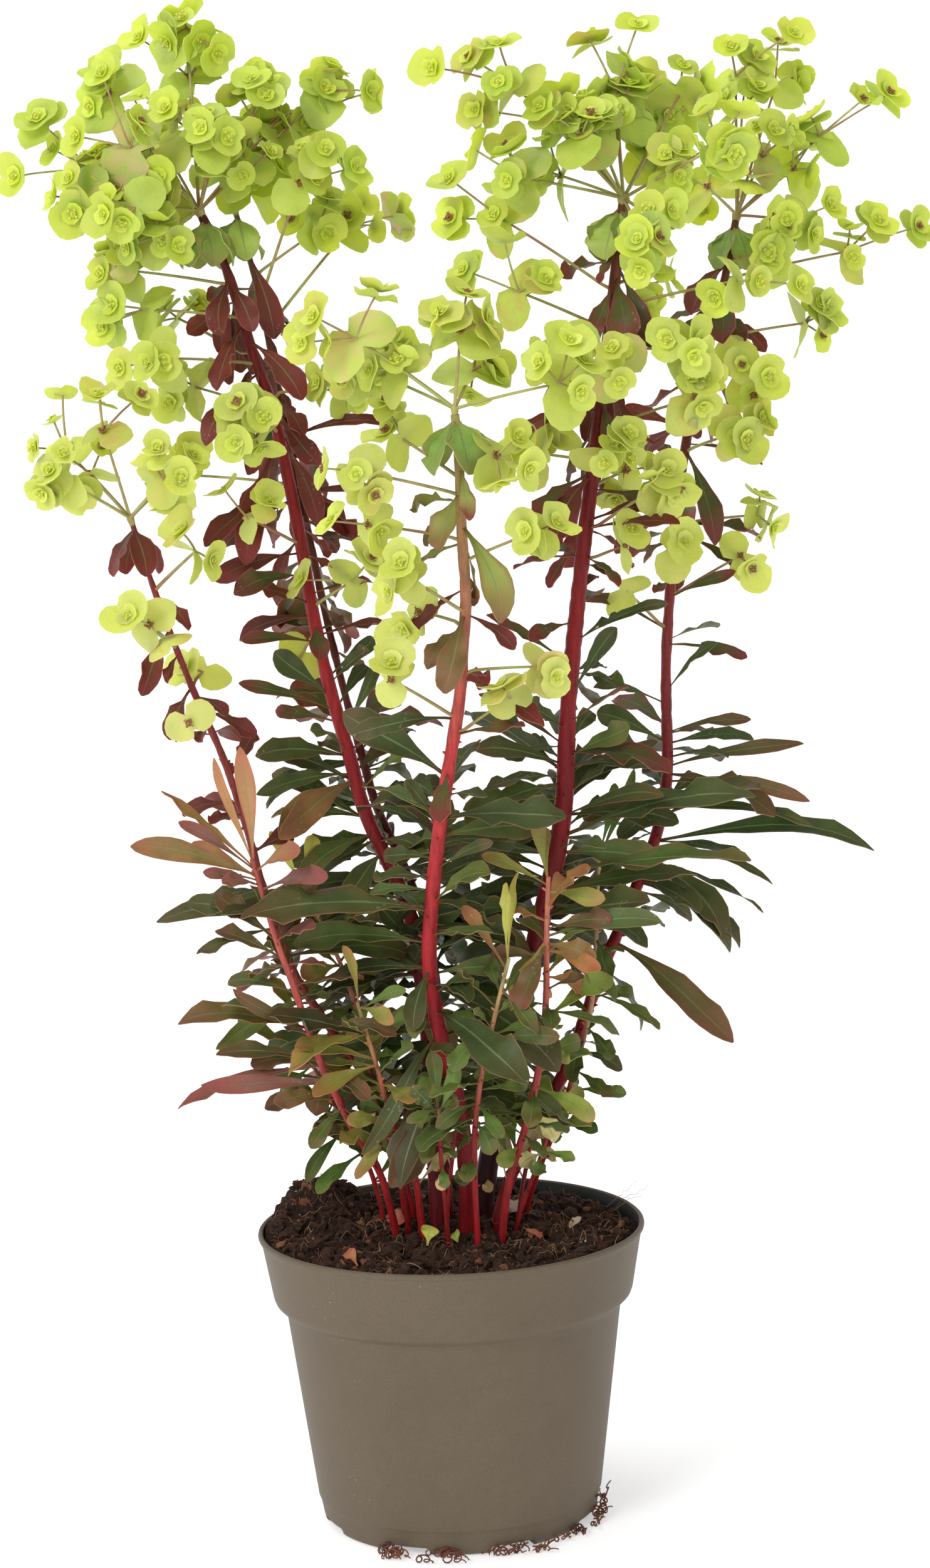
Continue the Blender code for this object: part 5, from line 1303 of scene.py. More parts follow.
def stem_run(stem):
    """The points of a stem: two down in its hole and at the soil, and those above it."""
    points = [place(*point) for point in stem[2]]
    foot = points[0]
    soil = soil_height(foot.x, foot.y)
    deep = Vector((foot.x, foot.y, soil - HOLE_DEPTH + SEAT_GAP))
    level = Vector((foot.x, foot.y, soil + LEVEL_ABOVE_SOIL))
    return [deep, level], [point for point in points[1:] if point.z > soil + FREE_ABOVE_SOIL]


def at_row(route, row):
    """The point, direction and depth where a stem crosses a row of the picture."""
    for (c0, r0, d0), (c1, r1, d1) in zip(route, route[1:]):
        if r1 <= row <= r0:
            part = (r0 - row) / (r0 - r1)
            point = place(c0 + (c1 - c0) * part, row, d0 + (d1 - d0) * part)
            ahead = place(c1, r1, d1) - place(c0, r0, d0)
            return point, ahead.normalized(), d0 + (d1 - d0) * part
    low = route[0] if row > route[0][1] else route[-1]
    ahead = place(*route[-1]) - place(*route[-2])
    return place(*low), ahead.normalized(), low[2]


def radius_at(stem, height):
    """A stem's measured radius at a height: it thins faster near its top."""
    foot, top, route = stem[:3]
    low = place(*route[0]).z
    high = place(*route[-1]).z
    part = min(1.0, max(0.0, (height - low) / (high - low)))
    return foot + (top - foot) * part ** 0.7

# %% [markdown]
# The plan keeps two kinds of notes: a leaf's root, tip, width and facing, and a spray's
# start, its disc of bracts, and its cups.

# %% Planning leaves and sprays
WHORL_FACING = 0.4


class Plan:
    """The plan of the plant: its stems and hubs, and notes on its leaves and sprays."""

    def __init__(self):
        self.dice = random.Random(SEED)
        self.thicket = Thicket()
        self.lost = []
        self.stems = {}
        self.hubs = {}
        self.leaves = []
        self.sprays = []

    def raise_stem(self, node, stem):
        buried, free = stem_run(stem)
        run = buried + bends(free)
        radii = [radius_at(stem, point.z) for point in run]
        self.stems[node] = (run, radii)
        self.thicket.add(tube(run, radii, 6 if max(radii) > 3.5 else 5), node, "stem")

    def raise_hub(self, node, stem_node):
        run, radii = self.stems[stem_node]
        axis = (run[-1] - run[-2]).normalized()
        base = run[-1] + axis * SEAT_GAP
        self.hubs[node] = (base, axis, radii[-1])
        self.thicket.add(hub(base, axis, radii[-1], HUB_HEIGHT), node, "hub")

    def heart(self, node):
        """The middle of the swelling from which a head's rays spread."""
        base, axis, _ = self.hubs[node]
        return base + axis * (HUB_HEIGHT / 2)

    def grow_leaf(self, node, stem, row, tip, wide, turn_to_viewer=0.7, crowded=False):
        """Try a leaf in its place, then bent a little more each time, until it is clear."""

        def own_stem(group, kind):
            return (group == node and kind == "stem") or (crowded and kind == "leaf")

        def own_node(group, kind):
            return group == node or (crowded and kind == "leaf")

        point, ahead, _ = at_row(stem[2], row)
        radius = radius_at(stem, point.z)
        out = square_to(ahead, tip - point)
        root = point + out * max(radius - ROOT_SUNK, radius * 0.3)
        span = tip - root
        long = span.length
        for attempt, twist in enumerate(TWISTS):
            shrink = 1.0 if attempt < FULL_LENGTH_TRIES else SHORTENED
            moved = root + span * shrink + TO_VIEWER * (twist * long * TWIST_STEP)
            moved += UP * (twist * twist * TWIST_LIFT) * (1 if attempt % 2 else -1)
            heading = (moved - root).normalized()
            rise = UP * (LEAF_RISE * long) + out * (LEAF_ARCH * long)
            sway = Vector((self.dice.uniform(-0.3, 0.3), 0.0, self.dice.uniform(-0.2, 0.3)))
            face = square_to(heading, UP * 0.6 + TO_VIEWER * turn_to_viewer + out * 0.2 + sway)
            shape = blade(root, moved, rise, wide, face)
            fat = blade(root + (moved - root) * 0.16, moved, rise * 0.8, wide, face, CLEARANCE)
            if self.thicket.clear(fat, own_stem) and self.thicket.clear(shape, own_node):
                self.thicket.add(shape, node, "leaf")
                self.leaves.append({
                    "node": node, "row": row, "root": root, "tip": moved, "rise": rise,
                    "wide": wide, "face": face, "whorl": turn_to_viewer == WHORL_FACING})
                return True
        self.lost.append((node, "leaf", row))
        return False

    def grow_seen(self, node, stem, leaves):
        """Leaves that the photograph shows, each from its root to its tip."""
        for row, column, tip_row, ahead, wide in leaves:
            depth = at_row(stem[2], row)[2]
            tip = place(column, tip_row, depth - ahead * DEPTH_OF_LEAVES)
            self.grow_leaf(node, stem, row, tip, wide)

    def spray_shapes(self, start, first, centre, cups, look, swell):
        """A ray with its pair of bracts and its cups; the first cup is in one with it."""
        size, rough, sizes, spin = look
        ray = (centre - first).normalized()
        face = (ray * 0.7 + TO_VIEWER * 0.62 + UP * 0.12
                + Vector((spin[0] * 0.2, 0.0, spin[1] * 0.2))).normalized()
        hint = Vector((0.4 + spin[2], 0.0, 1.0 if spin[1] > 0 else 0.35))
        ahead = (first - start).normalized() if first is not start else ray
        chain = Chain(start, ahead, hint, RAY_RADIUS + swell)
        if first is not start:
            chain.stalk(first, ray, RAY_RADIUS + swell)
        chain.disc(centre, face, BRACT_RIM, size, BRACT_ASPECT, rough, RAY_RADIUS + swell, swell,
                   bool(cups) and not swell)
        shapes = [chain]
        for number, (cup, wide) in enumerate(zip(cups, sizes)):
            away = cup - centre
            cup_face = (away.normalized() * 0.55 + TO_VIEWER * 0.85 + UP * 0.12
                        + Vector((spin[1] * 0.12, 0.0, spin[2] * 0.12))).normalized()
            if swell:
                chain = Chain(centre + away * 0.4, away.normalized(), hint, TWIG_RADIUS + swell)
                shapes.append(chain)
            elif number:
                aside = square_to(face, away) * (2.2 if away.length > 4 else 1.0)
                chain = Chain(centre + aside, away.normalized(), hint, TWIG_RADIUS * 0.7)
                shapes.append(chain)
            chain.disc(cup, cup_face, CUP_RIM, wide, CUP_ASPECT, rough[::-1],
                       TWIG_RADIUS + swell, swell, False)
        return shapes

    def grow_spray(self, node, start, first, bracts, cups, small=False):
        """Place a ray with its bracts and cups, moved in depth until it is clear."""

        def any_hub(group, kind):
            return kind == "hub"

        def own_node(group, kind):
            return group == node

        dice = self.dice
        rough = [dice.uniform(-1.0, 1.0) for _ in range(10)]
        sizes = [CUP_HALF_WIDTH * dice.uniform(0.82, 1.12) for _ in cups]
        spin = [dice.uniform(-1.0, 1.0) for _ in range(3)]
        size = BRACT_HALF_WIDTH * (0.9 if small else 1.0) * (1 + rough[0] * 0.08)
        look = (size, rough, sizes, spin)
        for shift in SHIFTS:
            move = FORWARD * -shift
            centre = bracts + move
            tops = [cup + move for cup in cups]
            ray = (centre - first).normalized()
            beyond = first + ray * (1.0 if small else HUB_CLEAR)
            fat = [chain.shape() for chain in
                   self.spray_shapes(beyond, beyond, centre, tops, look, CLEARANCE)]
            chains = self.spray_shapes(start, first, centre, tops, look, 0.0)
            real = [chain.shape() for chain in chains]
            if (all(self.thicket.clear(shape, any_hub) for shape in fat)
                    and all(self.thicket.clear(shape, own_node) for shape in real)):
                for shape in real:
                    self.thicket.add(shape, node, "flower")
                self.sprays.append({
                    "node": node, "start": start, "first": first,
                    "discs": [disc for chain in chains for disc in chain.discs]})
                return True
        self.lost.append((node, "spray"))
        return False

# %% Raise the stems
plan = Plan()
STEMS = {"flowering_stem_" + name: stem for name, stem in FLOWERING_STEMS.items()}
STEMS.update(("young_shoot_" + name, stem) for name, stem in YOUNG_SHOOTS.items())
for node, stem in STEMS.items():
    plan.raise_stem(node, stem)
print("stems:", len(plan.stems))

# %% The rays of the heads
FAR_SIDE = -8
NEAR_CUPS = (7.0, 1.0, 12.0, -5.0)
FAR_CUPS = (-6.0, 4.0, -12.0, 0.0)
RAY_STEP = 0.17


def cup_places(cups, depth, ahead):
    """Cups stand in front of their bracts, or behind them on the plant's far side."""
    steps = NEAR_CUPS if ahead > FAR_SIDE else FAR_CUPS
    return [place(column, row, depth - step) for (column, row), step in zip(cups, steps)]


for name, stem in FLOWERING_STEMS.items():
    node = "flower_head_" + name
    plan.raise_hub(node, "flowering_stem_" + name)
    heart = plan.heart(node)
    depth = stem[2][-1][2]
    for number, (column, row, ahead, cups) in enumerate(HEADS[name]):
        back = depth - ahead * DEPTH_OF_SPRAYS
        bracts = place(column, row, back)
        start = heart + (bracts - heart).normalized() * (RAY_STEP * number)
        plan.grow_spray(node, start, start, bracts, cup_places(cups, back, ahead))
print("rays:", len(plan.sprays))

# %% The side sprays
for name, stem in FLOWERING_STEMS.items():
    for row, column, bract_row, ahead, cups in SIDE_SPRAYS[name]:
        point, heading, depth = at_row(stem[2], row)
        back = depth - ahead * DEPTH_OF_SPRAYS
        bracts = place(column, bract_row, back)
        out = square_to(heading, bracts - point)
        root = point + out * (radius_at(stem, point.z) * 0.4)
        first = point + out * (radius_at(stem, point.z) + 3.0) + heading * 2.0
        plan.grow_spray("flowering_stem_" + name, root, first, bracts,
                        cup_places(cups, back, ahead), small=True)
print("rays and side sprays:", len(plan.sprays))

# %% The whorls and the leaves that are seen
# A whorl's leaf: its way out and down as parts of its length, rows below the stem's top.
WHORL_OUT, WHORL_DOWN = 0.72, 0.68
WHORL_BELOW, WHORL_ROWS = 10, 3
for name, stem in FLOWERING_STEMS.items():
    node = "flowering_stem_" + name
    count, long, wide = WHORLS[name]
    top_row = stem[2][-1][1]
    point = at_row(stem[2], top_row + 8)[0]
    for step in range(count):
        turn = math.tau * (step + 0.35) / count
        spoke = Vector((math.sin(turn), -math.cos(turn), 0.0))
        reach = spoke * (long * WHORL_OUT) - UP * (long * WHORL_DOWN)
        row = top_row + WHORL_BELOW + WHORL_ROWS * (step % 3)
        plan.grow_leaf(node, stem, row, point + reach, wide, WHORL_FACING)
    plan.grow_seen(node, stem, SEEN_LEAVES[name])
for name, stem in YOUNG_SHOOTS.items():
    plan.grow_seen("young_shoot_" + name, stem, stem[3])
print("leaves that are seen:", len(plan.leaves))

# %% The leaves on the far side
# Half the fan behind a stem in degrees, the golden part of it from leaf to leaf, and the
# length and width of the uppermost leaf in mm with what the lowest one has more.
FAR_FAN = 62
GOLDEN_PART = 0.618
FAR_LONG, FAR_LONGER = 34, 24
FAR_WIDE, FAR_WIDER = 11, 3
for name, stem in FLOWERING_STEMS.items():
    first, last, count = HIDDEN_LEAVES[name]
    for step in range(count):
        part = step / (count - 1)
        row = first + (last - first) * part ** 0.8
        point = at_row(stem[2], row)[0]
        turn = math.radians(-FAR_FAN + 2 * FAR_FAN * ((step * GOLDEN_PART) % 1.0))
        long = FAR_LONG + FAR_LONGER * part + plan.dice.uniform(-4, 4)
        spoke = Vector((math.sin(turn), math.cos(turn), 0.0))
        droop = plan.dice.uniform(-0.55, 0.1) + 0.35 * part
        tip = point + spoke * long * 0.9 + UP * (long * droop)
        plan.grow_leaf("flowering_stem_" + name, stem, row, tip, FAR_WIDE + FAR_WIDER * part,
                       0.0)
print("leaves", len(plan.leaves), "sprays", len(plan.sprays), "without a clear place",
      len(plan.lost))

# %% [markdown]
# ### More leaves than the solids hold
#
# The solids carry the leaves that give the plant its outline. A real stem holds a leaf
# every few millimetres, each turned by the golden angle from the last so that none shades
# the next. The same rule fills the middle of the plant: a new leaf takes the first place
# that is clear of the others, and where the plant is full it may rest against them. A few
# thin sprouts at the foot are filled in the same way. The leaves that stand out in the
# photograph come first: a few large ones close to the viewer and the small pale ones at
# the foot, each set one by one with its own colour.

# %% Sprouts, and how much grows where
GOLDEN_TURN = math.radians(137.5)
LOWEST_TIP = 196.0
SPROUTS = {
    # name: radius at the foot and the top, route
    "sprout_1": (1.7, 1.2, ((652, 1950, -4), (640, 1880, -8), (618, 1800, -12), (590, 1730, -16))),
    "sprout_2": (1.8, 1.2, ((672, 1964, -16), (664, 1890, -18), (650, 1810, -20), (640, 1740, -22))),
    "sprout_3": (1.6, 1.1, ((690, 1950, 14), (686, 1880, 16), (680, 1800, 18), (684, 1720, 20))),
    "sprout_4": (1.6, 1.1, ((712, 1972, -24), (716, 1900, -26), (722, 1850, -28), (728, 1800, -30))),
    "sprout_5": (1.7, 1.2, ((802, 1962, -8), (812, 1890, -4), (832, 1820, 0), (858, 1750, 4))),
    "sprout_6": (1.6, 1.1, ((826, 1950, 10), (836, 1880, 14), (850, 1810, 18), (872, 1730, 22))),
}
FILLING = (
    # stem, first and last row, count, length in mm and rise in degrees at both, front share
    ("flowering_stem_left", 1080, 1300, 6, (20, 24), (-30, -10), 0.8),
    ("flowering_stem_left", 1430, 1820, 22, (42, 56), (0, -32), 0.1),
    ("flowering_stem_tall_left", 440, 960, 24, (34, 40), (-70, -40), 0.9),
    ("flowering_stem_tall_left", 970, 1140, 7, (28, 34), (5, 15), 0.7),
    ("flowering_stem_tall_left", 1190, 1560, 31, (40, 56), (12, -24), 0.7),
    ("flowering_stem_tall_left", 1570, 1790, 18, (58, 40), (-16, -34), 0.6),
    ("flowering_stem_twin", 420, 960, 18, (30, 34), (-65, -30), 0.8),
    ("flowering_stem_twin", 1130, 1780, 44, (44, 62), (10, -35), 0.7),
    ("flowering_stem_middle", 800, 1000, 5, (26, 30), (-55, -40), 0.5),
    ("flowering_stem_middle", 1230, 1780, 33, (44, 66), (12, -34), 0.45),
    ("flowering_stem_middle", 1260, 1620, 12, (40, 56), (0, -20), 0.0),
    ("flowering_stem_tall_right", 420, 900, 22, (32, 38), (-65, -30), 0.8),
    ("flowering_stem_tall_right", 930, 1110, 7, (30, 36), (0, 15), 0.7),
    ("flowering_stem_tall_right", 1180, 1500, 42, (44, 66), (14, -8), 0.7),
    ("flowering_stem_tall_right", 1510, 1820, 8, (44, 28), (-25, -50), 0.2),
    ("flowering_stem_right", 440, 900, 18, (28, 34), (-60, -20), 0.8),
    ("flowering_stem_right", 1150, 1440, 22, (36, 54), (8, -12), 0.7),
    ("flowering_stem_right", 1440, 1780, 8, (40, 24), (-25, -50), 0.3),
    ("young_shoot_1", 1440, 1800, 30, (28, 30), (35, -20), 0.9),
    ("young_shoot_2", 1580, 1800, 20, (24, 26), (40, -20), 0.9),
    ("young_shoot_3", 1640, 1830, 20, (24, 26), (30, -20), 0.9),
    ("young_shoot_4", 1450, 1600, 14, (28, 32), (35, 5), 0.0),
    ("young_shoot_4", 1610, 1860, 20, (32, 36), (0, -35), 0.8),
    ("young_shoot_5", 1440, 1870, 34, (30, 36), (35, -35), 0.3),
    ("young_shoot_6", 1440, 1860, 18, (22, 24), (30, -35), 0.9),
    ("young_shoot_7", 1660, 1890, 22, (22, 26), (30, -25), 0.9),
    ("young_shoot_8", 1700, 1850, 12, (16, 18), (30, -15), 0.9),
    ("young_shoot_9", 1680, 1810, 11, (18, 20), (30, -15), 0.9),
    ("sprout_1", 1735, 1880, 12, (20, 18), (35, -15), 0.9),
    ("sprout_2", 1745, 1900, 12, (18, 18), (35, -15), 0.9),
    ("sprout_3", 1725, 1820, 8, (20, 18), (35, -15), 0.9),
    ("sprout_4", 1805, 1870, 6, (13, 12), (35, -15), 0.9),
    ("sprout_5", 1755, 1900, 9, (18, 16), (35, -15), 0.9),
    ("sprout_6", 1735, 1890, 8, (18, 16), (35, -15), 0.9),
)

# %% Leaves set one by one
CLOSE_LEAVES = (
    # leaves close to the viewer: stem, row of the root, tip, mm ahead, mm of width, kind
    ("flowering_stem_middle", 1450, 384, 1462, 34, 21.0, "forest"),
    ("flowering_stem_tall_left", 1246, 446, 1340, 40, 17.0, "umber"),
    ("flowering_stem_middle", 1700, 622, 1890, 30, 18.0, "pine"),
    ("flowering_stem_middle", 1546, 656, 1664, 24, 11.0, "forest"),
    ("flowering_stem_middle", 1584, 748, 1560, 22, 12.0, "forest"),
    ("flowering_stem_right", 1372, 1166, 1484, 30, 17.0, "forest"),
    ("flowering_stem_right", 1404, 1116, 1446, 24, 14.0, "forest"),
    ("young_shoot_3", 1652, 432, 1616, 12, 15.0, "pine"),
    ("young_shoot_3", 1690, 470, 1672, 16, 11.0, "olive"),
    ("young_shoot_4", 1700, 284, 1770, 8, 10.0, "rose"),
    ("young_shoot_4", 1730, 332, 1740, 16, 9.0, "rose"),
    ("young_shoot_1", 1504, 816, 1612, 12, 15.0, "olive"),
    ("young_shoot_1", 1506, 952, 1546, 14, 12.0, "umber"),
    ("flowering_stem_tall_left", 706, 392, 900, 24, 14.0, "wine"),
    ("flowering_stem_tall_left", 800, 326, 872, 22, 15.0, "wine"),
    ("flowering_stem_tall_right", 1878, 780, 1902, 12, 6.0, "straw"),
    ("young_shoot_9", 1868, 704, 1898, 9, 6.5, "straw"),
    ("flowering_stem_middle", 1854, 738, 1890, 12, 9.0, "moss"),
    ("flowering_stem_tall_right", 1796, 748, 1838, 14, 8.0, "cream"),
    ("young_shoot_1", 1774, 889, 1820, 6, 11.0, "cream"),
    ("young_shoot_8", 1842, 828, 1878, 8, 9.0, "cream"),
    ("young_shoot_1", 1828, 798, 1862, 8, 9.0, "sprout"),
    ("sprout_4", 1840, 692, 1868, 8, 6.0, "cream"),
    ("sprout_3", 1822, 664, 1852, 8, 7.0, "cream"),
    ("young_shoot_6", 1850, 884, 1838, 4, 9.0, "cream"),
    ("young_shoot_2", 1790, 786, 1842, 8, 9.0, "moss"),
)


def fit_leaf(node, stem, row, tip, wide, turn_to_viewer):
    """Grow a leaf clear of all others, or else where it rests against other leaves."""
    return any(plan.grow_leaf(node, stem, row, tip, wide, turn_to_viewer, crowded)
               for crowded in (False, True))

# %% The rule that fills a stem
def fill_stem(node, first, last, count, long, rise, front):
    stem = STEMS[node]
    dice = plan.dice
    turn = dice.uniform(0.0, math.tau)
    for step in range(count):
        part = (step + 0.5) / count
        row = first + (last - first) * part
        point = at_row(stem[2], row)[0]
        turn += GOLDEN_TURN + dice.uniform(-0.25, 0.25)
        spoke = level_spoke(turn)
        if spoke.y < -front:
            spoke.y = -spoke.y
        reach = (long[0] + (long[1] - long[0]) * part) * dice.uniform(0.54, 1.4)
        tilt = math.radians(rise[0] + (rise[1] - rise[0]) * part + dice.uniform(-24, 24))
        tip = point + spoke * (reach * math.cos(tilt)) + UP * (reach * math.sin(tilt))
        tip.z = max(tip.z, LOWEST_TIP)
        fit_leaf(node, stem, row, tip, reach * dice.uniform(0.17, 0.29) + 2.0, 0.45)

# %% Fill the plant
STEMS.update(SPROUTS)
for node, stem in SPROUTS.items():
    plan.raise_stem(node, stem)
for node, row, column, tip_row, ahead, wide, kind in CLOSE_LEAVES:
    stem = STEMS[node]
    tip = place(column, tip_row, at_row(stem[2], row)[2] - ahead)
    if fit_leaf(node, stem, row, tip, wide, 0.7):
        plan.leaves[-1]["kind"] = kind
    else:
        print("no room for the leaf of", node, "at row", row)
grown = len(plan.leaves)
for order in FILLING:
    fill_stem(*order)
print("leaves added:", len(plan.leaves) - grown, "of", sum(order[3] for order in FILLING))

# %% [markdown]
# ## Stems and stalks
#
# A stem is a long, slightly crooked tube that gets thinner towards its top. It could be
# extruded ring by ring, but a curve with a round bevel does the same and lets every point
# have its own thickness, so the small swelling under each leaf is only a number. The run of
# points is smoothed a little, since a grown stem has no corners, and then the curve is
# turned into a mesh. The measured solids are only roughly as thick as the real stems, so
# each stem takes its own share of the measured radius: most are drawn slimmer, the middle
# one thicker.

# %% Tubes along a run of points
def stalks(name, runs, finish, round_by=2):
    """Round closed tubes; each run is a list of (point, radius) in mm."""
    curve = bpy.data.curves.new(name, "CURVE")
    curve.dimensions = "3D"
    curve.bevel_depth = MM
    curve.bevel_resolution = round_by
    curve.use_fill_caps = True
    for run in runs:
        spline = curve.splines.new("POLY")
        spline.points.add(len(run) - 1)
        for knot, (point, radius) in zip(spline.points, run):
            knot.co = (point.x * MM, point.y * MM, point.z * MM, 1.0)
            knot.radius = radius
    thing = bpy.data.objects.new(name, curve)
    bpy.context.scene.collection.objects.link(thing)
    pick(thing)
    bpy.ops.object.convert(target="MESH")
    thing = fresh(name)
    thing.data.materials.clear()
    thing.data.materials.append(finish)
    smooth(thing, 60.0)
    return thing


def stepped(points, step):
    """The same run with a point every few mm."""
    dense = [points[0]]
    for near, beyond in zip(points, points[1:]):
        count = max(1, round((beyond - near).length / step))
        dense += [near.lerp(beyond, (k + 1) / count) for k in range(count)]
    return dense


def eased(points, reach):
    """Round off the corners of a run by averaging each point with its neighbours."""
    soft = []
    for index, point in enumerate(points):
        wide = min(reach, index, len(points) - 1 - index)
        near = points[index - wide:index + wide + 1]
        soft.append(sum(near, Vector()) / len(near))
    return soft


def bowed(start, end, lean, steps, thick, thin):
    """A stalk from start to end that sets out along lean."""
    bend = start.lerp(end, 0.5) + lean
    run = []
    for k in range(steps + 1):
        part = k / steps
        point = start * (1 - part) ** 2 + bend * (2 * part * (1 - part)) + end * part ** 2
        run.append((point, thick + (thin - thick) * part))
    return run

# %% The stems and the sprouts
STEM_STEP = 2.2
STEM_EASE = 5
# The swelling under a leaf: part of the radius, mm from the leaf's root, and its spread.
SCAR_SWELL, SCAR_AWAY, SCAR_SPREAD = 0.11, 2.0, 2.2
STEM_GRAIN = 0.03
TOP_TAPER = 0.28
# Stubs of fallen leaves: the rows they grow between, the share spared, the turn from one
# to the next, and the radius at the root, on the way and at the end.
STUB_ROWS = (1180, 1900)
STUB_SPARED = 0.55
STUB_TURN = 2.4
STUB_RADII = (0.75, 0.6, 0.35)
SLENDER = {"left": 0.72, "tall_left": 0.84, "twin": 0.66, "middle": 1.30, "tall_right": 0.86,
           "right": 0.86}
SHOOT_SLENDER = 0.74
detail = random.Random(SEED + 1)


def thickened(node, stem, slender, run):
    """The run of a stem with its radius at every point."""
    knots = [leaf["root"] for leaf in plan.leaves if leaf["node"] == node]
    knots += [spray["start"] for spray in plan.sprays if spray["node"] == node]
    tube_run = []
    for index, point in enumerate(run):
        nearest = min(((point - knot).length for knot in knots), default=99.0)
        swell = SCAR_SWELL * math.exp(-((nearest - SCAR_AWAY) / SCAR_SPREAD) ** 2)
        grain = STEM_GRAIN * noise.noise(point * 0.16)
        slim = slender * (1.0 - TOP_TAPER * (index / len(run)) ** 5)
        tube_run.append((point, radius_at(stem, point.z) * (slim + swell + grain)))
    return tube_run


def stubs(stem, slender, run):
    """Short stubs round a stem, where leaves have fallen."""
    high, low = (at_row(stem[2], row)[0].z for row in STUB_ROWS)
    turn = detail.uniform(0.0, math.tau)
    tubes = []
    for point, ahead in zip(run, run[1:]):
        if not low < point.z < high or detail.random() < STUB_SPARED:
            continue
        turn += STUB_TURN
        heading = (ahead - point).normalized()
        side = square_to(heading, Vector((math.cos(turn), math.sin(turn), 0.2)))
        radius = radius_at(stem, point.z)
        root = point + side * (radius * slender - 0.5)
        end = root + side * detail.uniform(0.9, 2.4) + heading * detail.uniform(0.2, 1.4)
        tubes.append(list(zip((root, root.lerp(end, 0.6), end), STUB_RADII)))
    return tubes


def make_stem(node, stem, colours):
    slender = SLENDER.get(short_name(node), SHOOT_SLENDER)
    buried, free = stem_run(stem)
    run = eased(stepped(buried + free, STEM_STEP), STEM_EASE)
    tubes = [thickened(node, stem, slender, run)] + stubs(stem, slender, run)
    thing = stalks("stem_of_" + node, tubes, stem_finish("stem_" + node, colours), 4)
    stand_for(thing, "red_stem" if "flowering" in node else "young_shoot", measured(node))


for node, stem in STEMS.items():
    make_stem(node, stem, STEM_COLOURS.get(short_name(node), SPROUT_COLOURS))

# %% [markdown]
# ## Leaves
#
# A leaf is modelled once, flat: a grid whose rows are moved and narrowed to the outline,
# and a Solidify step that gives it a skin and an underside. Three outlines are enough: the
# long lance of the old leaves, the spoon of the upper and young ones, and the broad oval of
# the whorls. Each real leaf is then a copy that is bent along its own curve, creased along
# its rib, rippled at its margin and turned a little, because no two leaves are alike.

# %% Leaf patterns
LEAF_ACROSS = 4
LEAF_SKIN = 0.4
LEAF_STATIONS = (0.0, 0.09, 0.19, 0.29, 0.39, 0.49, 0.59, 0.69, 0.79, 0.88, 0.955, 1.0)
LEAF_OUTLINES = {
    "lance": (0.11, 0.12, 0.26, 0.46, 0.68, 0.86, 0.97, 1.0, 0.93, 0.72, 0.42, 0.07),
    "spoon": (0.12, 0.12, 0.15, 0.28, 0.50, 0.72, 0.90, 1.0, 1.0, 0.86, 0.56, 0.12),
    "oval": (0.15, 0.20, 0.46, 0.74, 0.91, 1.0, 1.0, 0.96, 0.87, 0.70, 0.45, 0.12),
}


def leaf_pattern(name, outline):
    rows = len(LEAF_STATIONS) - 1
    leaf = added("pattern_" + name, bpy.ops.mesh.primitive_grid_add, size=1.0,
                 x_subdivisions=LEAF_ACROSS, y_subdivisions=rows, location=(0.0, 0.5, 0.0),
                 calc_uvs=True)
    settle(leaf)
    edit(leaf)
    for row in range(rows, -1, -1):
        start = row / rows
        pick_points(leaf, lambda co: abs(co.y - start) < 0.004)
        bpy.ops.transform.translate(value=(0.0, LEAF_STATIONS[row] - start, 0.0))
        bpy.ops.transform.resize(value=(outline[row], 1.0, 1.0))
    leave_edit()
    chart = leaf.data.uv_layers.active.data
    for loop in leaf.data.loops:
        chart[loop.index].uv.y = leaf.data.vertices[loop.vertex_index].co.y
    leaf.data.materials.append(LEAF_TOP)
    leaf.data.materials.append(LEAF_UNDER)
    finish_with(leaf, "SOLIDIFY", thickness=LEAF_SKIN, offset=-1.0, material_offset=1,
                material_offset_rim=1)
    smooth(leaf, 60.0)
    print(leaf.name, len(leaf.data.polygons), "faces")
    return leaf


LEAF_PATTERNS = {name: leaf_pattern(name, outline) for name, outline in LEAF_OUTLINES.items()}

# %% Bending a copy of a leaf
WHORL_HANGS = (0.72, 0.72, 1.25)
WHORL_WIDER = 1.20
WHORL_CALM = 0.3
# What chance may do to a leaf: its twist in radians, the rest as parts of its length
# (sway and droop) or of its width (ripple, fold and the curl of its tip).
TWIST = 0.8
SWAY = 0.07
DROOP = (-0.03, 0.13)
RIPPLE = (0.06, 0.19)
WAVES = (1.6, 3.2)
FOLD = (0.12, 0.34)
TIP_CURL = 0.05


def unit(rows):
    return rows / np.linalg.norm(rows, axis=1, keepdims=True)


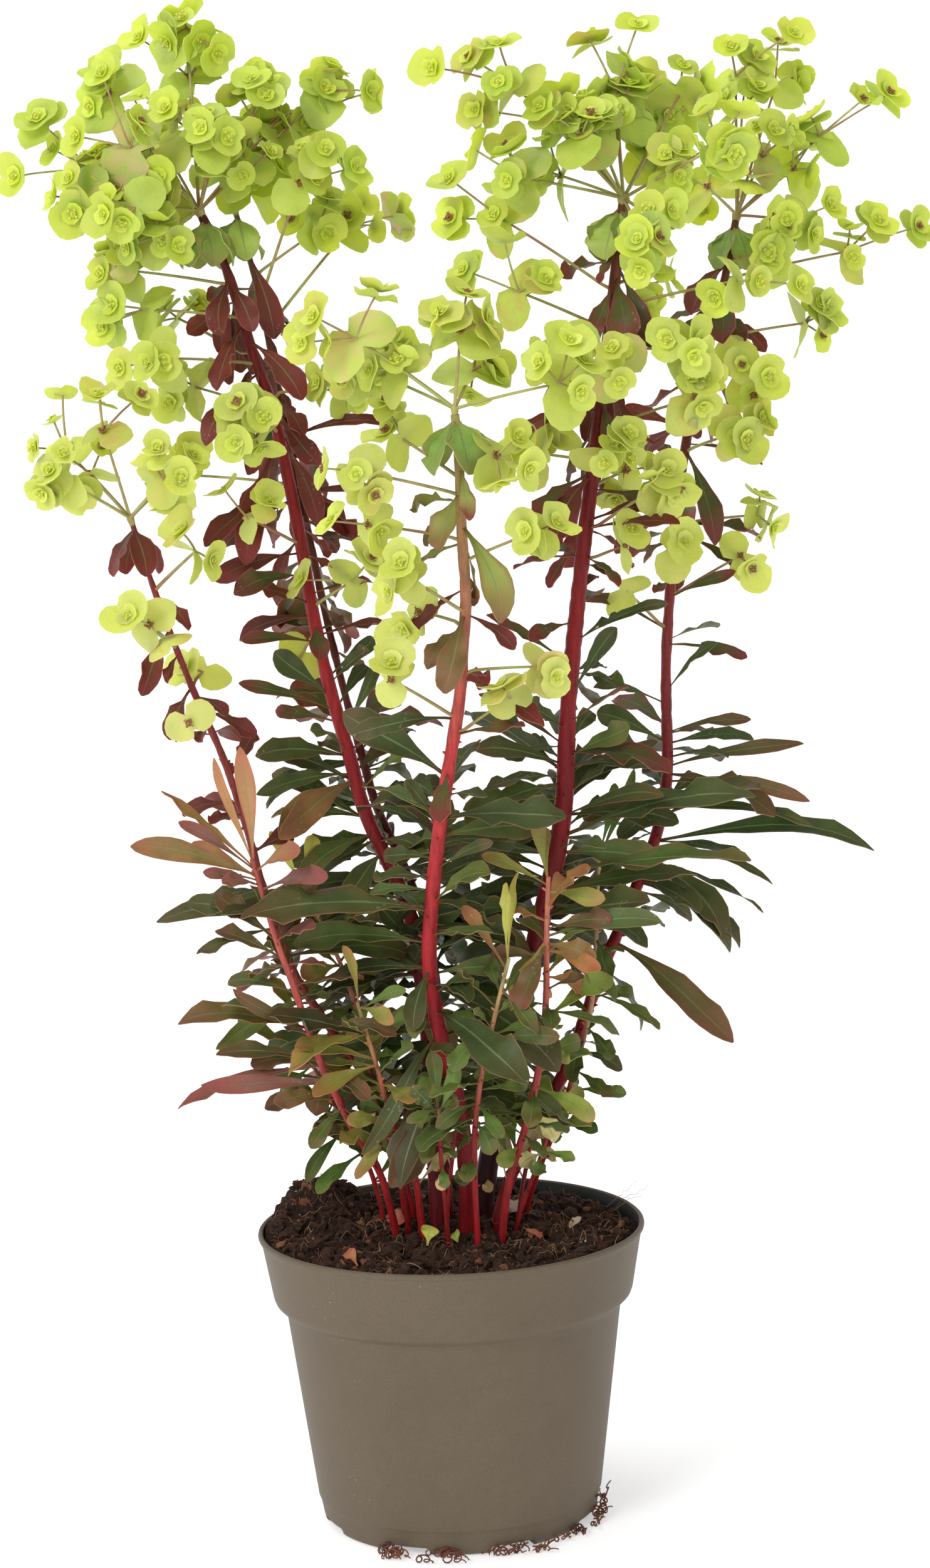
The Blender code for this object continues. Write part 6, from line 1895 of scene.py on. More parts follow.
def bend_leaf(pattern, name, leaf, dice):
    """A copy of a flat leaf, laid along the curve of one planned leaf."""
    across_part, along_part, skin = corners_of(pattern).T
    t = along_part[:, None]
    root, tip = np.array(leaf["root"]), np.array(leaf["tip"])
    face = np.array(leaf["face"])
    calm, wide = 1.0, leaf["wide"]
    if leaf.get("whorl"):
        calm, wide = WHORL_CALM, wide * WHORL_WIDER
        face = (tip - root) * (1.0, 1.0, 0.0) + (0.0, 0.0, 4.0)
        tip = root + (tip - root) * WHORL_HANGS
    middle = (root + tip) / 2 + np.array(leaf["rise"])
    centre = root * (1 - t) ** 2 + middle * 2 * t * (1 - t) + tip * t ** 2
    ahead = unit((middle - root) * (1 - t) + (tip - middle) * t)
    normal = unit(face - ahead * (ahead @ face)[:, None])
    turn = dice.uniform(-TWIST, TWIST) * calm * t ** 1.5
    normal = normal * np.cos(turn) + np.cross(ahead, normal) * np.sin(turn)
    across = np.cross(ahead, normal)
    long = np.linalg.norm(tip - root)
    sway = long * dice.uniform(-SWAY, SWAY)
    centre = centre + across * (sway * np.sin(math.pi * t) * t)
    centre = centre - normal * (long * dice.uniform(*DROOP) * t ** 3)
    ripple = wide * dice.uniform(*RIPPLE) * calm
    waves = dice.uniform(*WAVES)
    phase = dice.uniform(0.0, math.tau)
    fold = wide * dice.uniform(*FOLD)
    side = across_part * 2.0
    lift = fold * np.abs(across_part)
    lift += ripple * side * np.sin(along_part * waves * math.tau + phase)
    lift += ripple * 0.7 * np.abs(side) * np.sin(along_part * (waves + 1.0) * math.tau - phase)
    lift -= wide * TIP_CURL * np.clip((along_part - 0.8) / 0.2, 0.0, 1.0) ** 2
    places = centre + across * (across_part * wide)[:, None] + normal * (skin + lift)[:, None]
    return shaped_copy(pattern, name, places)

# %% [markdown]
# Each kind of leaf has its colours: the blade, the blush, and how much blush. The tables
# below say which kind grows where on each stem, from the top down; a little chance shifts
# every leaf's colour. Some leaves that catch the eye are named by their stem and row, and
# have a kind of their own.

# %% Leaf colours
LEAF_COLOURS = {
    # kind: blade, blush, amount of blush
    "wine": ((0.135, 0.026, 0.018), (0.170, 0.016, 0.016), 0.70),
    "dusk": ((0.072, 0.082, 0.018), (0.170, 0.026, 0.022), 0.90),
    "forest": ((0.054, 0.078, 0.020), (0.110, 0.036, 0.016), 0.28),
    "moss": ((0.085, 0.130, 0.026), (0.160, 0.066, 0.026), 0.30),
    "rose": ((0.215, 0.090, 0.072), (0.250, 0.055, 0.048), 0.75),
    "pine": ((0.046, 0.044, 0.014), (0.080, 0.036, 0.016), 0.30),
    "amber": ((0.300, 0.165, 0.045), (0.340, 0.110, 0.045), 0.80),
    "olive": ((0.230, 0.240, 0.040), (0.330, 0.140, 0.045), 0.55),
    "bronze": ((0.110, 0.085, 0.026), (0.150, 0.050, 0.024), 0.70),
    "fresh": ((0.110, 0.190, 0.030), (0.130, 0.080, 0.030), 0.30),
    "spring": ((0.300, 0.440, 0.085), (0.300, 0.190, 0.070), 0.30),
    "lime": ((0.480, 0.500, 0.080), (0.400, 0.260, 0.060), 0.50),
    "sprout": ((0.230, 0.330, 0.050), (0.300, 0.180, 0.070), 0.35),
    "straw": ((0.620, 0.500, 0.240), (0.560, 0.330, 0.190), 0.60),
    "rust": ((0.420, 0.170, 0.080), (0.400, 0.060, 0.030), 0.60),
    "copper": ((0.400, 0.195, 0.080), (0.330, 0.100, 0.055), 0.55),
    "umber": ((0.230, 0.135, 0.040), (0.240, 0.085, 0.040), 0.50),
    "turning": ((0.270, 0.310, 0.075), (0.190, 0.040, 0.030), 0.55),
    "cream": ((0.640, 0.560, 0.200), (0.600, 0.380, 0.200), 0.40),
}
KINDS_DOWN_THE_STEM = {
    # node: (down to this row, kinds to draw from)
    "left": ((1380, ("wine",)), (1480, ("dusk", "forest")),
             (9999, ("forest", "dusk", "moss", "rose"))),
    "tall_left": ((900, ("wine",)), (1040, ("wine", "dusk")), (1240, ("dusk", "forest")),
                  (9999, ("forest", "forest", "moss"))),
    "twin": ((900, ("wine", "dusk")), (1200, ("dusk",)), (9999, ("forest",))),
    "middle": ((925, ("turning",)), (1060, ("umber", "wine")), (1120, ("dusk", "wine")),
               (1240, ("dusk", "forest")),
               (9999, ("forest", "forest", "moss"))),
    "tall_right": ((760, ("wine", "wine", "dusk")), (1000, ("dusk", "wine")),
                   (1200, ("forest", "dusk")), (9999, ("forest", "forest", "moss"))),
    "right": ((700, ("wine", "dusk")), (960, ("dusk",)), (1160, ("dusk", "forest")),
              (9999, ("forest", "forest", "bronze"))),
    "1": ((1440, ("olive", "lime")), (1600, ("amber", "olive", "bronze")),
          (9999, ("fresh", "moss", "sprout"))),
    "2": ((1560, ("lime", "amber")), (9999, ("fresh", "moss"))),
    "3": ((1610, ("lime", "olive")), (9999, ("olive", "fresh"))),
    "4": ((1385, ("copper",)), (1425, ("umber", "copper", "rose")),
          (1600, ("bronze", "moss", "forest", "rose")), (9999, ("forest", "moss", "bronze"))),
    "5": ((1430, ("amber", "lime")), (9999, ("olive", "moss"))),
    "6": ((1380, ("moss", "fresh")), (9999, ("fresh", "moss"))),
    "7": ((1680, ("olive", "bronze")), (9999, ("fresh", "moss"))),
    "8": ((9999, ("fresh", "sprout")),),
    "9": ((9999, ("fresh", "moss")),),
}
NAMED_KINDS = {
    # leaves whose colour shows plainly in the photograph: stem and row of the root
    ("right", 1504): "bronze", ("tall_left", 1246): "umber", ("4", 1396): "umber",
    ("4", 1382): "umber", ("tall_left", 1442): "forest", ("middle", 1612): "forest",
    ("middle", 1742): "bronze", ("1", 1424): "olive", ("1", 1494): "moss",
}
SPROUT_KINDS = ((9999, ("fresh", "moss", "sprout", "fresh", "straw")),)
WHORL_KINDS = {"left": "wine", "tall_left": "spring", "twin": "spring", "middle": "spring",
               "tall_right": "spring", "right": "spring"}


def colour_leaf(thing, kind, dice):
    blade, blush, amount = LEAF_COLOURS[kind]
    bright = dice.uniform(0.82, 1.2)
    warm = dice.uniform(0.90, 1.12)
    amount = min(1.0, max(0.0, amount + dice.uniform(-0.2, 0.2)))
    paint(thing, "blade",
          (blade[0] * bright * warm, blade[1] * bright, blade[2] * bright / warm, 1.0))
    paint(thing, "blush", (*(part * bright for part in blush), amount))


def kind_of(short, row, dice):
    for limit, kinds in KINDS_DOWN_THE_STEM.get(short, SPROUT_KINDS):
        if row < limit:
            return kinds[int(dice.random() * len(kinds))]


def outline_of(leaf):
    if leaf["whorl"]:
        return "oval"
    long = (leaf["tip"] - leaf["root"]).length
    if long > 44.0 and leaf["row"] > 1150:
        return "lance"
    return "spoon"


leaf_sets = {}
for number, leaf in enumerate(plan.leaves):
    short = short_name(leaf["node"])
    kind = WHORL_KINDS[short] if leaf["whorl"] else kind_of(short, leaf["row"], detail)
    kind = leaf.get("kind", NAMED_KINDS.get((short, leaf["row"]), kind))
    thing = bend_leaf(LEAF_PATTERNS[outline_of(leaf)], f"leaf_{number}", leaf, detail)
    colour_leaf(thing, kind, detail)
    leaf_sets.setdefault(leaf["node"], []).append(thing)
for node, things in leaf_sets.items():
    slot = "green_leaf" if "flowering" in node else "young_shoot"
    stand_for(gather("leaves_of_" + node, things), slot, measured(node))

# %% [markdown]
# ## Flowers
#
# A disc of bracts is modelled once from a circle: its edge is extruded inwards ring by ring
# and merged in the middle, a formula draws it in on two sides, deep for a pair of bracts and
# slightly for a flower, and Solidify gives it a skin. The bract pairs hang like two wings,
# and the flower discs are dished like saucers. In each saucer stands the flower itself, a small
# green cup with four glands on its rim.

# %% Disc patterns
BRACT_SKIN = 0.36


def disc_pattern(name, sides, rings, notch, roundness):
    disc = added("pattern_" + name, bpy.ops.mesh.primitive_circle_add, vertices=sides,
                 radius=1.0, fill_type="NOTHING")
    edit(disc)
    bpy.ops.mesh.select_all(action="SELECT")
    reach = 1.0
    for ring in rings:
        bpy.ops.mesh.extrude_edges_move()
        bpy.ops.transform.resize(value=(ring / reach, ring / reach, 1.0))
        reach = ring
    bpy.ops.mesh.extrude_edges_move()
    bpy.ops.mesh.merge(type="CENTER")
    bpy.ops.mesh.select_all(action="SELECT")
    bpy.ops.mesh.normals_make_consistent(inside=False)
    leave_edit()
    if disc.data.polygons[0].normal.z < 0:
        edit(disc)
        bpy.ops.mesh.select_all(action="SELECT")
        bpy.ops.mesh.flip_normals()
        leave_edit()
    chart = disc.data.uv_layers.new(name="UVMap").data
    for loop in disc.data.loops:
        place_on_disc = disc.data.vertices[loop.vertex_index].co
        chart[loop.index].uv = (place_on_disc.x / 2 + 0.5, place_on_disc.y / 2 + 0.5)
    places = corners_of(disc)
    far = np.hypot(places[:, 0], places[:, 1])
    bay = np.abs(places[:, 0]) / np.maximum(far, 0.01)
    places[:, :2] *= (1.0 - far * (1.0 - notch) * (1.0 - bay ** roundness))[:, None]
    move_corners(disc, places)
    disc.data.materials.append(BRACT_TOP)
    disc.data.materials.append(BRACT_UNDER)
    finish_with(disc, "SOLIDIFY", thickness=BRACT_SKIN, offset=-1.0, material_offset=1,
                material_offset_rim=1)
    smooth(disc, 60.0)
    print(disc.name, len(disc.data.polygons), "faces")
    return disc


BRACT_PATTERN = disc_pattern("bracts", 20, (0.60,), 0.34, 0.42)
SAUCER_PATTERN = disc_pattern("saucer", 18, (0.55,), 0.68, 0.34)
COLLAR_PATTERN = disc_pattern("collar", 10, (0.50,), 0.74, 0.30)

# %% The flower in the saucer
CUP_FOOT = 1.1
CUP_MOUTH = 1.7
CUP_TALL = 2.0
CUP_LIP = 0.35
CUP_DEEP = 0.7
GLAND_COUNT = 4
GLAND_REACH = 2.1

body = added("pattern_flower", bpy.ops.mesh.primitive_cylinder_add, vertices=8,
             radius=CUP_FOOT, depth=CUP_TALL, location=(0.0, 0.0, CUP_TALL / 2 - 0.2))
settle(body)
edit(body)
pick_points(body, lambda co: co.z > 1.0)
bpy.ops.transform.resize(value=(CUP_MOUTH / CUP_FOOT, CUP_MOUTH / CUP_FOOT, 1.0))
bpy.ops.mesh.select_mode(type="FACE")
bpy.ops.mesh.inset(thickness=CUP_LIP)
bpy.ops.transform.translate(value=(0.0, 0.0, -CUP_DEEP))
leave_edit()
body.data.materials.append(CUP_BODY)
parts = [body]
for number in range(GLAND_COUNT):
    turn = math.tau * (number + 0.5) / GLAND_COUNT
    gland = added(f"gland_{number}", bpy.ops.mesh.primitive_uv_sphere_add, segments=5,
                  ring_count=3, radius=0.8, rotation=(0.0, 0.0, turn),
                  location=level_spoke(turn) * GLAND_REACH + UP * (CUP_TALL - 0.25))
    gland.scale = (0.62, 1.0, 0.42)
    settle(gland)
    gland.data.materials.append(GLANDS)
    parts.append(gland)
seed_case = added("seed_case", bpy.ops.mesh.primitive_uv_sphere_add, segments=6,
                  ring_count=3, radius=0.7, location=(0.0, 0.0, CUP_TALL - 0.1))
settle(seed_case)
seed_case.data.materials.append(CUP_BODY)
parts.append(seed_case)
FLOWER_PATTERN = gather("pattern_flower", parts)
smooth(FLOWER_PATTERN, 60.0)
print("flower:", len(FLOWER_PATTERN.data.polygons), "faces")

# %% Laying discs and flowers in place
DISC_RIPPLE = (0.04, 0.13)
DISC_WAVES = (3, 4, 5)
FLOWER_SIZES = (0.85, 1.15)


def faced(disc, face, **changes):
    """The same disc, turned to face another way."""
    face = face.normalized()
    across = square_to(face, disc["across"])
    return {**disc, "face": face, "across": across, "lengthwise": face.cross(across), **changes}


def strewn(dice, reach):
    return Vector([dice.uniform(-reach, reach) for _ in range(3)])


def set_in(disc, x, y, z):
    """Real places from distances across, along and above a disc, in mm."""
    return (np.array(disc["centre"]) + np.outer(x, disc["across"])
            + np.outer(y, disc["lengthwise"]) + np.outer(z, disc["face"]))


def lay_disc(pattern, name, disc, cupped, wings, dice):
    """A copy of a flat disc, dished and rippled in its place; its two wings may hang."""
    x, y, skin = corners_of(pattern).T
    far = np.hypot(x, y)
    angle = np.arctan2(y, x)
    size, flat = disc["size"], disc["flat"]
    wave = dice.uniform(*DISC_RIPPLE) * size
    phase = dice.uniform(0.0, math.tau)
    count = dice.choice(DISC_WAVES)
    hang = np.where(x > 0, dice.uniform(*wings), dice.uniform(*wings)) * np.abs(x)
    lift = cupped * size * far ** 2 - hang * np.sqrt(np.abs(x)) * size
    lift += wave * far ** 2 * np.sin(angle * count + phase)
    reach = 1.0 + 0.04 * np.sin(angle - phase) + 0.03 * np.sin(angle * 2 + phase)
    places = set_in(disc, x * size * reach * (1.0 - 0.3 * hang ** 2), y * size * flat * reach,
                    skin + lift)
    return shaped_copy(pattern, name, places)


def stand_flower(name, disc, dice, dried=False):
    turn = dice.uniform(0.0, math.tau)
    x, y, z = corners_of(FLOWER_PATTERN).T
    grown = dice.uniform(*FLOWER_SIZES)
    turned_x = (x * math.cos(turn) - y * math.sin(turn)) * grown
    turned_y = (x * math.sin(turn) + y * math.cos(turn)) * grown
    thing = shaped_copy(FLOWER_PATTERN, name, set_in(disc, turned_x, turned_y, z * grown))
    if dried:
        for number in range(len(thing.data.materials)):
            thing.data.materials[number] = DRIED
    return thing

# %% Flower colours
LIME = (0.565, 0.700, 0.072)
LIME_DEEP = (0.345, 0.495, 0.072)
LIME_CLEAR = (0.640, 0.810, 0.066)
LIME_PALE = (0.68, 0.70, 0.200)
PALE_FROM, PALE_DOWN_TO = 640.0, 420.0
BLUSHES = ((0.56, 0.32, 0.17), (0.52, 0.38, 0.12), (0.42, 0.22, 0.09))
PAIR_BLUSH = (0.1, 0.2, 0.35, 0.6, 1.0)
SAUCER_BLUSH = (0.0, 0.1, 0.2, 0.35, 0.8)


def colour_disc(thing, deep, dice):
    part = min(1.0, max(0.0, deep + dice.uniform(-0.3, 0.3)))
    fresh_lime = LIME_CLEAR if deep < 0.0 else LIME
    bright = dice.uniform(0.86, 1.12)
    height = thing.data.vertices[0].co.z / MM
    pale = 0.6 * min(1.0, max(0.0, (PALE_FROM - height) / (PALE_FROM - PALE_DOWN_TO)))
    blade = [(a + (b - a) * part) * bright for a, b in zip(fresh_lime, LIME_DEEP)]
    blade = [a + (b - a) * pale for a, b in zip(blade, LIME_PALE)]
    blush = BLUSHES[int(dice.random() * len(BLUSHES))]
    amount = dice.choice(PAIR_BLUSH if deep > 0.5 else SAUCER_BLUSH) if deep > 0.0 else 0.1
    paint(thing, "blade", (*blade, 1.0))
    paint(thing, "blush", (*blush, amount))

# %% [markdown]
# Each fork holds a hanging pair of green bracts, an old dried flower in the middle, and
# three or four stalked flowers. Most flowers look forward to the light, some sideways and a
# few away, so that their undersides are seen. The measured model has the first one or two of
# each fork: the others are added round them, and the stalks always enter from beneath. A
# small collar of young bracts fills some saucers. Low on the plant the forks carry fewer and
# smaller flowers. Shorter rays inside the heads make them as full as in the photograph.

# %% Sizes and shares of the flowers
RAY_THICK, RAY_THIN = 0.85, 0.62
TWIG_THICK, TWIG_THIN = 0.60, 0.48
PAIR_GROWN = 1.38
PAIR_FLAT = 0.82
FORK_FLOWERS = (3, 4, 4)
HEAD_GROWN = {"flower_head_left": 0.78, "flower_head_right": 0.94}
HEAD_FILL = {"left": 0.0, "tall_left": 0.9, "twin": 0.8, "middle": 0.2, "tall_right": 1.2,
             "right": 0.3}
MORE_RAYS = {
    # rays that only this finer model has: column and row of the pair of bracts, mm in front
    # of the stem's tip, and column and row of each flower
    "tall_left": ((176, 150, 8, ((160, 116), (146, 170))),
                  (298, 44, -6, ((316, 66), (268, 66), (346, 86))),
                  (448, 186, -8, ((414, 204), (400, 126))),
                  (524, 146, -10, ((512, 122), (588, 146)))),
    "tall_right": ((822, 138, 14, ((797, 72), (750, 92), (692, 108))),
                   (900, 200, 6, ((760, 176), (896, 148)))),
}
CUP_GROWN = 1.12
LOW_FORKS = 500.0
LOW_PAIR = 0.80
DRIED_SHARE = 0.16
OLD_FLOWER_SHARE = 0.45
UNDER_SHARE = 0.45
COLLAR_SHARE = 0.46
# How a kind of disc lies: how far it is dished, how its wings hang, how deep its green is.
BRACTS_LIE = (0.05, (0.05, 0.75), 0.80)
UNDER_LIE = (0.15, (-0.1, 0.4), 0.65)
COLLAR_LIE = (0.32, (-0.5, 0.0), -1.0)
SAUCER_DISHED, SAUCER_WINGS, SAUCER_GREEN = (0.15, 0.45), (-0.42, 0.26), 0.25
COLLAR_LIFT = 0.7
UNDER_BACK = 3.2
LONG_TWIG = 9.0
LOOKS_AT_VIEWER = (0.95, 0.85, 0.75, 0.6, 0.3, -0.45)
LOW_LOOKS = (0.85, 0.5, 0.25, 0.0, -0.3)
PAIR_LOOKS = (0.8, 0.65, 0.5, 0.3, -0.1)
# The swelling under a head: mm above its foot and part of the stem's radius, and its tip.
HUB_RUN = ((-1.5, 0.62), (1.25, 0.88), (2.5, 0.95), (4.0, 0.7))
HUB_TIP = 0.4
flower_sets = {}
ray_sets = {}

# %% The flowers of a fork
def flowers_of_fork(pair, cups, ray, grown, dice):
    """The planned flowers of a fork and the ones that belong between them."""
    centre = pair["centre"]
    looks = LOW_LOOKS if centre.z < LOW_FORKS else LOOKS_AT_VIEWER
    flowers = []
    for cup in cups:
        away = (cup["centre"] - centre).normalized()
        face = away * 0.7 + TO_VIEWER * dice.choice(looks) + UP * 0.1
        flowers.append(faced(cup, face + strewn(dice, 0.25),
                             size=cup["size"] * CUP_GROWN * grown))
    turn = dice.uniform(0.0, math.tau)
    wanted = dice.choice(FORK_FLOWERS) - (1 if grown < 0.9 else 0)
    if centre.z < LOW_FORKS:
        wanted = dice.choice((0, 0, 1, 1))
    for _ in range(wanted - len(cups)):
        turn += math.tau * dice.uniform(0.28, 0.40)
        aside = pair["across"] * math.cos(turn) + pair["lengthwise"] * math.sin(turn)
        away = ray * dice.uniform(0.5, 1.0) + aside * dice.uniform(0.6, 1.0) + UP * 0.15
        size = CUP_HALF_WIDTH * grown * dice.uniform(0.66, 1.12)
        place_of = centre + away * dice.uniform(9.0, 14.0)
        face = away * 0.8 + TO_VIEWER * dice.choice(looks) + strewn(dice, 0.25)
        flowers.append(faced(pair, face, centre=place_of, size=size, flat=CUP_ASPECT))
    return flowers

# %% One spray
def dress_spray(number, spray, dice):
    """The bracts, flowers and stalks of one ray and its fork."""
    things = flower_sets.setdefault(spray["node"], [])
    rays = ray_sets.setdefault(spray["node"], [])

    def add_disc(pattern, kind, disc, cupped, wings, deep):
        thing = lay_disc(pattern, kind, disc, cupped, wings, dice)
        colour_disc(thing, deep, dice)
        things.append(thing)

    start, first = spray["start"], spray["first"]
    pair, cups = spray["discs"][0], spray["discs"][1:]
    ray = (pair["centre"] - first).normalized()
    face = ray * 0.55 + TO_VIEWER * dice.choice(PAIR_LOOKS) + strewn(dice, 0.2)
    of_head = HEAD_GROWN.get(spray["node"], 1.0)
    grown = PAIR_GROWN * of_head * (LOW_PAIR if pair["centre"].z < LOW_FORKS else 1.0)
    pair = faced(pair, face, size=pair["size"] * grown * dice.uniform(0.85, 1.1),
                 flat=PAIR_FLAT)
    add_disc(BRACT_PATTERN, f"bracts_{number}", pair, *BRACTS_LIE)
    if dice.random() < OLD_FLOWER_SHARE:
        things.append(stand_flower(f"dried_{number}", pair, dice, dried=True))
    lean = UP * (0.02 * (pair["centre"] - first).length)
    run = bowed(first, pair["centre"], lean, 6, RAY_THICK, RAY_THIN)
    if (first - start).length > 0.01:
        run.insert(0, (start, RAY_THICK * 1.15))
    rays.append(run)
    for order, cup in enumerate(flowers_of_fork(pair, cups, ray, of_head, dice)):
        label = f"{number}_{order}"
        add_disc(SAUCER_PATTERN, "saucer_" + label, cup, dice.uniform(*SAUCER_DISHED),
                 SAUCER_WINGS, SAUCER_GREEN)
        collar = faced(cup, cup["face"] + strewn(dice, 0.1), size=cup["size"] * COLLAR_SHARE,
                       centre=cup["centre"] + cup["face"] * COLLAR_LIFT)
        add_disc(COLLAR_PATTERN, "collar_" + label, collar, *COLLAR_LIE)
        things.append(stand_flower("flower_" + label, collar, dice,
                                   dried=dice.random() < DRIED_SHARE))
        away = cup["centre"] - pair["centre"]
        if dice.random() < UNDER_SHARE and away.length > LONG_TWIG:
            under = faced(cup, cup["face"] + away.normalized() * 0.4 + strewn(dice, 0.4),
                          centre=cup["centre"] - away.normalized() * UNDER_BACK,
                          size=cup["size"] * dice.uniform(1.0, 1.25))
            add_disc(BRACT_PATTERN, "under_" + label, under, *UNDER_LIE)
        rays.append(bowed(pair["centre"], cup["centre"], pair["face"] * (0.10 * away.length), 4,
                          TWIG_THICK, TWIG_THIN))

# %% More rays in the heads
def more_rays(name, like):
    """The rays of a head that are listed one by one, in the way that the plan's own are kept."""
    heart = plan.heart("flower_head_" + name)
    depth = FLOWERING_STEMS[name][2][-1][2]
    rays = []
    for column, row, ahead, cups in MORE_RAYS.get(name, ()):
        back = depth - ahead * DEPTH_OF_SPRAYS
        discs = [{**like, "centre": place(column, row, back)}]
        discs += [{**like, "centre": cup, "size": CUP_HALF_WIDTH, "flat": CUP_ASPECT}
                  for cup in cup_places(cups, back, ahead)]
        rays.append({"node": "flower_head_" + name, "start": heart, "first": heart,
                     "discs": discs})
    return rays


def inner_sprays(node, sprays, count, dice):
    """More rays of the same head, shorter, between the planned ones."""
    heart = plan.heart(node)
    rays = []
    for number in range(count):
        like = sprays[number % len(sprays)]["discs"][0]
        beside = sprays[dice.randrange(len(sprays))]["discs"][0]
        reach = (like["centre"] - heart) * dice.uniform(0.55, 0.85)
        reach += (beside["centre"] - heart) * dice.uniform(0.0, 0.22)
        centre = heart + reach - TO_VIEWER * dice.uniform(-4.0, 16.0)
        rays.append({"node": node, "start": heart, "first": heart,
                     "discs": [{**like, "centre": centre}]})
    return rays

# %% Every spray
sprays = list(plan.sprays)
for name in FLOWERING_STEMS:
    node = "flower_head_" + name
    of_head = [spray for spray in plan.sprays if spray["node"] == node]
    sprays += more_rays(name, of_head[0]["discs"][0])
    sprays += inner_sprays(node, of_head, round(len(of_head) * HEAD_FILL[name]), detail)
print("sprays in all:", len(sprays))
for number, spray in enumerate(sprays):
    dress_spray(number, spray, detail)
for name in FLOWERING_STEMS:
    node = "flower_head_" + name
    base, axis, radius = plan.hubs[node]
    run = [(base + axis * level, radius * part) for level, part in HUB_RUN]
    ray_sets[node].append(run + [(base + axis * HUB_HEIGHT, HUB_TIP)])
for node, things in flower_sets.items():
    stand_for(gather("flowers_of_" + node, things), "lime_bracts", node)
    stand_for(stalks("rays_of_" + node, ray_sets[node], RAYS, 1), "lime_bracts", node)

# %% [markdown]
# ## The pot
#
# A nursery pot is one thin shell of moulded plastic, taupe outside and dark inside. It could
# be turned from a drawn outline, but here a round foot is extruded upwards step by step: up
# the wall, out at the collar, over the lip and down the inside. Shallow bays are cut into
# its foot with drain holes in every other one, so that water runs off.

# %% Pot finishes
def pot_finish():
    material, tree, shader, where = new_finish("pot_outside")
    cloud = effect(tree, mottle, where["Object"], Scale=14.0, Low=0.40, High=0.60)
    grain = effect(tree, mottle, where["Object"], Scale=900.0, Low=0.35, High=0.65)
    colour = blend_of(tree, cloud["Mask"], (0.112, 0.084, 0.054), (0.125, 0.095, 0.062))
    colour = shaded(tree, colour, ramp_of(tree, grain["Mask"], 0.0, 1.0, 0.90, 1.08))
    dust = effect(tree, specks, where["Object"], Scale=240.0, Size=0.13, Amount=0.36)
    colour = blend_of(tree, times(tree, dust["Mask"], 0.55), colour, (0.50, 0.46, 0.40))
    dirt = effect(tree, specks, where["Object"], Scale=170.0, Size=0.15, Amount=0.40)
    colour = blend_of(tree, times(tree, dirt["Mask"], 0.6), colour, (0.05, 0.035, 0.022))
    parts = put(tree, "ShaderNodeSeparateXYZ", values={"Vector": where["Object"]})
    splash = times(tree, ramp_of(tree, parts.outputs["Z"], 0.022, 0.0), cloud["Mask"])
    colour = blend_of(tree, times(tree, splash, 0.25), colour, (0.10, 0.075, 0.05))
    skin_of(tree, shader, colour, cloud["Height"], (0.50, 0.62), grain["Height"], 0.16, 0.0004)
    set_shader(shader, Specular_IOR_Level=0.28)
    return material


POT_OUTSIDE = pot_finish()
POT_INSIDE = mottled_finish("pot_inside", (0.010, 0.016, 0.013), (0.016, 0.024, 0.019), 60.0,
                            0.45, 0.1)

# %% Extrude the pot
POT_STEPS_AROUND = 144
POT_OUTLINE = (
    # radius and height, up the outside
    (FOOT_RADIUS - 1.6, 0.5), (FOOT_RADIUS - 0.5, 1.6), (FOOT_RADIUS, 3.6),
    (FOOT_RADIUS + 0.3, 5.6), (FOOT_BAND_RADIUS - 0.3, FOOT_BAND_HEIGHT - 2.0),
    (FOOT_BAND_RADIUS, FOOT_BAND_HEIGHT),
    (FOOT_BAND_RADIUS + 0.75, FOOT_BAND_HEIGHT + 0.9),
    (SHOULDER_RADIUS - 0.25, POT_HEIGHT - COLLAR_HEIGHT - SHOULDER_DROP - 2.6),
    (SHOULDER_RADIUS + 0.3, POT_HEIGHT - COLLAR_HEIGHT - SHOULDER_DROP),
    (SHOULDER_RADIUS + 1.4, POT_HEIGHT - COLLAR_HEIGHT - SHOULDER_DROP + 1.2),
    (SHOULDER_RADIUS + 3.4, POT_HEIGHT - COLLAR_HEIGHT - SHOULDER_DROP + 2.2),
    (COLLAR_FOOT_RADIUS - 0.7, POT_HEIGHT - COLLAR_HEIGHT - 0.9),
    (COLLAR_FOOT_RADIUS, POT_HEIGHT - COLLAR_HEIGHT + 1.0),
    (COLLAR_FOOT_RADIUS + 0.5, POT_HEIGHT - COLLAR_HEIGHT + 3.6),
    (RIM_RADIUS - 1.6, POT_HEIGHT - 4.4), (RIM_RADIUS - 1.0, POT_HEIGHT - 3.2),
    (RIM_RADIUS - 0.15, POT_HEIGHT - 2.4), (RIM_RADIUS, POT_HEIGHT - 1.6),
    (RIM_RADIUS - 0.2, POT_HEIGHT - 0.7), (RIM_RADIUS - 0.9, POT_HEIGHT),
    # over the lip and down the inside
    (RIM_RADIUS - 1.8, POT_HEIGHT - 0.1), (RIM_RADIUS - LIP_THICKNESS, POT_HEIGHT - 0.6),
    (RIM_RADIUS - LIP_THICKNESS - 0.5, POT_HEIGHT - 3.0),
    (COLLAR_FOOT_RADIUS - WALL, POT_HEIGHT - COLLAR_HEIGHT + 0.6),
    (SHOULDER_RADIUS - WALL, POT_HEIGHT - COLLAR_HEIGHT - SHOULDER_DROP - 0.4),
    (FOOT_RADIUS - WALL - 1.0, BAY_HEIGHT + FLOOR))

POT_BASE_RADIUS = FOOT_RADIUS - 3.0

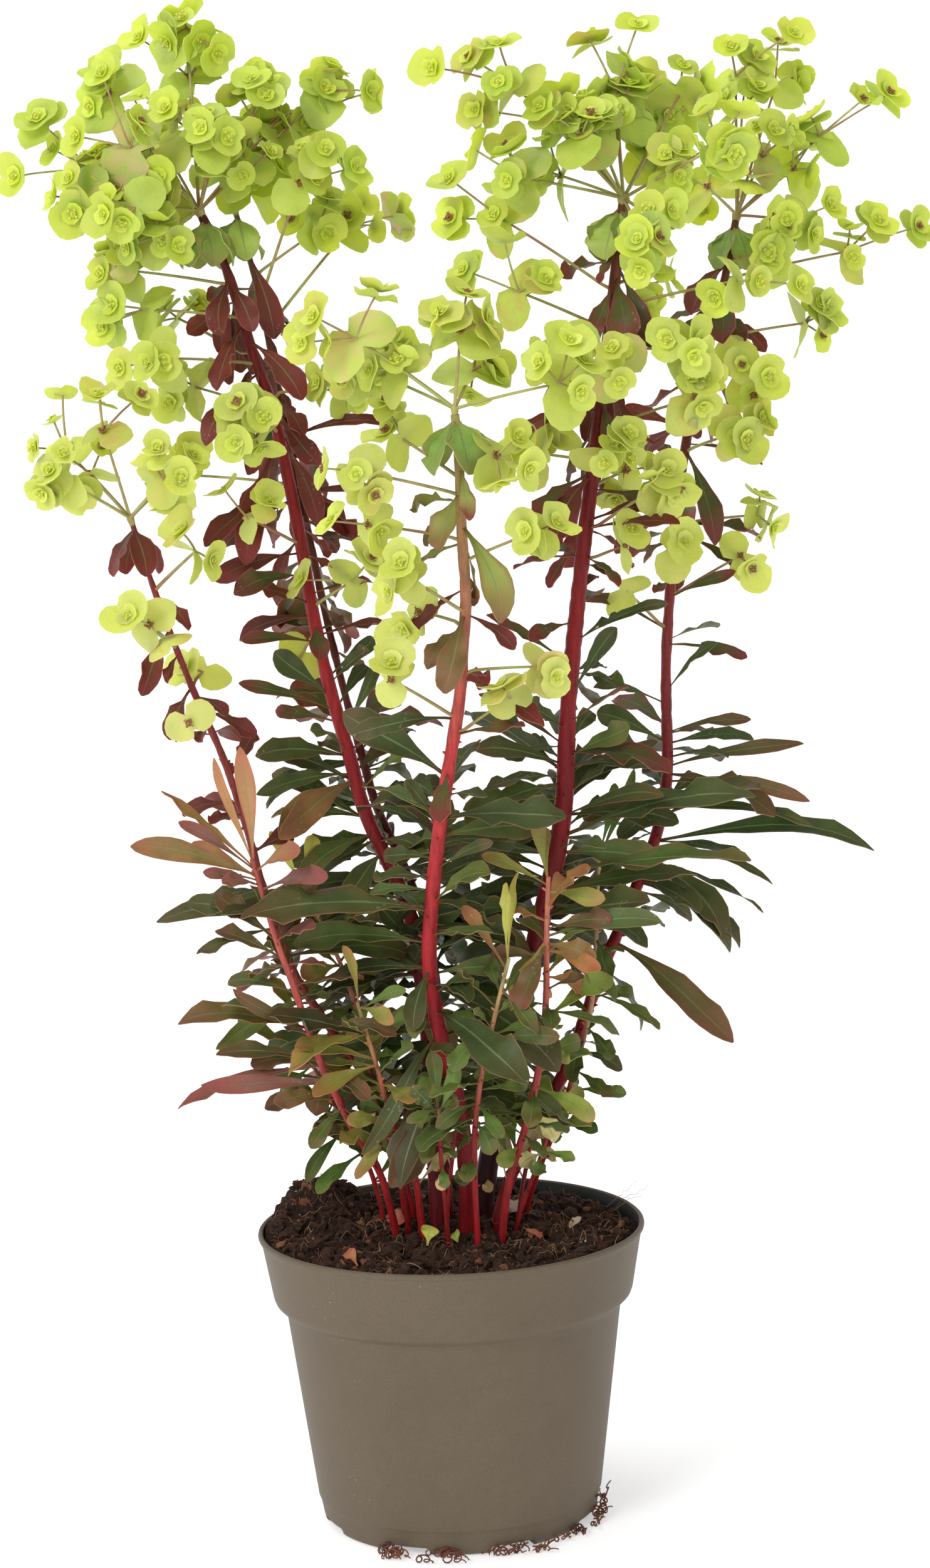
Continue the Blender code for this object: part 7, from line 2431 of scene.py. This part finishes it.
pot = added("nursery_pot", bpy.ops.mesh.primitive_circle_add, vertices=POT_STEPS_AROUND,
            radius=POT_BASE_RADIUS * MM, fill_type="NGON")
edit(pot)
bpy.ops.mesh.select_mode(type="FACE")
bpy.ops.mesh.select_all(action="SELECT")
reach, height = POT_BASE_RADIUS, 0.0
for radius, level in POT_OUTLINE:
    bpy.ops.mesh.extrude_region_move(
        TRANSFORM_OT_translate={"value": (0.0, 0.0, (level - height) * MM)})
    bpy.ops.transform.resize(value=(radius / reach, radius / reach, 1.0))
    reach, height = radius, level
bpy.ops.mesh.select_all(action="SELECT")
bpy.ops.mesh.normals_make_consistent(inside=False)
leave_edit()
print("pot:", len(pot.data.polygons), "faces,", [round(n, 4) for n in pot.dimensions])

# %% Cut the bays and the drain holes
# How far the cutters reach past the foot and below the ground, and how round their tops are.
BAY_BEYOND = 6.0
BAY_ROUND = 1.6
BAY_NARROWER = 0.9
DRAIN_LENGTH = 10.0
DRAIN_LEVEL = 4.5


def round_the_foot(turn, reach, level):
    """A place in metres, at an angle and a distance from the pot's axis."""
    return reach * math.cos(turn) * MM, reach * math.sin(turn) * MM, level * MM


cutters = []
for number in range(BAY_COUNT):
    turn = math.tau * (number + 0.5) / BAY_COUNT - math.pi / 2
    middle = (BAY_INNER_RADIUS + FOOT_RADIUS + BAY_BEYOND) / 2
    cutter = added(f"bay_cutter_{number}", bpy.ops.mesh.primitive_cube_add, size=1.0,
                   rotation=(0.0, 0.0, turn),
                   location=round_the_foot(turn, middle, (BAY_HEIGHT - BAY_BEYOND) / 2))
    cutter.scale = ((FOOT_RADIUS + BAY_BEYOND - BAY_INNER_RADIUS) * MM,
                    BAY_WIDTH * BAY_NARROWER * MM, (BAY_HEIGHT + BAY_BEYOND) * MM)
    settle(cutter)
    edit(cutter)
    pick_points(cutter, lambda co: co.z > 0.0)
    bpy.ops.mesh.bevel(offset=BAY_ROUND * MM, segments=3)
    leave_edit()
    cutters.append(cutter)
    if number % 2 == 0:
        cutter = added(f"drain_cutter_{number}", bpy.ops.mesh.primitive_cylinder_add,
                       vertices=24, radius=DRAIN_RADIUS * MM, depth=DRAIN_LENGTH * MM,
                       location=round_the_foot(turn, BAY_INNER_RADIUS + DRAIN_INSET,
                                               DRAIN_LEVEL))
        settle(cutter)
        cutters.append(cutter)
for cutter in cutters:
    finish_with(pot, "BOOLEAN", operation="DIFFERENCE", object=cutter, solver="EXACT")
    bpy.data.objects.remove(cutter, do_unlink=True)
pot.data.materials.clear()
pot.data.materials.append(POT_OUTSIDE)
pot.data.materials.append(POT_INSIDE)


def outer_wall(height):
    """Radius of the pot's outside at a height, in mm."""
    levels, radii = zip(*sorted((level, radius) for radius, level in POT_OUTLINE[:20]))
    return float(np.interp(height, levels, radii))


for face in pot.data.polygons:
    across = math.hypot(face.center.x, face.center.y) / MM
    level = face.center.z / MM
    inside = level > BAY_HEIGHT + FLOOR - 0.5 and across < outer_wall(level) - 1.0
    face.material_index = 1 if inside and level < POT_HEIGHT - 0.8 else 0
smooth(pot, 32.0)
stand_for(pot, "pot_plastic", "pot")

# %% [markdown]
# ## The soil
#
# Potting soil is dark peat with coir fibres, white perlite and crumbs of all sizes. Its top
# is a fine grid, rounded to the pot and lifted by the same height as the measured soil plus
# three sizes of noise; on the left it stands higher against the wall. Loose crumbs, fibres,
# perlite and fallen leaves then lie on it as real pieces, since it is they that make soil
# look like soil.

# %% Soil finishes
SOIL_DARK = mottled_finish("soil_dark", (0.005, 0.002, 0.001), (0.060, 0.020, 0.006), 520.0,
                           0.95, 1.0, 0.42, 0.62)
CRUMB = mottled_finish("soil_crumbs", (0.005, 0.002, 0.001), (0.090, 0.029, 0.008), 700.0,
                       0.95, 1.0, 0.42, 0.62)
CHIP = mottled_finish("bark_chips", (0.090, 0.030, 0.012), (0.260, 0.100, 0.042), 260.0, 0.8,
                      0.8)
FIBRE = mottled_finish("soil_fibres", (0.150, 0.058, 0.024), (0.54, 0.32, 0.16), 60.0, 0.8, 0.3)
PERLITE = mottled_finish("perlite", (0.62, 0.60, 0.55), (0.85, 0.84, 0.80), 500.0, 0.9, 0.6)
ROOT = mottled_finish("fine_roots", (0.060, 0.014, 0.008), (0.22, 0.070, 0.034), 120.0, 0.7,
                      0.4)

# %% Measures of the soil
SOIL_CELLS = 150
SOIL_REACH = 91.6
SOIL_DEEP_OUTLINE = ((88.0, 134.0), (86.1, 112.6), (80.3, 106.6), (64.8, 6.6))
# Lumps: height and width in mm; where the edge starts to sink; the rise against the wall.
CLUMPS, CLUMP_WIDTH = 3.0, 15.0
CRUMBS, CRUMB_WIDTH = 1.8, 3.8
EDGE_STARTS, EDGE_WIDTH, EDGE_SINKS = 82.0, 9.0, 1.8
LEFT_RISE = 3.4

# %% The height of the finished soil
def soil_surface(x, y):
    """Height of the finished soil: the measured one with lumps and crumbs, in mm."""
    spot = Vector((x, y, 0.0))
    clumps = CLUMPS * noise.fractal(spot / CLUMP_WIDTH, 0.7, 2.1, 4)
    crumbs = CRUMBS * noise.fractal(spot / CRUMB_WIDTH + Vector((7.0, 3.0, 1.0)), 0.6, 2.2, 3)
    far = math.hypot(x, y)
    edge = max(0.0, (far - EDGE_STARTS) / EDGE_WIDTH)
    against_wall = LEFT_RISE * max(0.0, -x / 90.0) * (far / 90.0) ** 2
    return soil_height(x, y) + clumps + crumbs + against_wall - EDGE_SINKS * edge ** 2

# %% Raise the bed of soil
soil = added("soil_bed", bpy.ops.mesh.primitive_grid_add, x_subdivisions=SOIL_CELLS,
             y_subdivisions=SOIL_CELLS, size=2.0)
flat = corners_of(soil)
x, y = flat[:, 0].copy(), flat[:, 1].copy()
flat[:, 0] = x * np.sqrt(1.0 - y * y / 2.0) * SOIL_REACH
flat[:, 1] = y * np.sqrt(1.0 - x * x / 2.0) * SOIL_REACH
flat[:, 2] = [soil_surface(a, b) for a, b in zip(flat[:, 0], flat[:, 1])]
move_corners(soil, flat * MM)
edit(soil)
bpy.ops.mesh.select_all(action="SELECT")
bpy.ops.mesh.region_to_loop()
reach = SOIL_REACH
for radius, level in SOIL_DEEP_OUTLINE:
    bpy.ops.mesh.extrude_edges_move()
    bpy.ops.transform.resize(value=(radius / reach, radius / reach, 0.0))
    mesh = bmesh.from_edit_mesh(soil.data)
    now = [vert.co.z for vert in mesh.verts if vert.select]
    bpy.ops.transform.translate(value=(0.0, 0.0, level * MM - sum(now) / len(now)))
    reach = radius
bpy.ops.mesh.edge_face_add()
bpy.ops.mesh.select_all(action="SELECT")
bpy.ops.mesh.normals_make_consistent(inside=False)
leave_edit()
soil.data.materials.append(SOIL_DARK)
smooth(soil, 50.0)
stand_for(soil, "soil", "potting_soil")

# %% Crumbs and perlite
LOOSE_REACH = 88.0
LOOSE_EDGE = 90.0
loose = random.Random(SEED + 2)


def spot_on_soil():
    """How far from the middle and at what angle a loose piece lies, evenly spread."""
    return LOOSE_REACH * math.sqrt(loose.random()), loose.uniform(0.0, math.tau)


def crumb_pattern(name, finish, rough):
    crumb = added("pattern_" + name, bpy.ops.mesh.primitive_ico_sphere_add, subdivisions=1,
                  radius=1.0)
    places = corners_of(crumb)
    for index, place_of in enumerate(places):
        spot = Vector(place_of)
        places[index] = place_of * (1.0 + rough * noise.fractal(spot * 1.3, 0.8, 2.0, 3))
    move_corners(crumb, places)
    crumb.data.materials.append(finish)
    smooth(crumb, 30.0)
    return crumb


def scatter(pattern, name, count, small, large, sunk):
    """Copies of a crumb over the soil, each turned and stretched in its own way."""
    things = []
    shape = corners_of(pattern)
    for number in range(count):
        far, turn = spot_on_soil()
        x, y = far * math.cos(turn), far * math.sin(turn)
        size = small + (large - small) * loose.random() ** 3
        if far + size > LOOSE_EDGE:
            continue
        spin = Matrix.Rotation(loose.uniform(0, math.tau), 3, "Z") @ Matrix.Rotation(
            loose.uniform(0, math.tau), 3, "X")
        stretch = Matrix.Diagonal((loose.uniform(0.8, 1.5), loose.uniform(0.7, 1.1),
                                   loose.uniform(0.6, 1.0)))
        turn_by = np.array(spin @ stretch)
        middle = np.array((x, y, soil_surface(x, y) + size * sunk))
        things.append(shaped_copy(pattern, f"{name}_{number}", shape @ turn_by.T * size + middle))
    return gather(name, things)


LOOSE_PIECES = (
    # name, finish, how rough, count, smallest and largest in mm, how far it stands out
    ("soil_crumbs", CRUMB, 0.75, 3600, 0.4, 4.2, 0.25),
    ("bark_chips", CHIP, 0.60, 560, 0.4, 2.6, 0.6),
    ("perlite_grains", PERLITE, 0.25, 60, 0.3, 0.9, 0.6),
)
for name, finish, rough, *spread in LOOSE_PIECES:
    stand_for(scatter(crumb_pattern(name, finish, rough), name, *spread), "soil")

# %% Fibres
FIBRE_COUNT = 600
FIBRE_STEPS = 9
SHORT_FIBRE, LONG_FIBRE = (4.0, 10.0), (10.0, 24.0)
FIBRE_RADII = (0.06, 0.15)


def soil_fibre(x, y, long, thick, stands):
    heading = loose.uniform(0.0, math.tau)
    run = []
    bend = loose.uniform(-0.5, 0.5)
    for step in range(FIBRE_STEPS + 1):
        arch = stands * math.sin(step / FIBRE_STEPS * math.pi)
        lift = 0.5 + arch + loose.uniform(-0.15, 0.15)
        if math.hypot(x, y) < LOOSE_EDGE:
            run.append((Vector((x, y, soil_surface(x, y) + lift)), thick))
        heading += bend * 0.35 + loose.uniform(-0.35, 0.35)
        x += math.cos(heading) * long / FIBRE_STEPS
        y += math.sin(heading) * long / FIBRE_STEPS
    return run


fibres = []
for number in range(FIBRE_COUNT):
    far, turn = spot_on_soil()
    run = soil_fibre(far * math.cos(turn), far * math.sin(turn),
                     loose.uniform(*(SHORT_FIBRE if number % 4 else LONG_FIBRE)),
                     loose.uniform(*FIBRE_RADII), 0.8 + 4.6 * loose.random() ** 3)
    if len(run) > 3:
        fibres.append(run)
stand_for(stalks("soil_fibres", fibres, FIBRE, 1), "soil")

# %% Fallen leaves
FALLEN_LEAVES = (
    # column and row of the stalk and of the tip, mm that the tip stands up, mm of width, kind
    ((604, 1950), (646, 1968), 6.0, 9.0, "rust"), ((568, 2030), (554, 2016), 6.0, 6.5, "rust"),
    ((836, 1968), (862, 1988), 4.0, 6.0, "rust"), ((806, 1920), (828, 1952), 5.0, 8.0, "rust"),
    ((682, 1996), (690, 1986), 9.0, 9.0, "lime"), ((732, 1996), (724, 1988), 7.0, 6.0, "lime"),
    ((862, 1894), (910, 1906), 4.0, 6.0, "fresh"), ((764, 1968), (790, 1948), 4.0, 9.0, "straw"),
    ((842, 1990), (856, 1978), 4.0, 4.0, "rust"), ((930, 1950), (912, 1962), 4.0, 4.0, "straw"),
)
FALLEN_REACH = 78.0


def on_soil(column, row):
    """The point of the soil that is seen at a column and row, kept clear of the pot's wall."""
    near, beyond = -SOIL_REACH, SOIL_REACH
    for _ in range(24):
        middle = (near + beyond) / 2
        point = place(column, row, middle)
        if point.z > soil_surface(point.x, point.y):
            near = middle
        else:
            beyond = middle
    point = place(column, row, near)
    inward = min(1.0, FALLEN_REACH / math.hypot(point.x, point.y))
    return Vector((point.x * inward, point.y * inward, point.z))


fallen = []
for number, (stalk, end, stands, wide, kind) in enumerate(FALLEN_LEAVES):
    root, tip = on_soil(*stalk) + UP * 2.4, on_soil(*end) + UP * stands
    note = {"root": root, "tip": tip, "rise": UP * 1.6, "wide": wide,
            "face": (UP + TO_VIEWER * 0.9).normalized()}
    thing = bend_leaf(LEAF_PATTERNS["spoon"], f"fallen_{number}", note, loose)
    colour_leaf(thing, kind, loose)
    fallen.append(thing)
stand_for(gather("fallen_leaves", fallen), "young_shoot")

# %% Fibres over the rim at the right
RIM_HAIRS = ((22.0, 13.0, 5.0), (25.0, 9.0, 7.0), (19.0, 7.0, 2.5))
HAIR_START = 86.0
HAIR_STEPS = 8
rim_hairs = []
for turn, reach, rise in RIM_HAIRS:  # degrees round the pot, mm past the rim, mm above it
    out = level_spoke(math.radians(turn))
    start = out * HAIR_START
    start.z = soil_surface(start.x, start.y) + 0.5
    lip = out * (RIM_RADIUS - 1.5) + UP * (POT_HEIGHT + 0.8)
    end = out * (RIM_RADIUS + reach) + UP * (POT_HEIGHT + rise)
    side = Vector((-out.y, out.x, 0.0))
    run = [(start, 0.14), (lip, 0.13)]
    for step in range(1, HAIR_STEPS + 1):
        part = step / HAIR_STEPS
        wiggle = side * loose.uniform(-1.0, 1.0) + UP * loose.uniform(-0.8, 0.8)
        run.append((lip.lerp(end, part) + wiggle, 0.13 - 0.05 * part))
    rim_hairs.append(run)
stand_for(stalks("fibres_over_rim", rim_hairs, FIBRE, 1), "soil")

# %% [markdown]
# ## Roots at the foot
#
# Fine red-brown roots have grown out of the drain holes and curl round the foot in small
# springs. A spring is a tube along a run that circles while it moves on.

# %% Curly roots
ROOT_THICK = 0.44
ROOT_THINS = 0.16
STEPS_PER_LOOP = 9


def curly_root(start, heading, long, wide, turns, climb):
    """A loose spring of root that lies on the ground or climbs a little."""
    side = Vector((-heading.y, heading.x, 0.0))
    run = []
    steps = int(turns * STEPS_PER_LOOP)
    for step in range(steps + 1):
        part = step / steps
        angle = part * turns * math.tau
        loop = wide * (0.7 + 0.3 * math.sin(part * 5.0))
        point = (start + heading * (long * part) + heading * (loop * 0.7 * math.sin(angle))
                 + side * (loop * 0.5 * math.cos(angle * 0.8))
                 + UP * (loop * 0.55 * (1.0 + math.cos(angle))))
        point.z = max(0.5, point.z) + climb * part
        run.append((point, ROOT_THICK - ROOT_THINS * part))
    return run


ROOT_PLACES = (
    # how many, degrees round the foot, reach outwards in mm, climb in mm, wide loops
    (15, (-121.0, -92.0), (-5.0, 9.0), (0.0, 1.5), (2.4, 5.0)),
    (11, (-78.0, -50.0), (-4.0, 8.0), (0.0, 1.0), (2.2, 4.4)),
    (8, (-50.0, -24.0), (0.0, 5.0), (0.0, 2.0), (1.8, 3.6)),
    (8, (-20.0, -6.0), (1.0, 5.0), (2.0, 17.0), (2.4, 4.4)),
)
roots = []
for count, round_foot, outwards, climbs, loops in ROOT_PLACES:
    for number in range(count):
        out = level_spoke(math.radians(loose.uniform(*round_foot)))
        along_foot = Vector((-out.y, out.x, 0.0)) * loose.choice((-1.0, 1.0))
        start = out * (FOOT_RADIUS + loose.uniform(*outwards)) + UP * 0.5
        heading = (along_foot + out * loose.uniform(0.0, 0.9)).normalized()
        roots.append(curly_root(start, heading, loose.uniform(5.0, 12.0), loose.uniform(*loops),
                                loose.uniform(1.5, 3.5), loose.uniform(*climbs)))
stand_for(stalks("roots_at_foot", roots, ROOT, 1), "soil")

# %% [markdown]
# ## The finished part
#
# The flat patterns have done their work and are removed.

# %% Tidy and finish
for thing in [thing for thing in bpy.data.objects if thing.name.startswith("pattern_")]:
    bpy.data.objects.remove(thing, do_unlink=True)
